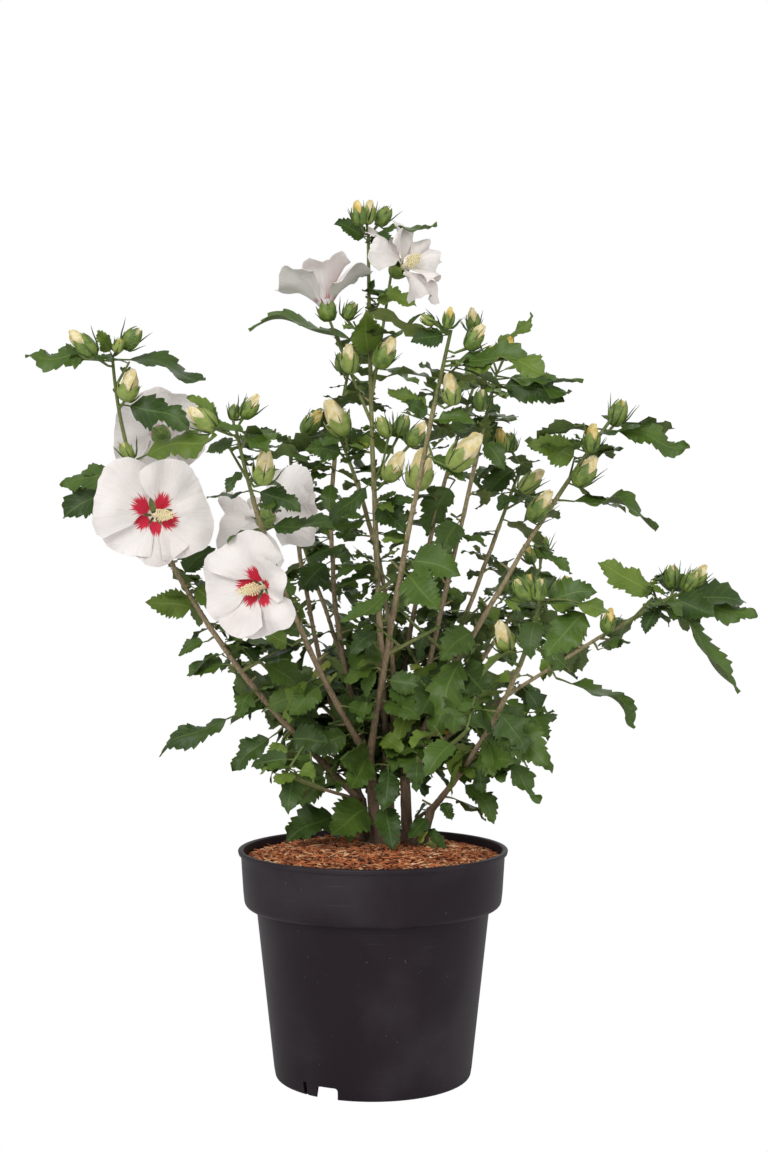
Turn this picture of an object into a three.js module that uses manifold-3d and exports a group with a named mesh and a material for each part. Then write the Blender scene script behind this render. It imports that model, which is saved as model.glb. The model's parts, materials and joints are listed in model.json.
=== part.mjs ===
// A rose of sharon in a round nursery pot: a shrub of many slender stems rising from one root crown,
// with toothed leaves, fat pointed buds and six open blossoms. Millimetres, +Z up; the origin is the
// middle of the pot's flat underside, and the shrub's front faces -Y.
import * as THREE from "three";
import { mergeVertices } from "three/addons/utils/BufferGeometryUtils.js";
import Module from "manifold-3d";

const wasm = await Module();
wasm.setup();
const { Manifold, Mesh } = wasm;

// ---------------------------------------------------------------- driving dimensions

const GAP = 0.3; // clear space between neighbouring solids
const ROOM = 0.6; // kept free round a twig or leaf as it is fitted
const CRUMB = 0.1; // detail smaller than this is smoothed out of a joined solid
const WELDS = [0.02, 0.05, 0.01, 0.08, 0.004]; // ways to weld vertices that nearly meet, best first
const DIVERGENCE = THREE.MathUtils.degToRad(137.5); // turn from one leaf to the next up a stem

const POT = {
  height: 235,
  baseRadius: 101.5,
  baseRound: 4, // rounding under the wall
  shoulderHeight: 176, // underside of the collar
  shoulderRadius: 121,
  collarRadius: 133.5,
  collarRound: 6,
  rimRadius: 137,
  lipRadius: 140,
  lipDepth: 4,
  wall: 2.6,
  floor: 4,
  notches: 3, // drain notches in the foot of the wall
  notchWidth: 25,
  notchHeight: 11,
  notchDepth: 15,
  firstNotch: 244, // compass angle of the first notch, in degrees
  segments: 36,
};

const SOIL = {
  edgeHeight: 226,
  crownHeight: 238, // the mulch rises to a flat top, where the root crown stands
  crownRadius: 62,
};

// Each trunk rises from the root crown, at its foot (x, y), to a fork where its stems part.
const TRUNKS = {
  outer_left: { foot: [-8, 27], fork: [-12, 27, 281], radius: [5.8, 4.8] },
  left: { foot: [4, 14], fork: [-4, 17, 325], radius: [6.6, 5.4] },
  centre: { foot: [18, 37], fork: [16, 36, 300], radius: [6.2, 5.2] },
  right: { foot: [36, 20], fork: [33, 18, 314], radius: [6.2, 5.2] },
  outer_right: { foot: [51, 5], fork: [60, 0, 274], radius: [5.2, 4.6] },
};
const ROOT_FLARE = { radius: 15, height: 8 };

// Each stem: its trunk, its tip, how far it bellies out sideways half way up, its radius at the fork,
// the share of its length where its leafy spray begins, the number of leaves and of buds on that spray, the
// least and greatest length of those leaves, the heading in degrees of the outermost one, and whether the
// stem bears a side shoot.
const STEMS = [
  { name: "far_left", trunk: "outer_left", tip: [-257, -90, 735], belly: [-58, -4], radius: 4.2,
    spray: 0.8, leaves: 9, leaf: [56, 78], buds: 3, heading: 186, shoot: true },
  { name: "front_left", trunk: "left", tip: [-128, -180, 659], belly: [-17, -6], radius: 4.2,
    spray: 0.8, leaves: 9, leaf: [52, 72], buds: 3, heading: 170, shoot: false },
  { name: "back_left", trunk: "outer_left", tip: [-93, 112, 672], belly: [-16, 8], radius: 3.8,
    spray: 0.76, leaves: 10, leaf: [48, 66], buds: 3, heading: 20, shoot: true },
  { name: "inner_left", trunk: "left", tip: [-26, 118, 752], belly: [-30, 10], radius: 4.0,
    spray: 0.8, leaves: 8, leaf: [46, 64], buds: 2, heading: 300, shoot: true },
  { name: "leader", trunk: "centre", tip: [-5, 0, 873], belly: [-4, 2], radius: 4.8,
    spray: 0.74, leaves: 15, leaf: [50, 72], buds: 4, heading: 190, shoot: true },
  { name: "leader_fork", trunk: "centre", tip: [-40, 34, 676], belly: [26, 0], radius: 3.6,
    spray: 0.84, leaves: 7, leaf: [48, 66], buds: 2, heading: 95, shoot: false },
  { name: "front_middle", trunk: "left", tip: [75, -160, 751], belly: [-4, -6], radius: 4.4,
    spray: 0.84, leaves: 8, leaf: [50, 70], buds: 4, heading: 200, shoot: true },
  { name: "inner_right", trunk: "right", tip: [137, 130, 745], belly: [0, 10], radius: 4.0,
    spray: 0.78, leaves: 10, leaf: [54, 76], buds: 4, heading: 350, shoot: true },
  { name: "back_middle", trunk: "centre", tip: [121, 230, 753], belly: [-13, 14], radius: 4.0,
    spray: 0.78, leaves: 9, leaf: [46, 66], buds: 2, heading: 40, shoot: true },
  { name: "back_right", trunk: "right", tip: [170, 185, 648], belly: [3, 16], radius: 3.8,
    spray: 0.78, leaves: 9, leaf: [50, 72], buds: 3, heading: 10, shoot: true },
  { name: "right", trunk: "right", tip: [243, -40, 678], belly: [-12, -4], radius: 4.4,
    spray: 0.78, leaves: 10, leaf: [54, 78], buds: 4, heading: 5, shoot: true },
  { name: "front_right", trunk: "outer_right", tip: [155, -215, 496], belly: [15, -10], radius: 3.8,
    spray: 0.72, leaves: 9, leaf: [50, 72], buds: 3, heading: 320, shoot: true },
  { name: "far_right", trunk: "right", tip: [306, -62, 500], belly: [-14, -8], radius: 4.2,
    spray: 0.82, leaves: 9, leaf: [54, 73], buds: 3, heading: 0, shoot: true },
  { name: "low_left", trunk: "outer_left", tip: [-128, 120, 425], belly: [8, 10], radius: 3.2,
    spray: 0.55, leaves: 10, leaf: [42, 60], buds: 0, heading: 160, shoot: false },
  { name: "rear_left", trunk: "centre", tip: [-100, 246, 606], belly: [-4, 20], radius: 3.8,
    spray: 0.7, leaves: 11, leaf: [46, 66], buds: 3, heading: 120, shoot: true },
  { name: "rear_right", trunk: "right", tip: [196, 240, 528], belly: [6, 22], radius: 3.8,
    spray: 0.68, leaves: 11, leaf: [46, 66], buds: 3, heading: 60, shoot: true },
  { name: "rear_low", trunk: "centre", tip: [-34, 246, 440], belly: [0, 22], radius: 3.4,
    spray: 0.56, leaves: 11, leaf: [42, 62], buds: 0, heading: 90, shoot: false },
  { name: "front_low_right", trunk: "right", tip: [92, -150, 372], belly: [6, -12], radius: 3.2,
    spray: 0.5, leaves: 11, leaf: [44, 66], buds: 0, heading: 250, shoot: false },
  { name: "front_low_left", trunk: "outer_left", tip: [-88, -104, 326], belly: [-4, -12], radius: 3.2,
    spray: 0.46, leaves: 11, leaf: [44, 66], buds: 0, heading: 215, shoot: false },
];
const STEM_TIP_RADIUS = 1.9;
const STEM_TAPER = 0.8; // under 1, a stem thins most near its fork
const STEM_STEPS = 6;
const [TRUNK_SIDES, STEM_SIDES, SPRAY_SIDES, TWIG_SIDES] = [8, 6, 4, 3];
const PARTING_CLEAR = 1.2; // space between two stems of one trunk where they count as parted

// How every spray grows. A place in steps is counted from one leaf to the next; angles are in radians.
const SPRAY = {
  pieces: 3, // straight pieces in its own stem
  firstLeaf: 0.9, // steps from its foot to its first leaf
  bareTip: 0.4, // steps past its last leaf, less those 0.9
  bud: 0.35, // steps from a leaf to the bud in its axil
  sideTwig: 0.4, // steps from a leaf to the side twig beside it
  stray: 0.25, // how far a leaf may turn from its due heading
  rise: [-0.1, 0.45],
  squaring: 0.35, // how far leaves turn from level to square with their twig
  tipRadius: 1.7,
};

// A side twig stands beside every fourth leaf of a spray, with leaves fanned round it from the tip down.
const SIDE_TWIG = {
  every: 4,
  turn: 1.1, // from the leaf beside it
  rise: [0.45, 0.9],
  length: [28, 46],
  radius: [1.5, 1.4],
  leaves: 3,
  firstLeaf: 0.94, // share of the twig's length
  leafStep: 0.22,
  fan: 1.9,
  leafRise: [0, 0.6],
  leafShare: 0.78, // of the length of the spray's own leaves
};

// A leafy side shoot stands on most stems, well below the stem's own spray.
const SHOOT = {
  at: [0.16, 0.38], // share of the stem where it stands
  length: [62, 92],
  rise: [24, 46], // degrees above level
  leaves: 8,
  leaf: [44, 66],
  radius: [2.4, 1.6],
  room: 10, // least distance to the other stems
  turns: 12, // headings that are tried
  fan: 60, // degrees from the shoot's own heading to its outermost leaf's
};

// Each open blossom: the stem that bears it, where its stalk leaves, the middle of its throat, the way
// it faces, the radius that its petals reach, and how far they open from that axis in degrees.
const BLOSSOMS = [
  { name: "blossom_shoot_left", stem: "far_left", at: 0.6, throat: [-214, -102, 577],
    faces: [0.3, -1, 0.08], reach: 62, open: 76 },
  { name: "blossom_shoot_front", stem: "front_left", at: 0.5, throat: [-113, -128, 503],
    faces: [-0.42, -1, -0.1], reach: 54, open: 66 },
  { name: "blossom_shoot_behind", stem: "far_left", at: 0.74, throat: [-222, -22, 668],
    faces: [-0.25, 0.9, 0.2], reach: 54, open: 64 },
  { name: "blossom_shoot_inner", stem: "front_left", at: 0.68, throat: [-106, -56, 584],
    faces: [0.1, 1, 0.15], reach: 56, open: 70 },
  { name: "blossom_shoot_top_left", stem: "leader", at: 0.66, throat: [-50, 4, 812],
    faces: [-0.22, 0.2, 1], reach: 56, open: 52 },
  { name: "blossom_shoot_top_right", stem: "leader", at: 0.7, throat: [30, -8, 834],
    faces: [0.8, -0.5, 0.45], reach: 46, open: 62 },
];

// Width, its place and the place of the keel are shares of a leaf's length; droop and roll are in radians.
const LEAF = { width: 0.6, widest: 0.54, keel: 0.2, thickness: 3.2, droop: [0.9, 2.3], roll: 0.8 };
const OUTERMOST = { length: 1.15, droop: 0.3 }; // the last leaf of a spray is longer and hangs less
const BUD = {
  length: 28,
  radius: 7.4,
  fattest: 0.4, // share of its length
  footRadius: 0.6,
  tipRadius: 0.8,
  sides: 4,
  size: [0.8, 1.1],
  stalk: [8, 20],
  stalkRadius: 1.2,
  lean: [0.3, 0.65], // of a bud in a leaf's axil
  tipLean: 0.12, // of the bud at a spray's tip
  tipShare: 0.97, // where that bud stands
};

// The outline of a petal from one notch between petals to the next, as shares of the reach.
const PETAL = { count: 5, outline: [0.6, 0.96, 1, 0.96], middle: 0.52, ridge: 2.2, thickness: 2.4 };
const CALYX = { depth: 16, radius: 8.5, overlap: 5, sides: 5 }; // depth is from the throat to its foot
const COLUMN = { length: 31, radius: 4, fattest: 0.7, sunk: 4, sides: 4 };
const BLOSSOM_STALK = { sag: 3, radius: [2, 1.5], leaves: 3, leaf: [44, 60], heading: 60, turn: 140 };

// The first seed of each kind of growth, and the step to the next of its kind.
const SEEDS = { spray: [4001, 97], shoot: [7001, 131], shootSpray: [9001, 211], blossom: [11003, 53] };

const BARK = { color: 0x8a765f, roughness: 0.9 };
const LEAF_GREEN = { color: 0x3f6b2a, roughness: 0.6 };
const POT_BLACK = { color: 0x26242b, roughness: 0.5 };
const BARK_MULCH = { color: 0x8f5335, roughness: 1 };

// ---------------------------------------------------------------- small tools

// A repeatable source of numbers, so that the shrub grows the same way every time.
class Dice {
  constructor(seed) {
    this.state = seed;
    for (let i = 0; i < 4; i++) this.roll();
  }
  roll() {
    this.state = (this.state * 48271) % 2147483647;
    return this.state / 2147483647;
  }
  between(low, high) {
    return low + (high - low) * this.roll();
  }
}

const seedOf = (kind, index) => SEEDS[kind][0] + SEEDS[kind][1] * index;

const vector = (x, y, z) => new THREE.Vector3(x, y, z);
const { degToRad, lerp } = THREE.MathUtils;

// A closed geometry as a solid that can be joined and cut.
function solidOf(geometry) {
  const bare = geometry.clone();
  bare.deleteAttribute("normal");
  bare.deleteAttribute("uv");
  const merged = mergeVertices(bare, 1e-4);
  return new Manifold(
    new Mesh({
      numProp: 3,
      vertProperties: new Float32Array(merged.attributes.position.array),
      triVerts: new Uint32Array(merged.index.array),
    }),
  );
}

// Whether every edge of a surface lies between just two faces.
function isClosed(corners) {
  const uses = new Map();
  for (let i = 0; i < corners.length; i++) {
    const a = corners[i];
    const b = corners[i % 3 === 2 ? i - 2 : i + 1];
    const edge = a < b ? `${a} ${b}` : `${b} ${a}`;
    uses.set(edge, (uses.get(edge) ?? 0) + 1);
  }
  return [...uses.values()].every((count) => count === 2);
}

// A surface whose vertices nearer than a tolerance are one, without the faces that this closes up.
function welded(surface, tolerance) {
  const geometry = mergeVertices(surface, tolerance);
  const corners = geometry.index.array;
  const kept = [];
  for (let i = 0; i < corners.length; i += 3) {
    const [a, b, c] = corners.subarray(i, i + 3);
    if (a !== b && b !== c && c !== a) kept.push(a, b, c);
  }
  geometry.setIndex(kept);
  return geometry;
}

// A solid back as a geometry, with the crumbs that booleans leave welded away.
function geometryOf(solid) {
  const { numProp, numVert, vertProperties, triVerts } = solid.getMesh();
  const places = new Float32Array(numVert * 3);
  for (let i = 0; i < numVert; i++) places.set(vertProperties.subarray(i * numProp, i * numProp + 3), i * 3);
  const surface = new THREE.BufferGeometry();
  surface.setAttribute("position", new THREE.BufferAttribute(places, 3));
  surface.setIndex(new THREE.BufferAttribute(triVerts, 1));
  const choices = WELDS.map((tolerance) => welded(surface, tolerance));
  const geometry = choices.find((choice) => isClosed(choice.index.array)) ?? surface;
  geometry.computeVertexNormals();
  return geometry;
}

function indexedGeometry(points, faces) {
  const geometry = new THREE.BufferGeometry().setFromPoints(points);
  geometry.setIndex(faces.flat());
  return geometry;
}

// A closed tapering limb: rings of corners round the points of a line, capped flat at both ends.
function limb(line, radii, sides) {
  const points = [];
  const faces = [];
  line.forEach((middle, i) => {
    const before = line[Math.max(i - 1, 0)];
    const after = line[Math.min(i + 1, line.length - 1)];
    const along = after.clone().sub(before).normalize();
    const across = vector(1, 0.2, 0).addScaledVector(along, -vector(1, 0.2, 0).dot(along)).normalize();
    const third = along.clone().cross(across);
    for (let k = 0; k < sides; k++) {
      const turn = (2 * Math.PI * k) / sides;
      points.push(
        middle
          .clone()
          .addScaledVector(across, radii[i] * Math.cos(turn))
          .addScaledVector(third, radii[i] * Math.sin(turn)),
      );
    }
  });
  const last = (line.length - 1) * sides;
  for (let i = 0; i < line.length - 1; i++)
    for (let k = 0; k < sides; k++) {
      const a = i * sides + k;
      const b = i * sides + ((k + 1) % sides);
      faces.push([a, b, b + sides], [a, b + sides, a + sides]);
    }
  for (let k = 1; k < sides - 1; k++) faces.push([0, k + 1, k], [last, last + k, last + k + 1]);
  return solidOf(indexedGeometry(points, faces));
}

// A spindle with a point at each end, widest at a share of its length.
function spindle(from, to, radius, widest, sides) {
  const along = to.clone().sub(from);
  const across = along.clone().cross(vector(0.31, 0.17, 0.93)).normalize();
  const third = along.clone().normalize().cross(across);
  const waist = from.clone().addScaledVector(along, widest);
  const points = [from, to];
  const faces = [];
  for (let k = 0; k < sides; k++) {
    const turn = (2 * Math.PI * k) / sides;
    points.push(
      waist
        .clone()
        .addScaledVector(across, radius * Math.cos(turn))
        .addScaledVector(third, radius * Math.sin(turn)),
    );
    const a = 2 + k;
    const b = 2 + ((k + 1) % sides);
    faces.push([0, b, a], [1, a, b]);
  }
  return solidOf(indexedGeometry(points, faces));
}

// ---------------------------------------------------------------- pot and soil

function latheSolid(profile, segments) {
  return solidOf(
    new THREE.LatheGeometry(
      profile.map(([r, z]) => new THREE.Vector2(r, z)),
      segments,
    ).rotateX(Math.PI / 2),
  );
}

// Radius of the pot's outside at a height, for the straight stretch of the wall below the collar.
const potWallRadius = (z) => lerp(POT.baseRadius, POT.shoulderRadius, z / POT.shoulderHeight);

function makePot() {
  const { wall } = POT;
  const collarInside = POT.shoulderHeight + wall;
  const outside = [
    [0, 0],
    [POT.baseRadius - POT.baseRound, 0],
    [POT.baseRadius, POT.baseRound],
    [POT.shoulderRadius, POT.shoulderHeight],
    [POT.collarRadius - POT.collarRound, POT.shoulderHeight],
    [POT.collarRadius, POT.shoulderHeight + POT.collarRound],
    [POT.rimRadius, POT.height - POT.lipDepth],
    [POT.lipRadius, POT.height - POT.lipDepth],
    [POT.lipRadius, POT.height],
  ];
  const inside = [
    [POT.rimRadius - wall, POT.height],
    [POT.collarRadius - wall, collarInside + POT.collarRound],
    [POT.collarRadius - POT.collarRound - wall, collarInside],
    [potWallRadius(collarInside) - wall, collarInside],
    [potWallRadius(POT.floor) - wall, POT.floor],
    [0, POT.floor],
  ];
  let pot = latheSolid([...outside, ...inside], POT.segments);
  for (let k = 0; k < POT.notches; k++) {
    const notch = new THREE.BoxGeometry(2 * POT.notchDepth, POT.notchWidth, 2 * POT.notchHeight)
      .translate(POT.baseRadius, 0, 0)
      .rotateZ(degToRad(POT.firstNotch + (360 * k) / POT.notches));
    pot = pot.subtract(solidOf(notch));
  }
  return pot;
}

// The root ball fills the pot, GAP clear of it, and rises to a low dome of bark mulch.
function makeSoil() {
  const inset = POT.wall + 2 * GAP;
  const collarInside = POT.shoulderHeight + POT.wall + 2 * GAP;
  const collarShare = (SOIL.edgeHeight - POT.shoulderHeight) / (POT.height - POT.shoulderHeight);
  const profile = [
    [0, POT.floor + GAP],
    [potWallRadius(POT.floor) - inset, POT.floor + GAP],
    [potWallRadius(collarInside) - inset, collarInside],
    [POT.collarRadius - POT.collarRound - inset, collarInside],
    [POT.collarRadius - inset, collarInside + POT.collarRound],
    [lerp(POT.collarRadius, POT.rimRadius, collarShare) - inset, SOIL.edgeHeight],
    [(POT.rimRadius + SOIL.crownRadius) / 2 + 10, (SOIL.edgeHeight + 2 * SOIL.crownHeight) / 3],
    [SOIL.crownRadius + 8, SOIL.crownHeight],
    [0, SOIL.crownHeight],
  ];
  return latheSolid(profile, POT.segments);
}

// ---------------------------------------------------------------- stems

const stemNamed = (name) => STEMS.find((stem) => stem.name === name);

// Place on a stem at a share of its length: a straight line from fork to tip, bellied out sideways.
function onStem(stem, share) {
  const [forkX, forkY, forkZ] = TRUNKS[stem.trunk].fork;
  const [tipX, tipY, tipZ] = stem.tip;
  const swell = 4 * share * (1 - share);
  return vector(
    lerp(forkX, tipX, share) + stem.belly[0] * swell,
    lerp(forkY, tipY, share) + stem.belly[1] * swell,
    lerp(forkZ, tipZ, share),
  );
}

const stemRadius = (stem, share) => lerp(stem.radius, STEM_TIP_RADIUS, share ** STEM_TAPER);

function alongStem(stem, from, to, steps, extra = 0) {
  const shares = Array.from({ length: steps + 1 }, (_, i) => lerp(from, to, i / steps));
  return { line: shares.map((s) => onStem(stem, s)), radii: shares.map((s) => stemRadius(stem, s) + extra) };
}

// The share of a stem at which it has parted from every other stem of its trunk.
function partingShare(stem) {
  for (let share = 0.04; share < 0.5; share += 0.01) {
    const here = onStem(stem, share);
    const touches = STEMS.some((other) => {
      if (other === stem || other.trunk !== stem.trunk) return false;
      for (let s = 0; s < 0.6; s += 0.01) {
        const reach = stemRadius(stem, share) + stemRadius(other, s) + PARTING_CLEAR;
        if (here.distanceTo(onStem(other, s)) < reach) return true;
      }
      return false;
    });
    if (!touches) return share;
  }
  return 0.5;
}

// The root crown: five short trunks with flared feet, fused, up to where each stem has parted from the rest.
function makeRootCrown() {
  const ground = SOIL.crownHeight + GAP;
  const pieces = [];
  for (const { foot, fork, radius } of Object.values(TRUNKS)) {
    const bottom = vector(foot[0], foot[1], ground);
    const top = vector(...fork);
    const flareTop = bottom.clone().lerp(top, ROOT_FLARE.height / (top.z - bottom.z));
    const beyond = top.clone().addScaledVector(top.clone().sub(bottom).normalize(), 1);
    pieces.push(limb([bottom, flareTop, beyond], [ROOT_FLARE.radius, ...radius], TRUNK_SIDES));
  }
  for (const stem of STEMS) {
    const { line, radii } = alongStem(stem, 0, stem.parting, 2);
    pieces.push(limb(line, radii, STEM_SIDES));
  }
  const underground = new THREE.BoxGeometry(400, 400, 100).translate(0, 0, ground - 50);
  return Manifold.union(pieces).subtract(solidOf(underground)).simplify(CRUMB);
}

// A stem's woody limb, from its parting to where its spray begins, 2 GAP past the root crown's stub.
function stemLine(stem, extra = 0) {
  const length = onStem(stem, 0).distanceTo(onStem(stem, 1));
  return alongStem(stem, stem.parting + (2 * GAP) / length, stem.spray, STEM_STEPS, extra);
}

function makeStem(stem) {
  const { line, radii } = stemLine(stem);
  return limb(line, radii, STEM_SIDES);
}

// ---------------------------------------------------------------- the growing rule

// A level heading, turned part of the way to stand square to a stem's direction and lifted by a pitch.
function outward(along, heading, pitch) {
  const level = vector(Math.cos(heading), Math.sin(heading), 0);
  const direction = level.addScaledVector(along, -SPRAY.squaring * level.dot(along)).normalize();
  return direction.multiplyScalar(Math.cos(pitch)).add(vector(0, 0, Math.sin(pitch))).normalize();
}

// Grows one spray along an axis, a function from share to place: its own stem, leaves at even steps that
// turn by the divergence, side twigs with leaves of their own, a bud at the tip and others in the axils
// of the outermost leaves.
function growSpray({ axis, radius, leaves, leaf, buds, heading, seed }) {
  const dice = new Dice(seed);
  const shares = Array.from({ length: SPRAY.pieces + 1 }, (_, i) => i / SPRAY.pieces);
  const spray = {
    twigs: [{ line: shares.map(axis), radii: shares.map((share) => lerp(...radius, share)) }],
    leaves: [],
    buds: [],
  };
  const step = 1 / (leaves + SPRAY.bareTip);
  const alongAxis = (share) => axis(share + 0.02).sub(axis(share - 0.02)).normalize();

  for (let i = 0; i < leaves; i++) {
    const share = (i + SPRAY.firstLeaf) * step;
    const outermost = i === leaves - 1;
    const due = degToRad(heading) + (leaves - 1 - i) * DIVERGENCE;
    const turn = due + dice.between(-SPRAY.stray, SPRAY.stray);
    spray.leaves.push({
      twig: 0,
      root: axis(share),
      direction: outward(alongAxis(share), turn, dice.between(...SPRAY.rise)),
      length: outermost ? leaf[1] * OUTERMOST.length : dice.between(...leaf),
      droop: outermost ? OUTERMOST.droop : dice.between(...LEAF.droop),
      roll: dice.between(-LEAF.roll, LEAF.roll),
    });
    if (leaves - i < buds) {
      spray.buds.push(growBud(axis(share + SPRAY.bud * step), turn, dice.between(...BUD.lean), dice));
    } else if (i % SIDE_TWIG.every === 1) {
      const foot = axis(share + SPRAY.sideTwig * step);
      growSideTwig(spray, foot, alongAxis(share), turn + SIDE_TWIG.turn, leaf, dice);
    }
  }
  if (buds > 0) spray.buds.push(growBud(axis(BUD.tipShare), degToRad(heading), BUD.tipLean, dice));
  return spray;
}

// A bud on a stalk, leaning from upright towards a heading.
function growBud(root, heading, lean, dice) {
  const direction = vector(Math.cos(heading), Math.sin(heading), 0)
    .multiplyScalar(Math.sin(lean))
    .add(vector(0, 0, Math.cos(lean)));
  return { root, direction, stalk: dice.between(...BUD.stalk), size: dice.between(...BUD.size) };
}

// A side twig with its leaves fanned round it from the tip down, added to a spray.
function growSideTwig(spray, root, along, heading, leaf, dice) {
  const direction = outward(along, heading, dice.between(...SIDE_TWIG.rise));
  const end = root.clone().addScaledVector(direction, dice.between(...SIDE_TWIG.length));
  spray.twigs.push({ line: [root, end], radii: SIDE_TWIG.radius });
  for (let k = 0; k < SIDE_TWIG.leaves; k++) {
    const side = heading + (k - 1) * SIDE_TWIG.fan + dice.between(-SPRAY.stray, SPRAY.stray);
    spray.leaves.push({
      twig: spray.twigs.length - 1,
      root: root.clone().lerp(end, SIDE_TWIG.firstLeaf - SIDE_TWIG.leafStep * k),
      direction: outward(direction, side, dice.between(...SIDE_TWIG.leafRise)),
      length: dice.between(...leaf) * SIDE_TWIG.leafShare,
      droop: dice.between(...LEAF.droop),
      roll: dice.between(-LEAF.roll, LEAF.roll),
    });
  }
}

// The leafy end of a stem.
function tipSpray(stem, index) {
  const start = stem.spray + (2 * GAP) / onStem(stem, 0).distanceTo(onStem(stem, 1));
  return {
    name: "spray_" + stem.name,
    ...growSpray({
      axis: (share) => onStem(stem, lerp(start, 1, share)),
      radius: [stemRadius(stem, stem.spray), SPRAY.tipRadius],
      leaves: stem.leaves,
      leaf: stem.leaf,
      buds: stem.buds,
      heading: stem.heading,
      seed: seedOf("spray", index),
    }),
  };
}

// Least distance from the points of a line to the middle lines of the stems, past the stem that bears it.
function roomAround(line, bearer) {
  let least = Infinity;
  for (const stem of STEMS) {
    if (stem === bearer) continue;
    for (let share = 0; share <= 1; share += 0.02) {
      const place = onStem(stem, share);
      for (const point of line) least = Math.min(least, point.distanceTo(place));
    }
  }
  return least;
}

// The leafy side shoot of a stem, below its spray. It turns by the divergence until it has room.
function sideShoot(stem, index) {
  const dice = new Dice(seedOf("shoot", index));
  const root = onStem(stem, dice.between(...SHOOT.at));
  const rise = degToRad(dice.between(...SHOOT.rise));
  const length = dice.between(...SHOOT.length);
  let heading = degToRad(stem.heading) + DIVERGENCE;
  const toEnd = (share) =>
    root
      .clone()
      .add(vector(Math.cos(heading), Math.sin(heading), 0).multiplyScalar(share * length * Math.cos(rise)))
      .add(vector(0, 0, share * length * Math.sin(rise)));
  const line = () => [0.25, 0.5, 0.75, 1].map(toEnd);
  for (let turn = 0; turn < SHOOT.turns && roomAround(line(), stem) < SHOOT.room; turn++)
    heading += DIVERGENCE;
  return {
    name: "shoot_" + stem.name,
    bearer: stem,
    ...growSpray({
      axis: toEnd,
      radius: SHOOT.radius,
      leaves: SHOOT.leaves,
      leaf: SHOOT.leaf,
      buds: 0,
      heading: THREE.MathUtils.radToDeg(heading) + SHOOT.fan,
      seed: seedOf("shootSpray", index),
    }),
  };
}

// A blossom on its own stalk, with a few leaves at the stalk's foot.
function blossomShoot(blossom, index) {
  const bearer = stemNamed(blossom.stem);
  const root = onStem(bearer, blossom.at);
  const faces = vector(...blossom.faces).normalize();
  const throat = vector(...blossom.throat);
  const calyx = throat.clone().addScaledVector(faces, -CALYX.depth);
  const bend = root.clone().lerp(calyx, 0.5).add(vector(0, 0, -BLOSSOM_STALK.sag));
  const axis = (share) => {
    const first = root.clone().lerp(bend, share);
    return first.lerp(bend.clone().lerp(calyx, share), share);
  };
  const grown = growSpray({
    axis,
    radius: BLOSSOM_STALK.radius,
    leaves: BLOSSOM_STALK.leaves,
    leaf: BLOSSOM_STALK.leaf,
    buds: 0,
    heading: BLOSSOM_STALK.heading + BLOSSOM_STALK.turn * index,
    seed: seedOf("blossom", index),
  });
  return { name: blossom.name, bearer, ...grown, blossom: { ...blossom, faces, throat, calyx } };
}

// ---------------------------------------------------------------- leaves, buds and blossoms as solids

// A leaf: one closed kite of eight faces, its root sunk to the middle of its twig, with two wide points,
// a keel that is thickest near the stalk, and a tip. With room, it is that much larger all round.
function leafSolid({ root, direction, length, droop, roll }, room = 0) {
  const level = vector(direction.x, direction.y, 0).normalize();
  const pitch = Math.asin(THREE.MathUtils.clamp(direction.z, -1, 1)) - droop / 2;
  const run = level
    .clone()
    .multiplyScalar(Math.cos(pitch))
    .add(vector(0, 0, Math.sin(pitch)));
  const across = vector(-level.y, level.x, 0);
  const up = run.clone().cross(across);
  const side = across.multiplyScalar(Math.cos(roll)).addScaledVector(up, Math.sin(roll));
  const face = run.clone().cross(side);
  const half = (length * LEAF.width) / 2 + room;
  const at = (distance, width, lift) =>
    root.clone().addScaledVector(run, distance).addScaledVector(side, width).addScaledVector(face, lift);
  const points = [
    at(0, 0, 0),
    at(length * LEAF.widest, half, 0),
    at(length + room, 0, 0),
    at(length * LEAF.widest, -half, 0),
    at(length * LEAF.keel, 0, LEAF.thickness * 0.6 + room),
    at(length * LEAF.keel, 0, -LEAF.thickness * 0.4 - room),
  ];
  const faces = [
    [4, 1, 0],
    [4, 2, 1],
    [4, 3, 2],
    [4, 0, 3],
    [5, 0, 1],
    [5, 1, 2],
    [5, 2, 3],
    [5, 3, 0],
  ];
  return solidOf(indexedGeometry(points, faces));
}

// A bud and its stalk are one body: narrow along the stalk, fat at the calyx and pointed at the tip.
function budSolid({ root, direction, stalk, size }) {
  const along = (distance) => root.clone().addScaledVector(direction, distance);
  const length = BUD.length * size;
  const line = [root, along(stalk), along(stalk + BUD.fattest * length), along(stalk + length)];
  return limb(line, [BUD.footRadius, BUD.stalkRadius, BUD.radius * size, BUD.tipRadius], BUD.sides);
}

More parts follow.
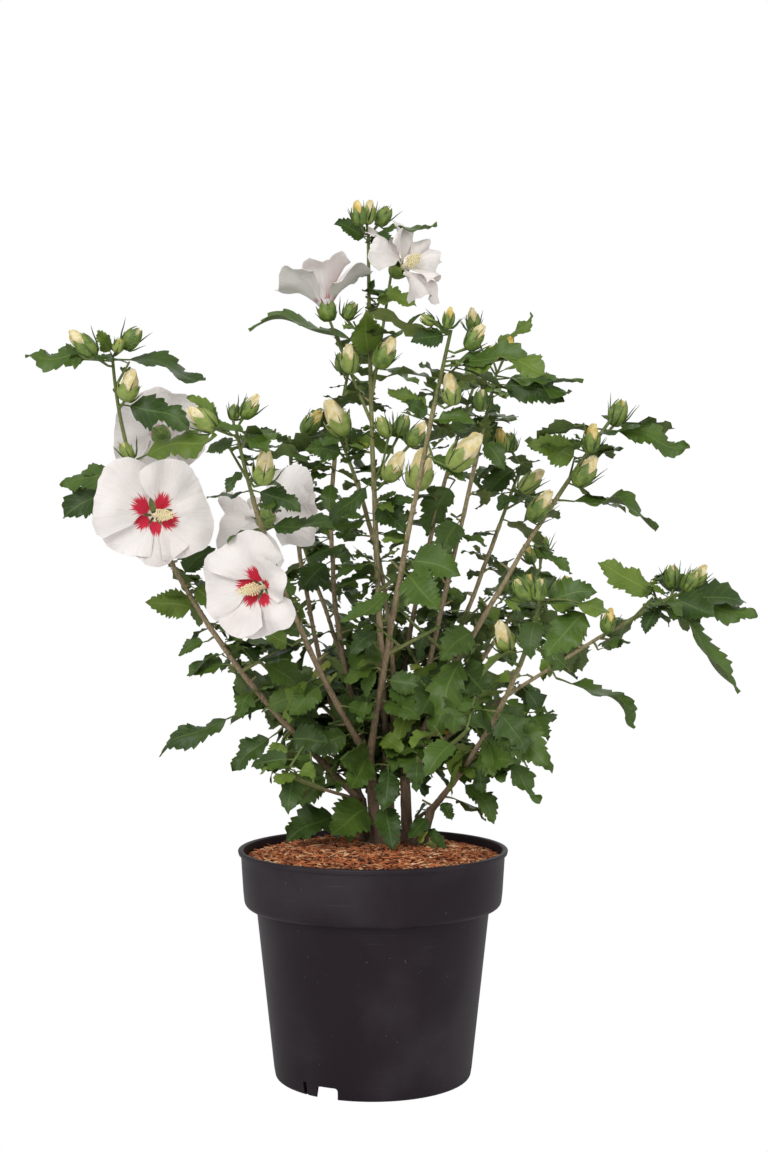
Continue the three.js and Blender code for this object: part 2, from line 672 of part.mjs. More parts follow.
// A blossom: the calyx, the corolla of five broad petals as one lobed shallow cup, and the column of stamens.
function blossomSolids({ throat, faces: axis, calyx, reach, open }) {
  const across = axis.clone().cross(vector(0.1, 0.2, 1)).normalize();
  const third = axis.clone().cross(across);
  const tilt = degToRad(open);
  // A point of the cup: a heading round the axis, a share of the reach, and a lift along the axis.
  const at = (turn, share, lift) =>
    throat
      .clone()
      .addScaledVector(across, Math.cos(turn) * Math.sin(tilt) * reach * share)
      .addScaledVector(third, Math.sin(turn) * Math.sin(tilt) * reach * share)
      .addScaledVector(axis, Math.cos(tilt) * reach * share + lift);
  const step = (2 * Math.PI) / (PETAL.count * 4);
  const rim = Array.from({ length: PETAL.count * 4 }, (_, k) => at(k * step, PETAL.outline[k % 4], 0));
  const ring = (lift) =>
    Array.from({ length: PETAL.count * 2 }, (_, k) =>
      at(k * 2 * step, PETAL.middle, lift + (k % 2 === 1 ? PETAL.ridge : -PETAL.ridge)),
    );
  const points = [at(0, 0, 0), at(0, 0, -PETAL.thickness), ...ring(0), ...ring(-PETAL.thickness), ...rim];
  const inner = 2; // past the two middles
  const below = inner + PETAL.count * 2;
  const edge = below + PETAL.count * 2;
  const faces = [];
  for (let k = 0; k < PETAL.count * 2; k++) {
    const next = (k + 1) % (PETAL.count * 2);
    const e = edge + 2 * k;
    const [f, g] = [e + 1, edge + 2 * next];
    const [a, b, c, d] = [inner + k, inner + next, below + k, below + next];
    faces.push([0, a, b], [a, e, f], [a, f, b], [b, f, g]);
    faces.push([1, d, c], [c, f, e], [c, d, f], [d, g, f]);
  }
  const beyond = (place, distance) => place.clone().addScaledVector(axis, distance);
  const [foot, cup] = [beyond(calyx, -CALYX.overlap), beyond(throat, CALYX.overlap)];
  const [sunk, tip] = [beyond(throat, -COLUMN.sunk), beyond(throat, COLUMN.length)];
  return [
    spindle(foot, cup, CALYX.radius, 0.5, CALYX.sides),
    spindle(sunk, tip, COLUMN.radius, COLUMN.fattest, COLUMN.sides),
    solidOf(indexedGeometry(points, faces)),
  ];
}

// ---------------------------------------------------------------- fitting the masses together

// Everything placed so far, so that a later twig or leaf can be kept clear of it.
const placed = [];

function remember(solid) {
  placed.push({ solid, box: solid.boundingBox() });
  return solid;
}

const boxesMeet = (a, b) => [0, 1, 2].every((i) => a.min[i] < b.max[i] && b.min[i] < a.max[i]);

// Whether a solid, made with room round it, meets nothing but the twig it is rooted on.
function isFree(roomy, rootedOn) {
  const box = roomy.boundingBox();
  return placed.every(
    ({ solid, box: other }) =>
      solid === rootedOn || !boxesMeet(box, other) || roomy.intersect(solid).isEmpty(),
  );
}

// A leaf keeps to its mass's own space, where no other mass's stem is nearer to its middle.
function nearestMass(place, masses) {
  let best = null;
  let least = Infinity;
  for (const mass of masses)
    for (const point of mass.spine) {
      const distance = point.distanceTo(place);
      if (distance < least) {
        least = distance;
        best = mass;
      }
    }
  return best;
}

// A leaf hangs, so its middle is nearer to its twig than half its length.
const leafMiddle = ({ root, direction, length }) => root.clone().addScaledVector(direction, length * 0.4);

const spineOf = ({ twigs, blossom }) => (blossom ? [...twigs[0].line, blossom.throat] : twigs[0].line);

// A mass's own stem, buds and blossom, on which side twigs and leaves are then fitted.
function startMass(mass) {
  const [stem, ...sideTwigs] = mass.twigs;
  mass.carriers = [limb(stem.line, stem.radii, SPRAY_SIDES)];
  mass.sideTwigs = sideTwigs;
  mass.solids = [...mass.carriers, ...mass.buds.map(budSolid)];
  if (mass.blossom) mass.solids.push(...blossomSolids(mass.blossom));
  mass.solids.forEach(remember);
}

// The side twigs and leaves that find room. A leaf whose twig found none is left out too.
function fillMass(mass, masses) {
  for (const { line, radii } of mass.sideTwigs) {
    const roomy = limb(
      line,
      radii.map((radius) => radius + ROOM),
      TWIG_SIDES,
    );
    if (!isFree(roomy, mass.carriers[0])) {
      mass.carriers.push(null);
      continue;
    }
    const twig = remember(limb(line, radii, TWIG_SIDES));
    mass.carriers.push(twig);
    mass.solids.push(twig);
  }
  for (const leaf of mass.leaves) {
    const carrier = mass.carriers[leaf.twig];
    if (!carrier || nearestMass(leafMiddle(leaf), masses) !== mass) continue;
    if (isFree(leafSolid(leaf, ROOM), carrier)) mass.solids.push(remember(leafSolid(leaf)));
  }
}

// A mass as one solid: its pieces joined, cut clear of the stem that bears it, and any loose scrap dropped.
function finishMass(mass) {
  let solid = Manifold.union(mass.solids);
  if (mass.bearer) {
    const { line, radii } = stemLine(mass.bearer, 2 * GAP);
    solid = solid.subtract(limb(line, radii, STEM_SIDES));
  }
  const [largest] = solid
    .simplify(CRUMB)
    .decompose()
    .sort((a, b) => b.volume() - a.volume());
  return largest;
}

// ---------------------------------------------------------------- assembly

const shrub = new THREE.Group();

function addNode(name, solid, look) {
  const mesh = new THREE.Mesh(geometryOf(solid), new THREE.MeshStandardMaterial({ metalness: 0, ...look }));
  mesh.name = name;
  shrub.add(mesh);
}

STEMS.forEach((stem) => {
  stem.parting = partingShare(stem);
});

addNode("pot", remember(makePot()), POT_BLACK);
addNode("root_ball", remember(makeSoil()), BARK_MULCH);
addNode("root_crown", remember(makeRootCrown()), BARK);
for (const stem of STEMS) addNode("stem_" + stem.name, remember(makeStem(stem)), BARK);

const masses = [
  ...BLOSSOMS.map(blossomShoot),
  ...STEMS.map(tipSpray),
  ...STEMS.flatMap((stem, index) => (stem.shoot ? [sideShoot(stem, index)] : [])),
];
for (const mass of masses) mass.spine = spineOf(mass);
masses.forEach(startMass);
for (const mass of masses) fillMass(mass, masses);
for (const mass of masses) addNode(mass.name, finishMass(mass), LEAF_GREEN);

export default shrub;
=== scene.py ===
"""A rose of sharon in its nursery pot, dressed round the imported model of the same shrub.

The shrub is grown again here by the rule that the solids follow, and carried on to finer twigs, toothed
leaves, buds with their bracts and ruffled blossoms. Pot and mulch are turned and finished as real pieces.
Lengths are in millimetres until a mesh is made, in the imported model's own frame: +Z up, -Y to the front.
"""

import json
import logging
import math
from collections.abc import Callable, Iterable, Sequence
from dataclasses import dataclass, field, replace
from enum import Enum, IntEnum
from functools import cache

import bpy
import numpy as np
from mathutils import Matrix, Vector, noise

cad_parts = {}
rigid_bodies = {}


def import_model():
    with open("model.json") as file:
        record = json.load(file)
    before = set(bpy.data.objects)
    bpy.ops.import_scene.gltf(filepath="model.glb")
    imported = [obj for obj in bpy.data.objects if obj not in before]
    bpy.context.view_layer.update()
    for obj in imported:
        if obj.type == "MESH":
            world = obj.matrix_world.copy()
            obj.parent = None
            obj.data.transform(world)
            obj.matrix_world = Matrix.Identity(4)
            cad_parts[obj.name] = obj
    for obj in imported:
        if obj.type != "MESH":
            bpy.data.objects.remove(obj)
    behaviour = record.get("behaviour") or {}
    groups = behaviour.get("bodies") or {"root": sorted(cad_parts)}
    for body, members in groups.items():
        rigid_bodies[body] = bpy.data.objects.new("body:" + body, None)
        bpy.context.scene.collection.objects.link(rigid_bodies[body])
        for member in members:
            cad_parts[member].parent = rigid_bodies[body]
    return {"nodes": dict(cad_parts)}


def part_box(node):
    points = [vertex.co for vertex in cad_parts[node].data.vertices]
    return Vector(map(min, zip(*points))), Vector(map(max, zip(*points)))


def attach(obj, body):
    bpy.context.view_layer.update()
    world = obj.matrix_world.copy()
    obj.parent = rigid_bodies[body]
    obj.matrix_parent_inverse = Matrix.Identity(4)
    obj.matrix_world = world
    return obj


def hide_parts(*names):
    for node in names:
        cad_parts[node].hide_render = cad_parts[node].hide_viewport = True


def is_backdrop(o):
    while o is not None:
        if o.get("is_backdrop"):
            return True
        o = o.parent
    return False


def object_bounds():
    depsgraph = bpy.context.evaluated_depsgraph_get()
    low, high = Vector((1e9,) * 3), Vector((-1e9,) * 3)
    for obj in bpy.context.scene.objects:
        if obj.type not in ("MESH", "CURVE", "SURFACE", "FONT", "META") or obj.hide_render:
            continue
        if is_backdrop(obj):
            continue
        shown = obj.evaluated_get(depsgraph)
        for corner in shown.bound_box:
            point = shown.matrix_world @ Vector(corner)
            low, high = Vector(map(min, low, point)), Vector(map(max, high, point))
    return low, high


log = logging.getLogger("rose_of_sharon")

Point = np.ndarray
Colour = tuple[float, float, float, float]
Span = tuple[float, float]
Face = tuple[int, ...]
Spot = tuple[float, float]
Triple = tuple[float, float, float]
Material = bpy.types.Material
Node = bpy.types.Node
NodeTree = bpy.types.NodeTree
Piece = bpy.types.Object
Socket = bpy.types.NodeSocket

MM = 0.001
BODY = "root"
DIVERGENCE = math.radians(137.5)  # turn from one leaf to the next up a stem
UP = np.array([0.0, 0.0, 1.0])


# ---------------------------------------------------------------- the shrub's own sizes


@dataclass(frozen=True)
class Trunk:
    """A short trunk from its foot on the mulch to the fork where its stems part."""

    foot: Span
    fork: Triple
    radius: Span


@dataclass(frozen=True)
class Stem:
    """A stem from its trunk's fork to its tip, with the leafy spray that it ends in."""

    name: str
    trunk: str
    tip: Triple
    belly: Span  # how far it bellies out sideways half way up
    radius: float  # at the fork
    spray: float  # share of its length where the spray begins
    leaves: int
    leaf: Span  # least and greatest length of those leaves
    buds: int
    heading: float  # of the outermost leaf, in degrees
    shoot: bool  # whether it bears a side shoot
    green: float = 0.0  # how much younger its wood looks than its height tells
    slim: float = 0.88  # of its radius, that its finished bark has


@dataclass(frozen=True)
class Blossom:
    """An open blossom: where it stands, how it faces and how far its petals spread."""

    name: str
    stem: str
    at: float
    throat: Triple
    faces: Triple
    reach: float
    open: float  # degrees from the axis to the petals
    crumple: float = 0.0  # how far the petals have begun to wilt, from 0 to 1
    turn: float = 0.0  # of the petals round the axis, in degrees
    eye: bool = True
    in_view: bool = False  # whether no leaf hangs before it
    petals: tuple[Triple, ...] = ()  # each one's turn, length and lean, where they are uneven
    column: Triple | None = None  # the way its stamens lean, where not along its axis
    claw: float = 10.0  # half the width of each petal's narrow foot, in degrees
    sepals: float = 0.0  # how far its sepals show between the claws, against the longest

    @property
    def axis(self) -> Point:
        """The way it faces, of length one."""
        return unit(np.array(self.faces, float))


GAP = 0.3
GROUND = 238.0 + GAP  # height of the mulch's crown, where the trunks stand
TRUNKS: dict[str, Trunk] = {
    "outer_left": Trunk((-8, 27), (-12, 27, 281), (5.8, 4.8)),
    "left": Trunk((4, 14), (-4, 17, 325), (6.6, 5.4)),
    "centre": Trunk((18, 37), (16, 36, 300), (6.2, 5.2)),
    "right": Trunk((36, 20), (33, 18, 314), (6.2, 5.2)),
    "outer_right": Trunk((51, 5), (60, 0, 274), (5.2, 4.6)),
}
ROOT_FLARE_RADIUS, ROOT_FLARE_HEIGHT = 15.0, 8.0
STEMS: tuple[Stem, ...] = (
    Stem("far_left", "outer_left", (-257, -90, 735), (-58, -4), 4.2, 0.8, 9, (56, 78), 3, 186, True),
    Stem("front_left", "left", (-128, -180, 659), (-17, -6), 4.2, 0.8, 9, (52, 72), 3, 170, False),
    Stem("back_left", "outer_left", (-93, 112, 672), (-16, 8), 3.8, 0.76, 10, (48, 66), 3, 20, True),
    Stem("inner_left", "left", (-26, 118, 752), (-30, 10), 4.0, 0.8, 8, (46, 64), 2, 300, True),
    Stem("leader", "centre", (-5, 0, 873), (-4, 2), 4.8, 0.74, 15, (50, 72), 4, 190, True, 0.22),
    Stem("leader_fork", "centre", (-40, 34, 676), (26, 0), 3.6, 0.84, 7, (48, 66), 2, 95, False),
    Stem("front_middle", "left", (75, -160, 751), (-4, -6), 4.4, 0.84, 8, (50, 70), 4, 200, True),
    Stem("inner_right", "right", (137, 130, 745), (0, 10), 4.0, 0.78, 10, (54, 76), 4, 350, True),
    Stem("back_middle", "centre", (121, 230, 753), (-13, 14), 4.0, 0.78, 9, (46, 66), 2, 40, True),
    Stem("back_right", "right", (170, 185, 648), (3, 16), 3.8, 0.78, 9, (50, 72), 3, 10, True),
    Stem("right", "right", (243, -40, 678), (-12, -4), 4.4, 0.78, 10, (54, 78), 4, 5, True),
    Stem("front_right", "outer_right", (155, -215, 496), (15, -10), 3.8, 0.72, 9, (50, 72), 3, 320, True),
    Stem("far_right", "right", (306, -62, 500), (-14, -8), 4.2, 0.82, 9, (54, 73), 3, 0, True, slim=0.66),
    Stem("low_left", "outer_left", (-128, 120, 425), (8, 10), 3.2, 0.55, 10, (42, 60), 0, 160, False),
    Stem("rear_left", "centre", (-100, 246, 606), (-4, 20), 3.8, 0.7, 11, (46, 66), 3, 120, True),
    Stem("rear_right", "right", (196, 240, 528), (6, 22), 3.8, 0.68, 11, (46, 66), 3, 60, True),
    Stem("rear_low", "centre", (-34, 246, 440), (0, 22), 3.4, 0.56, 11, (42, 62), 0, 90, False),
    Stem(
        "front_low_right", "right", (92, -150, 372), (6, -12), 3.2, 0.5, 11, (44, 66), 0, 250, False,
        slim=0.66,
    ),
    Stem(
        "front_low_left", "outer_left", (-88, -104, 326), (-4, -12), 3.2, 0.46, 11, (44, 66), 0, 215, False,
        slim=0.6,
    ),
)
BLOSSOMS: tuple[Blossom, ...] = (
    Blossom(
        "blossom_shoot_left", "far_left", 0.6, (-214, -102, 577), (0.3, -1, 0.08), 58, 76,
        in_view=True, sepals=1.0, column=(0.66, -0.72, -0.02),
        petals=((62, 1.02, -4), (150, 1.18, -6), (207, 0.97, 2), (268, 0.86, 2), (332, 1.02, 0)),
    ),
    Blossom(
        "blossom_shoot_front", "front_left", 0.5, (-105, -128, 507), (-0.42, -1, -0.1), 60, 66,
        in_view=True, sepals=1.0, column=(-0.76, -0.62, -0.16),
        petals=((104, 0.98, -2), (164, 1.04, 2), (222, 0.93, 2), (288, 0.84, 4), (22, 0.76, -20)),
    ),
    Blossom(
        "blossom_shoot_behind", "far_left", 0.74, (-218, -22, 663), (-0.25, 0.9, 0.2), 51, 64, 0.15,
        in_view=True, sepals=0.5, claw=20,
    ),
    Blossom(
        "blossom_shoot_inner", "front_left", 0.68, (-108, -56, 576), (0.1, 1, 0.15), 55, 70, 0.6, sepals=0.5,
        petals=((342, 1.04, 10), (304, 1.0, 10), (146, 1.16, 0), (190, 0.98, 4), (48, 0.45, 0)), claw=16,
    ),
    Blossom(
        "blossom_shoot_top_left", "leader", 0.66, (-49, 4, 799), (-0.25, 0.1, 1), 56, 50, 0.15,
        petals=((8, 1.04, -14), (60, 1.0, 8), (140, 0.8, -14), (205, 0.85, -16), (286, 1.04, 0)), claw=34,
    ),
    Blossom(
        "blossom_shoot_top_right", "leader", 0.7, (31, -8, 838), (0.8, -0.5, 0.45), 46, 62, 0.8, eye=False,
        petals=((26, 1.12, 14), (84, 0.95, -14), (125, 0.95, -6), (215, 1.0, 0), (250, 1.2, 28)), claw=20,
    ),
)


@dataclass(frozen=True)
class StemRule:
    """How every stem tapers."""

    tip_radius: float = 1.9
    taper: float = 0.8


@dataclass(frozen=True)
class SprayRule:
    """How every spray grows: places in steps from one leaf to the next, angles in radians."""

    pieces: int = 3
    first_leaf: float = 0.9
    bare_tip: float = 0.4
    bud: float = 0.35
    side_twig: float = 0.4
    stray: float = 0.25
    rise: Span = (-0.1, 0.45)
    squaring: float = 0.35
    tip_radius: float = 1.7
    probe: float = 0.02  # share to either side, between which its direction is read


@dataclass(frozen=True)
class SideTwigRule:
    """How a side twig grows beside every fourth leaf of a spray."""

    every: int = 4
    turn: float = 1.1
    rise: Span = (0.45, 0.9)
    length: Span = (28, 46)
    radii: Triple = (1.5, 1.3, 1.0)
    age: Span = (0.9, 1)
    leaves: int = 3
    first_leaf: float = 0.94
    leaf_step: float = 0.22
    fan: float = 1.9
    leaf_rise: Span = (0, 0.6)
    leaf_share: float = 0.78


@dataclass(frozen=True)
class ShootRule:
    """How a leafy side shoot stands on its stem."""

    at: Span = (0.16, 0.38)
    length: Span = (62, 92)
    rise: Span = (24, 46)
    leaves: int = 8
    leaf: Span = (44, 66)
    radius: Span = (2.4, 1.6)
    room: float = 10
    turns: int = 12
    fan: float = 60
    probes: tuple[float, ...] = (0.25, 0.5, 0.75, 1)  # shares at which its room is looked for
    probe_step: float = 0.02  # share from one to the next along the other stems


@dataclass(frozen=True)
class BlossomShootRule:
    """How a blossom stands on its own stalk, with a few leaves at the stalk's foot."""

    calyx_depth: float = 16.0
    sag: float = 3.0
    first_heading: float = 60  # in degrees
    heading_step: float = 140
    radius: Span = (2, 1.5)
    leaves: int = 3
    leaf: Span = (44, 60)


@dataclass(frozen=True)
class SpurRule:
    """How the short leafy spurs stand along the wood: close and broad-leaved below, thin above."""

    start: float = 0.02  # share of the stem
    trunk_start: float = 0.8  # share of the trunk
    thins: Span = (440, 600)  # heights between which they get fewer and smaller
    spacing: Span = (20, 30)  # below and above
    length: Span = (4, 14)
    leaves: tuple[int, int] = (2, 3)
    low_leaf: Span = (28, 56)
    high_leaf: Span = (26, 46)
    rise: Span = (0.1, 0.9)
    leaf_rise: Span = (-0.2, 0.5)
    fan: float = 1.7
    stop: float = 0.01  # share of the stem that stays bare under its spray
    probe: float = 0.02  # share of the stem over which its direction is read
    sunk: float = 0.6  # of the wood's radius, where a spur begins
    radii: Span = (1.4, 1.0)
    age: Span = (0.55, 0.8)
    stray: float = 0.4
    leaf_step: float = 0.3
    uneven: Span = (0.7, 1.3)  # of the spacing

    def thinned(self, height: float) -> float:
        """How far growth has thinned at a height, from 0 to 1."""
        return float(smooth((height - self.thins[0]) / (self.thins[1] - self.thins[0])))


@dataclass(frozen=True)
class TuftRule:
    """How small leaves stand in the axils of a spray's own leaves."""

    share: float = 0.35  # of the axils
    leaf: Span = (15, 30)
    rise: Span = (0.2, 1.0)
    leaves: int = 2
    fan: float = 1.5
    stray: float = 0.3
    droop: Span = (0.4, 1.8)
    lift: Span = (1, 4)


@dataclass(frozen=True)
class BudRule:
    """The size of a flower bud and how it leans."""

    length: float = 28
    radius: float = 7.4
    size: Span = (0.8, 1.1)
    stalk: Span = (8, 20)
    lean: Span = (0.3, 0.65)
    tip_lean: float = 0.12
    tip_share: float = 0.97


STEM = StemRule()
SPRAY = SprayRule()
SIDE_TWIG = SideTwigRule()
SHOOT = ShootRule()
SPUR = SpurRule()
TUFT = TuftRule()
BUD = BudRule()
BLOSSOM_SHOOT = BlossomShootRule()
LEAF_DROOP: Span = (0.9, 2.3)
LEAF_ROLL = 0.8
ANY_PHASE: Span = (0, 6.28)
OUTERMOST_LENGTH, OUTERMOST_DROOP = 1.15, 0.3
SEEDS = {
    "spray": (4001, 97),
    "shoot": (7001, 131),
    "shoot_spray": (9001, 211),
    "blossom": (11003, 53),
    "spur": (13007, 37),
    "dress": (17011, 41),
}
HAND_SET = 900  # place of all that is set one by one, past every mass


# ---------------------------------------------------------------- what is set one by one


class Form(Enum):
    """The outlines that a leaf may have, by their letter in the tables of leaves."""

    BROAD = "B"
    OVATE = "O"
    NARROW = "N"
    HASTATE = "H"


class BudKind(Enum):
    """How far a bud has come, by its letter in the table of buds."""

    TIGHT = "T"
    RIPE = "R"
    FAT = "F"


class Tone(IntEnum):
    """The finishes of a leaf's faces, by their place among the piece's materials."""

    DEEP = 0
    MID = 1
    LIGHT = 2
    SPROUT = 3
    AUTUMN = 4
    BACK = 5
    PALE_BACK = 6


TONE_LETTERS = {"D": Tone.DEEP, "M": Tone.MID, "L": Tone.LIGHT, "S": Tone.SPROUT, "A": Tone.AUTUMN}


@dataclass(frozen=True)
class Placed:
    """A leaf that is set at listed spots of the front sight."""

    root: Spot
    tip: Spot
    deeper: float  # how much further back its tip stands than its stem
    look: str  # letters of its Form, of its Tone and of how it faces


@dataclass(frozen=True)
class Fallen:
    """A dropped leaf on the mulch: where its stalk ends, its tip, its form and tone."""

    root: Triple
    tip: Triple
    form: Form
    tone: Tone


@dataclass(frozen=True)
class PlacedBud:
    """A bud that is set at listed spots of the front sight."""

    stalk: Spot  # where its stalk leaves the stem
    foot: Spot
    tip: Spot
    deeper: float  # how much further back its foot stands than its stem
    kind: str  # letter of its BudKind


# Gaps in the crown in the front sight: a spot across and down, and a radius. More than half of them still
# have the numbers that a program fitted. The rest of them were rounded, merged or added.
CROWN_GAPS: tuple[tuple[int, int, int], ...] = (
    (10, 170, 165), (150, 140, 178), (240, 130, 130), (455, 20, 190), (700, 210, 190), (745, 295, 150),
    (100, 388, 13), (350, 268, 10),
    (850, 480, 160), (190, 280, 62), (205, 330, 38), (236, 362, 30), (275, 222, 52), (235, 295, 36),
    (300, 368, 33), (505, 240, 62), (585, 318, 52), (592, 398, 18), (430, 242, 13), (350, 254, 9),
    (334, 245, 9), (390, 304, 10), (400, 331, 8), (411, 351, 11), (433, 357, 11), (284, 306, 9),
    (706, 505, 55), (630, 474, 26), (578, 534, 25), (620, 543, 17), (645, 548, 18), (586, 569, 11),
    (627, 600, 18), (784, 667, 46), (689, 717, 50), (657, 680, 43), (616, 672, 26), (532, 669, 12),
    (500, 671, 8), (583, 746, 34), (640, 815, 85), (558, 850, 46), (518, 826, 24), (502, 806, 16),
    (526, 774, 10), (464, 822, 12), (443, 816, 9), (557, 468, 12), (545, 413, 11), (517, 403, 13),
    (484, 518, 12), (463, 565, 9), (352, 495, 9), (62, 420, 52), (-40, 510, 100), (103, 675, 75),
    (138, 700, 40), (20, 690, 150), (147, 579, 18), (168, 587, 9), (183, 629, 11), (194, 693, 16),
    (218, 684, 15), (222, 732, 13), (258, 674, 10), (190, 804, 50), (244, 803, 32), (288, 816, 9),
    (336, 807, 9), (291, 553, 13), (224, 472, 13), (208, 463, 10), (209, 391, 10), (177, 382, 11),
    (149, 374, 8), (344, 795, 6), (364, 796, 5), (363, 805, 4), (364, 788, 4), (401, 795, 5),
    (402, 805, 7), (427, 796, 7), (433, 804, 7),
)
FALLEN_LEAVES = (
    Fallen((47, -15, 239), (56, -17, 255), Form.BROAD, Tone.SPROUT),
    Fallen((66, -30, 239), (52, -34, 243), Form.OVATE, Tone.AUTUMN),
)
PLACED_LEAVES: dict[str, tuple[Placed, ...]] = {
    "far_left": (
        Placed((113, 357), (25, 355), -20, "NMh"),
        Placed((115, 359), (206, 380), -15, "NDe"),
        Placed((116, 354), (97, 331), -25, "BLf"),
        Placed((123, 403), (191, 431), -25, "HDf"),
        Placed((136, 461), (217, 435), -45, "NLh"),
        Placed((138, 468), (62, 487), 20, "OMh"),
        Placed((143, 482), (63, 518), 20, "ODf"),
        Placed((186, 576), (216, 548), 15, "BDf"),
        Placed((196, 613), (146, 602), -25, "BLf"),
        Placed((208, 641), (179, 656), 10, "OMh"),
        Placed((222, 655), (189, 676), 15, "NDe"),
        Placed((241, 714), (160, 757), -15, "NDh"),
        Placed((277, 733), (233, 771), -10, "ODh"),
        Placed((283, 738), (272, 772), -25, "BLf"),
        Placed((262, 712), (305, 690), -30, "BMf"),
        Placed((285, 740), (330, 742), -35, "BDf"),
    ),
    "front_left": (
        Placed((238, 440), (187, 397), -20, "NLh"),
        Placed((238, 440), (206, 452), 15, "ODh"),
        Placed((240, 447), (276, 430), 15, "ODh"),
        Placed((243, 470), (226, 493), -10, "ODh"),
        Placed((250, 490), (300, 512), -20, "HDf"),
        Placed((262, 528), (335, 530), -30, "NDh"),
        Placed((350, 735), (306, 750), -15, "BMf"),
        Placed((300, 600), (262, 575), 20, "OMh"),
        Placed((292, 646), (263, 634), -50, "BLf"),
        Placed((330, 680), (290, 715), -30, "BMf"),
    ),
    "outer_left": (
        Placed((334, 775), (281, 802), -45, "BMf"),
        Placed((345, 815), (286, 842), -45, "BDh"),
        Placed((352, 800), (350, 842), -50, "BMf"),
        Placed((330, 775), (284, 764), -25, "OMh"),
    ),
    "left": (
        Placed((366, 806), (331, 836), -60, "BMf"),
        Placed((385, 800), (393, 850), -60, "ODh"),
        Placed((388, 765), (383, 812), -55, "ODh"),
        Placed((372, 770), (342, 760), -60, "BMf"),
    ),
    "outer_right": (
        Placed((424, 826), (446, 848), -30, "NDh"),
        Placed((427, 815), (408, 838), -30, "ODh"),
        Placed((440, 800), (452, 820), -30, "ODh"),
        Placed((458, 778), (494, 824), -40, "NMh"),
    ),
    "front_middle": (
        Placed((386, 680), (428, 692), -15, "BMf"),
        Placed((372, 752), (350, 790), -50, "BMf"),
        Placed((449, 334), (411, 342), -15, "BDf"),
        Placed((450, 334), (434, 322), -20, "OMh"),
        Placed((444, 362), (532, 372), -30, "NMh"),
        Placed((444, 366), (547, 376), -40, "NLe"),
        Placed((430, 420), (475, 425), -15, "OMh"),
        Placed((430, 416), (404, 402), -15, "BDf"),
        Placed((432, 410), (388, 388), 20, "NLh"),
        Placed((424, 455), (466, 480), -20, "NMh"),
        Placed((405, 560), (460, 575), -30, "BMf"),
        Placed((403, 570), (440, 610), -45, "BMf"),
        Placed((398, 590), (340, 620), -30, "NMh"),
        Placed((378, 700), (420, 720), -50, "OMh"),
    ),
    "front_right": (
        Placed((497, 735), (462, 716), -40, "ODh"),
        Placed((478, 745), (541, 801), -25, "NMh"),
        Placed((495, 722), (548, 766), -35, "BMf"),
        Placed((500, 712), (520, 752), -30, "BDf"),
        Placed((538, 604), (597, 592), -20, "BMf"),
        Placed((594, 607), (546, 658), -40, "BMf"),
        Placed((470, 750), (516, 762), -50, "BMf"),
    ),
    "right": (
        Placed((470, 716), (443, 733), -6, "NAh"),
        Placed((425, 742), (418, 783), -60, "BMf"),
        Placed((440, 770), (514, 770), -80, "OMh"),
        Placed((598, 426), (690, 448), -20, "NMh"),
        Placed((560, 503), (656, 531), -12, "NMe"),
        Placed((527, 538), (571, 574), -10, "NMh"),
        Placed((575, 456), (527, 446), -20, "BLf"),
        Placed((598, 440), (556, 447), 10, "NMh"),
        Placed((474, 652), (430, 733), -70, "NMf"),
        Placed((480, 630), (440, 660), -40, "BMf"),
        Placed((500, 600), (545, 620), -10, "NLh"),
        Placed((452, 662), (490, 700), -60, "BDf"),
        Placed((440, 680), (420, 715), -70, "BDf"),
        Placed((470, 690), (452, 735), -75, "BMf"),
        Placed((480, 700), (500, 740), -60, "BMf"),
    ),
    "far_right": (
        Placed((556, 678), (636, 727), -10, "NMe"),
        Placed((668, 604), (741, 691), -20, "NMe"),
        Placed((672, 603), (716, 616), -30, "BDf"),
        Placed((676, 600), (763, 618), -10, "NMh"),
        Placed((664, 606), (598, 562), 10, "OLh"),
        Placed((664, 608), (645, 634), -10, "ODh"),
        Placed((570, 672), (537, 650), -40, "BMf"),
        Placed((598, 650), (630, 643), -20, "NDh"),
        Placed((676, 604), (700, 622), -22, "BDf"),
    ),
    "leader": (
        Placed((365, 241), (334, 224), -10, "BDf"),
        Placed((366, 238), (437, 224), -10, "NMe"),
        Placed((366, 228), (389, 244), -25, "BDf"),
        Placed((364, 346), (249, 330), -35, "NMe"),
        Placed((364, 362), (366, 311), -50, "BLf"),
        Placed((364, 356), (425, 312), -10, "NMe"),
        Placed((365, 298), (416, 305), -30, "HLh"),
        Placed((365, 292), (374, 280), -12, "ODf"),
        Placed((366, 480), (331, 525), -30, "NDh"),
        Placed((368, 500), (405, 533), -20, "BDf"),
        Placed((370, 520), (318, 530), -15, "NMh"),
        Placed((386, 640), (352, 672), -40, "BMf"),
    ),
    "inner_right": (
        Placed((492, 358), (532, 314), -10, "NLh"),
        Placed((495, 374), (541, 356), -10, "NLe"),
        Placed((495, 380), (584, 379), -10, "NMe"),
        Placed((494, 384), (564, 402), -15, "ODf"),
        Placed((484, 440), (505, 470), -20, "BMf"),
        Placed((470, 520), (440, 560), -30, "BMf"),
    ),
    "leader_fork": (
        Placed((350, 430), (320, 445), -20, "OMh"),
        Placed((350, 455), (305, 450), -20, "BMf"),
    ),
    "inner_left": (
        Placed((340, 475), (300, 482), -10, "NMh"),
        Placed((341, 480), (329, 512), -20, "OMh"),
        Placed((337, 560), (300, 590), -30, "BDf"),
    ),
    "back_middle": (
        Placed((462, 420), (506, 448), -10, "BDf"),
        Placed((455, 480), (425, 535), -20, "OMh"),
    ),
    "back_right": (
        Placed((520, 465), (480, 500), -10, "ODh"),
    ),
    "back_left": (
        Placed((305, 560), (345, 545), -20, "ODh"),
        Placed((306, 600), (270, 640), -30, "BLf"),
    ),
}
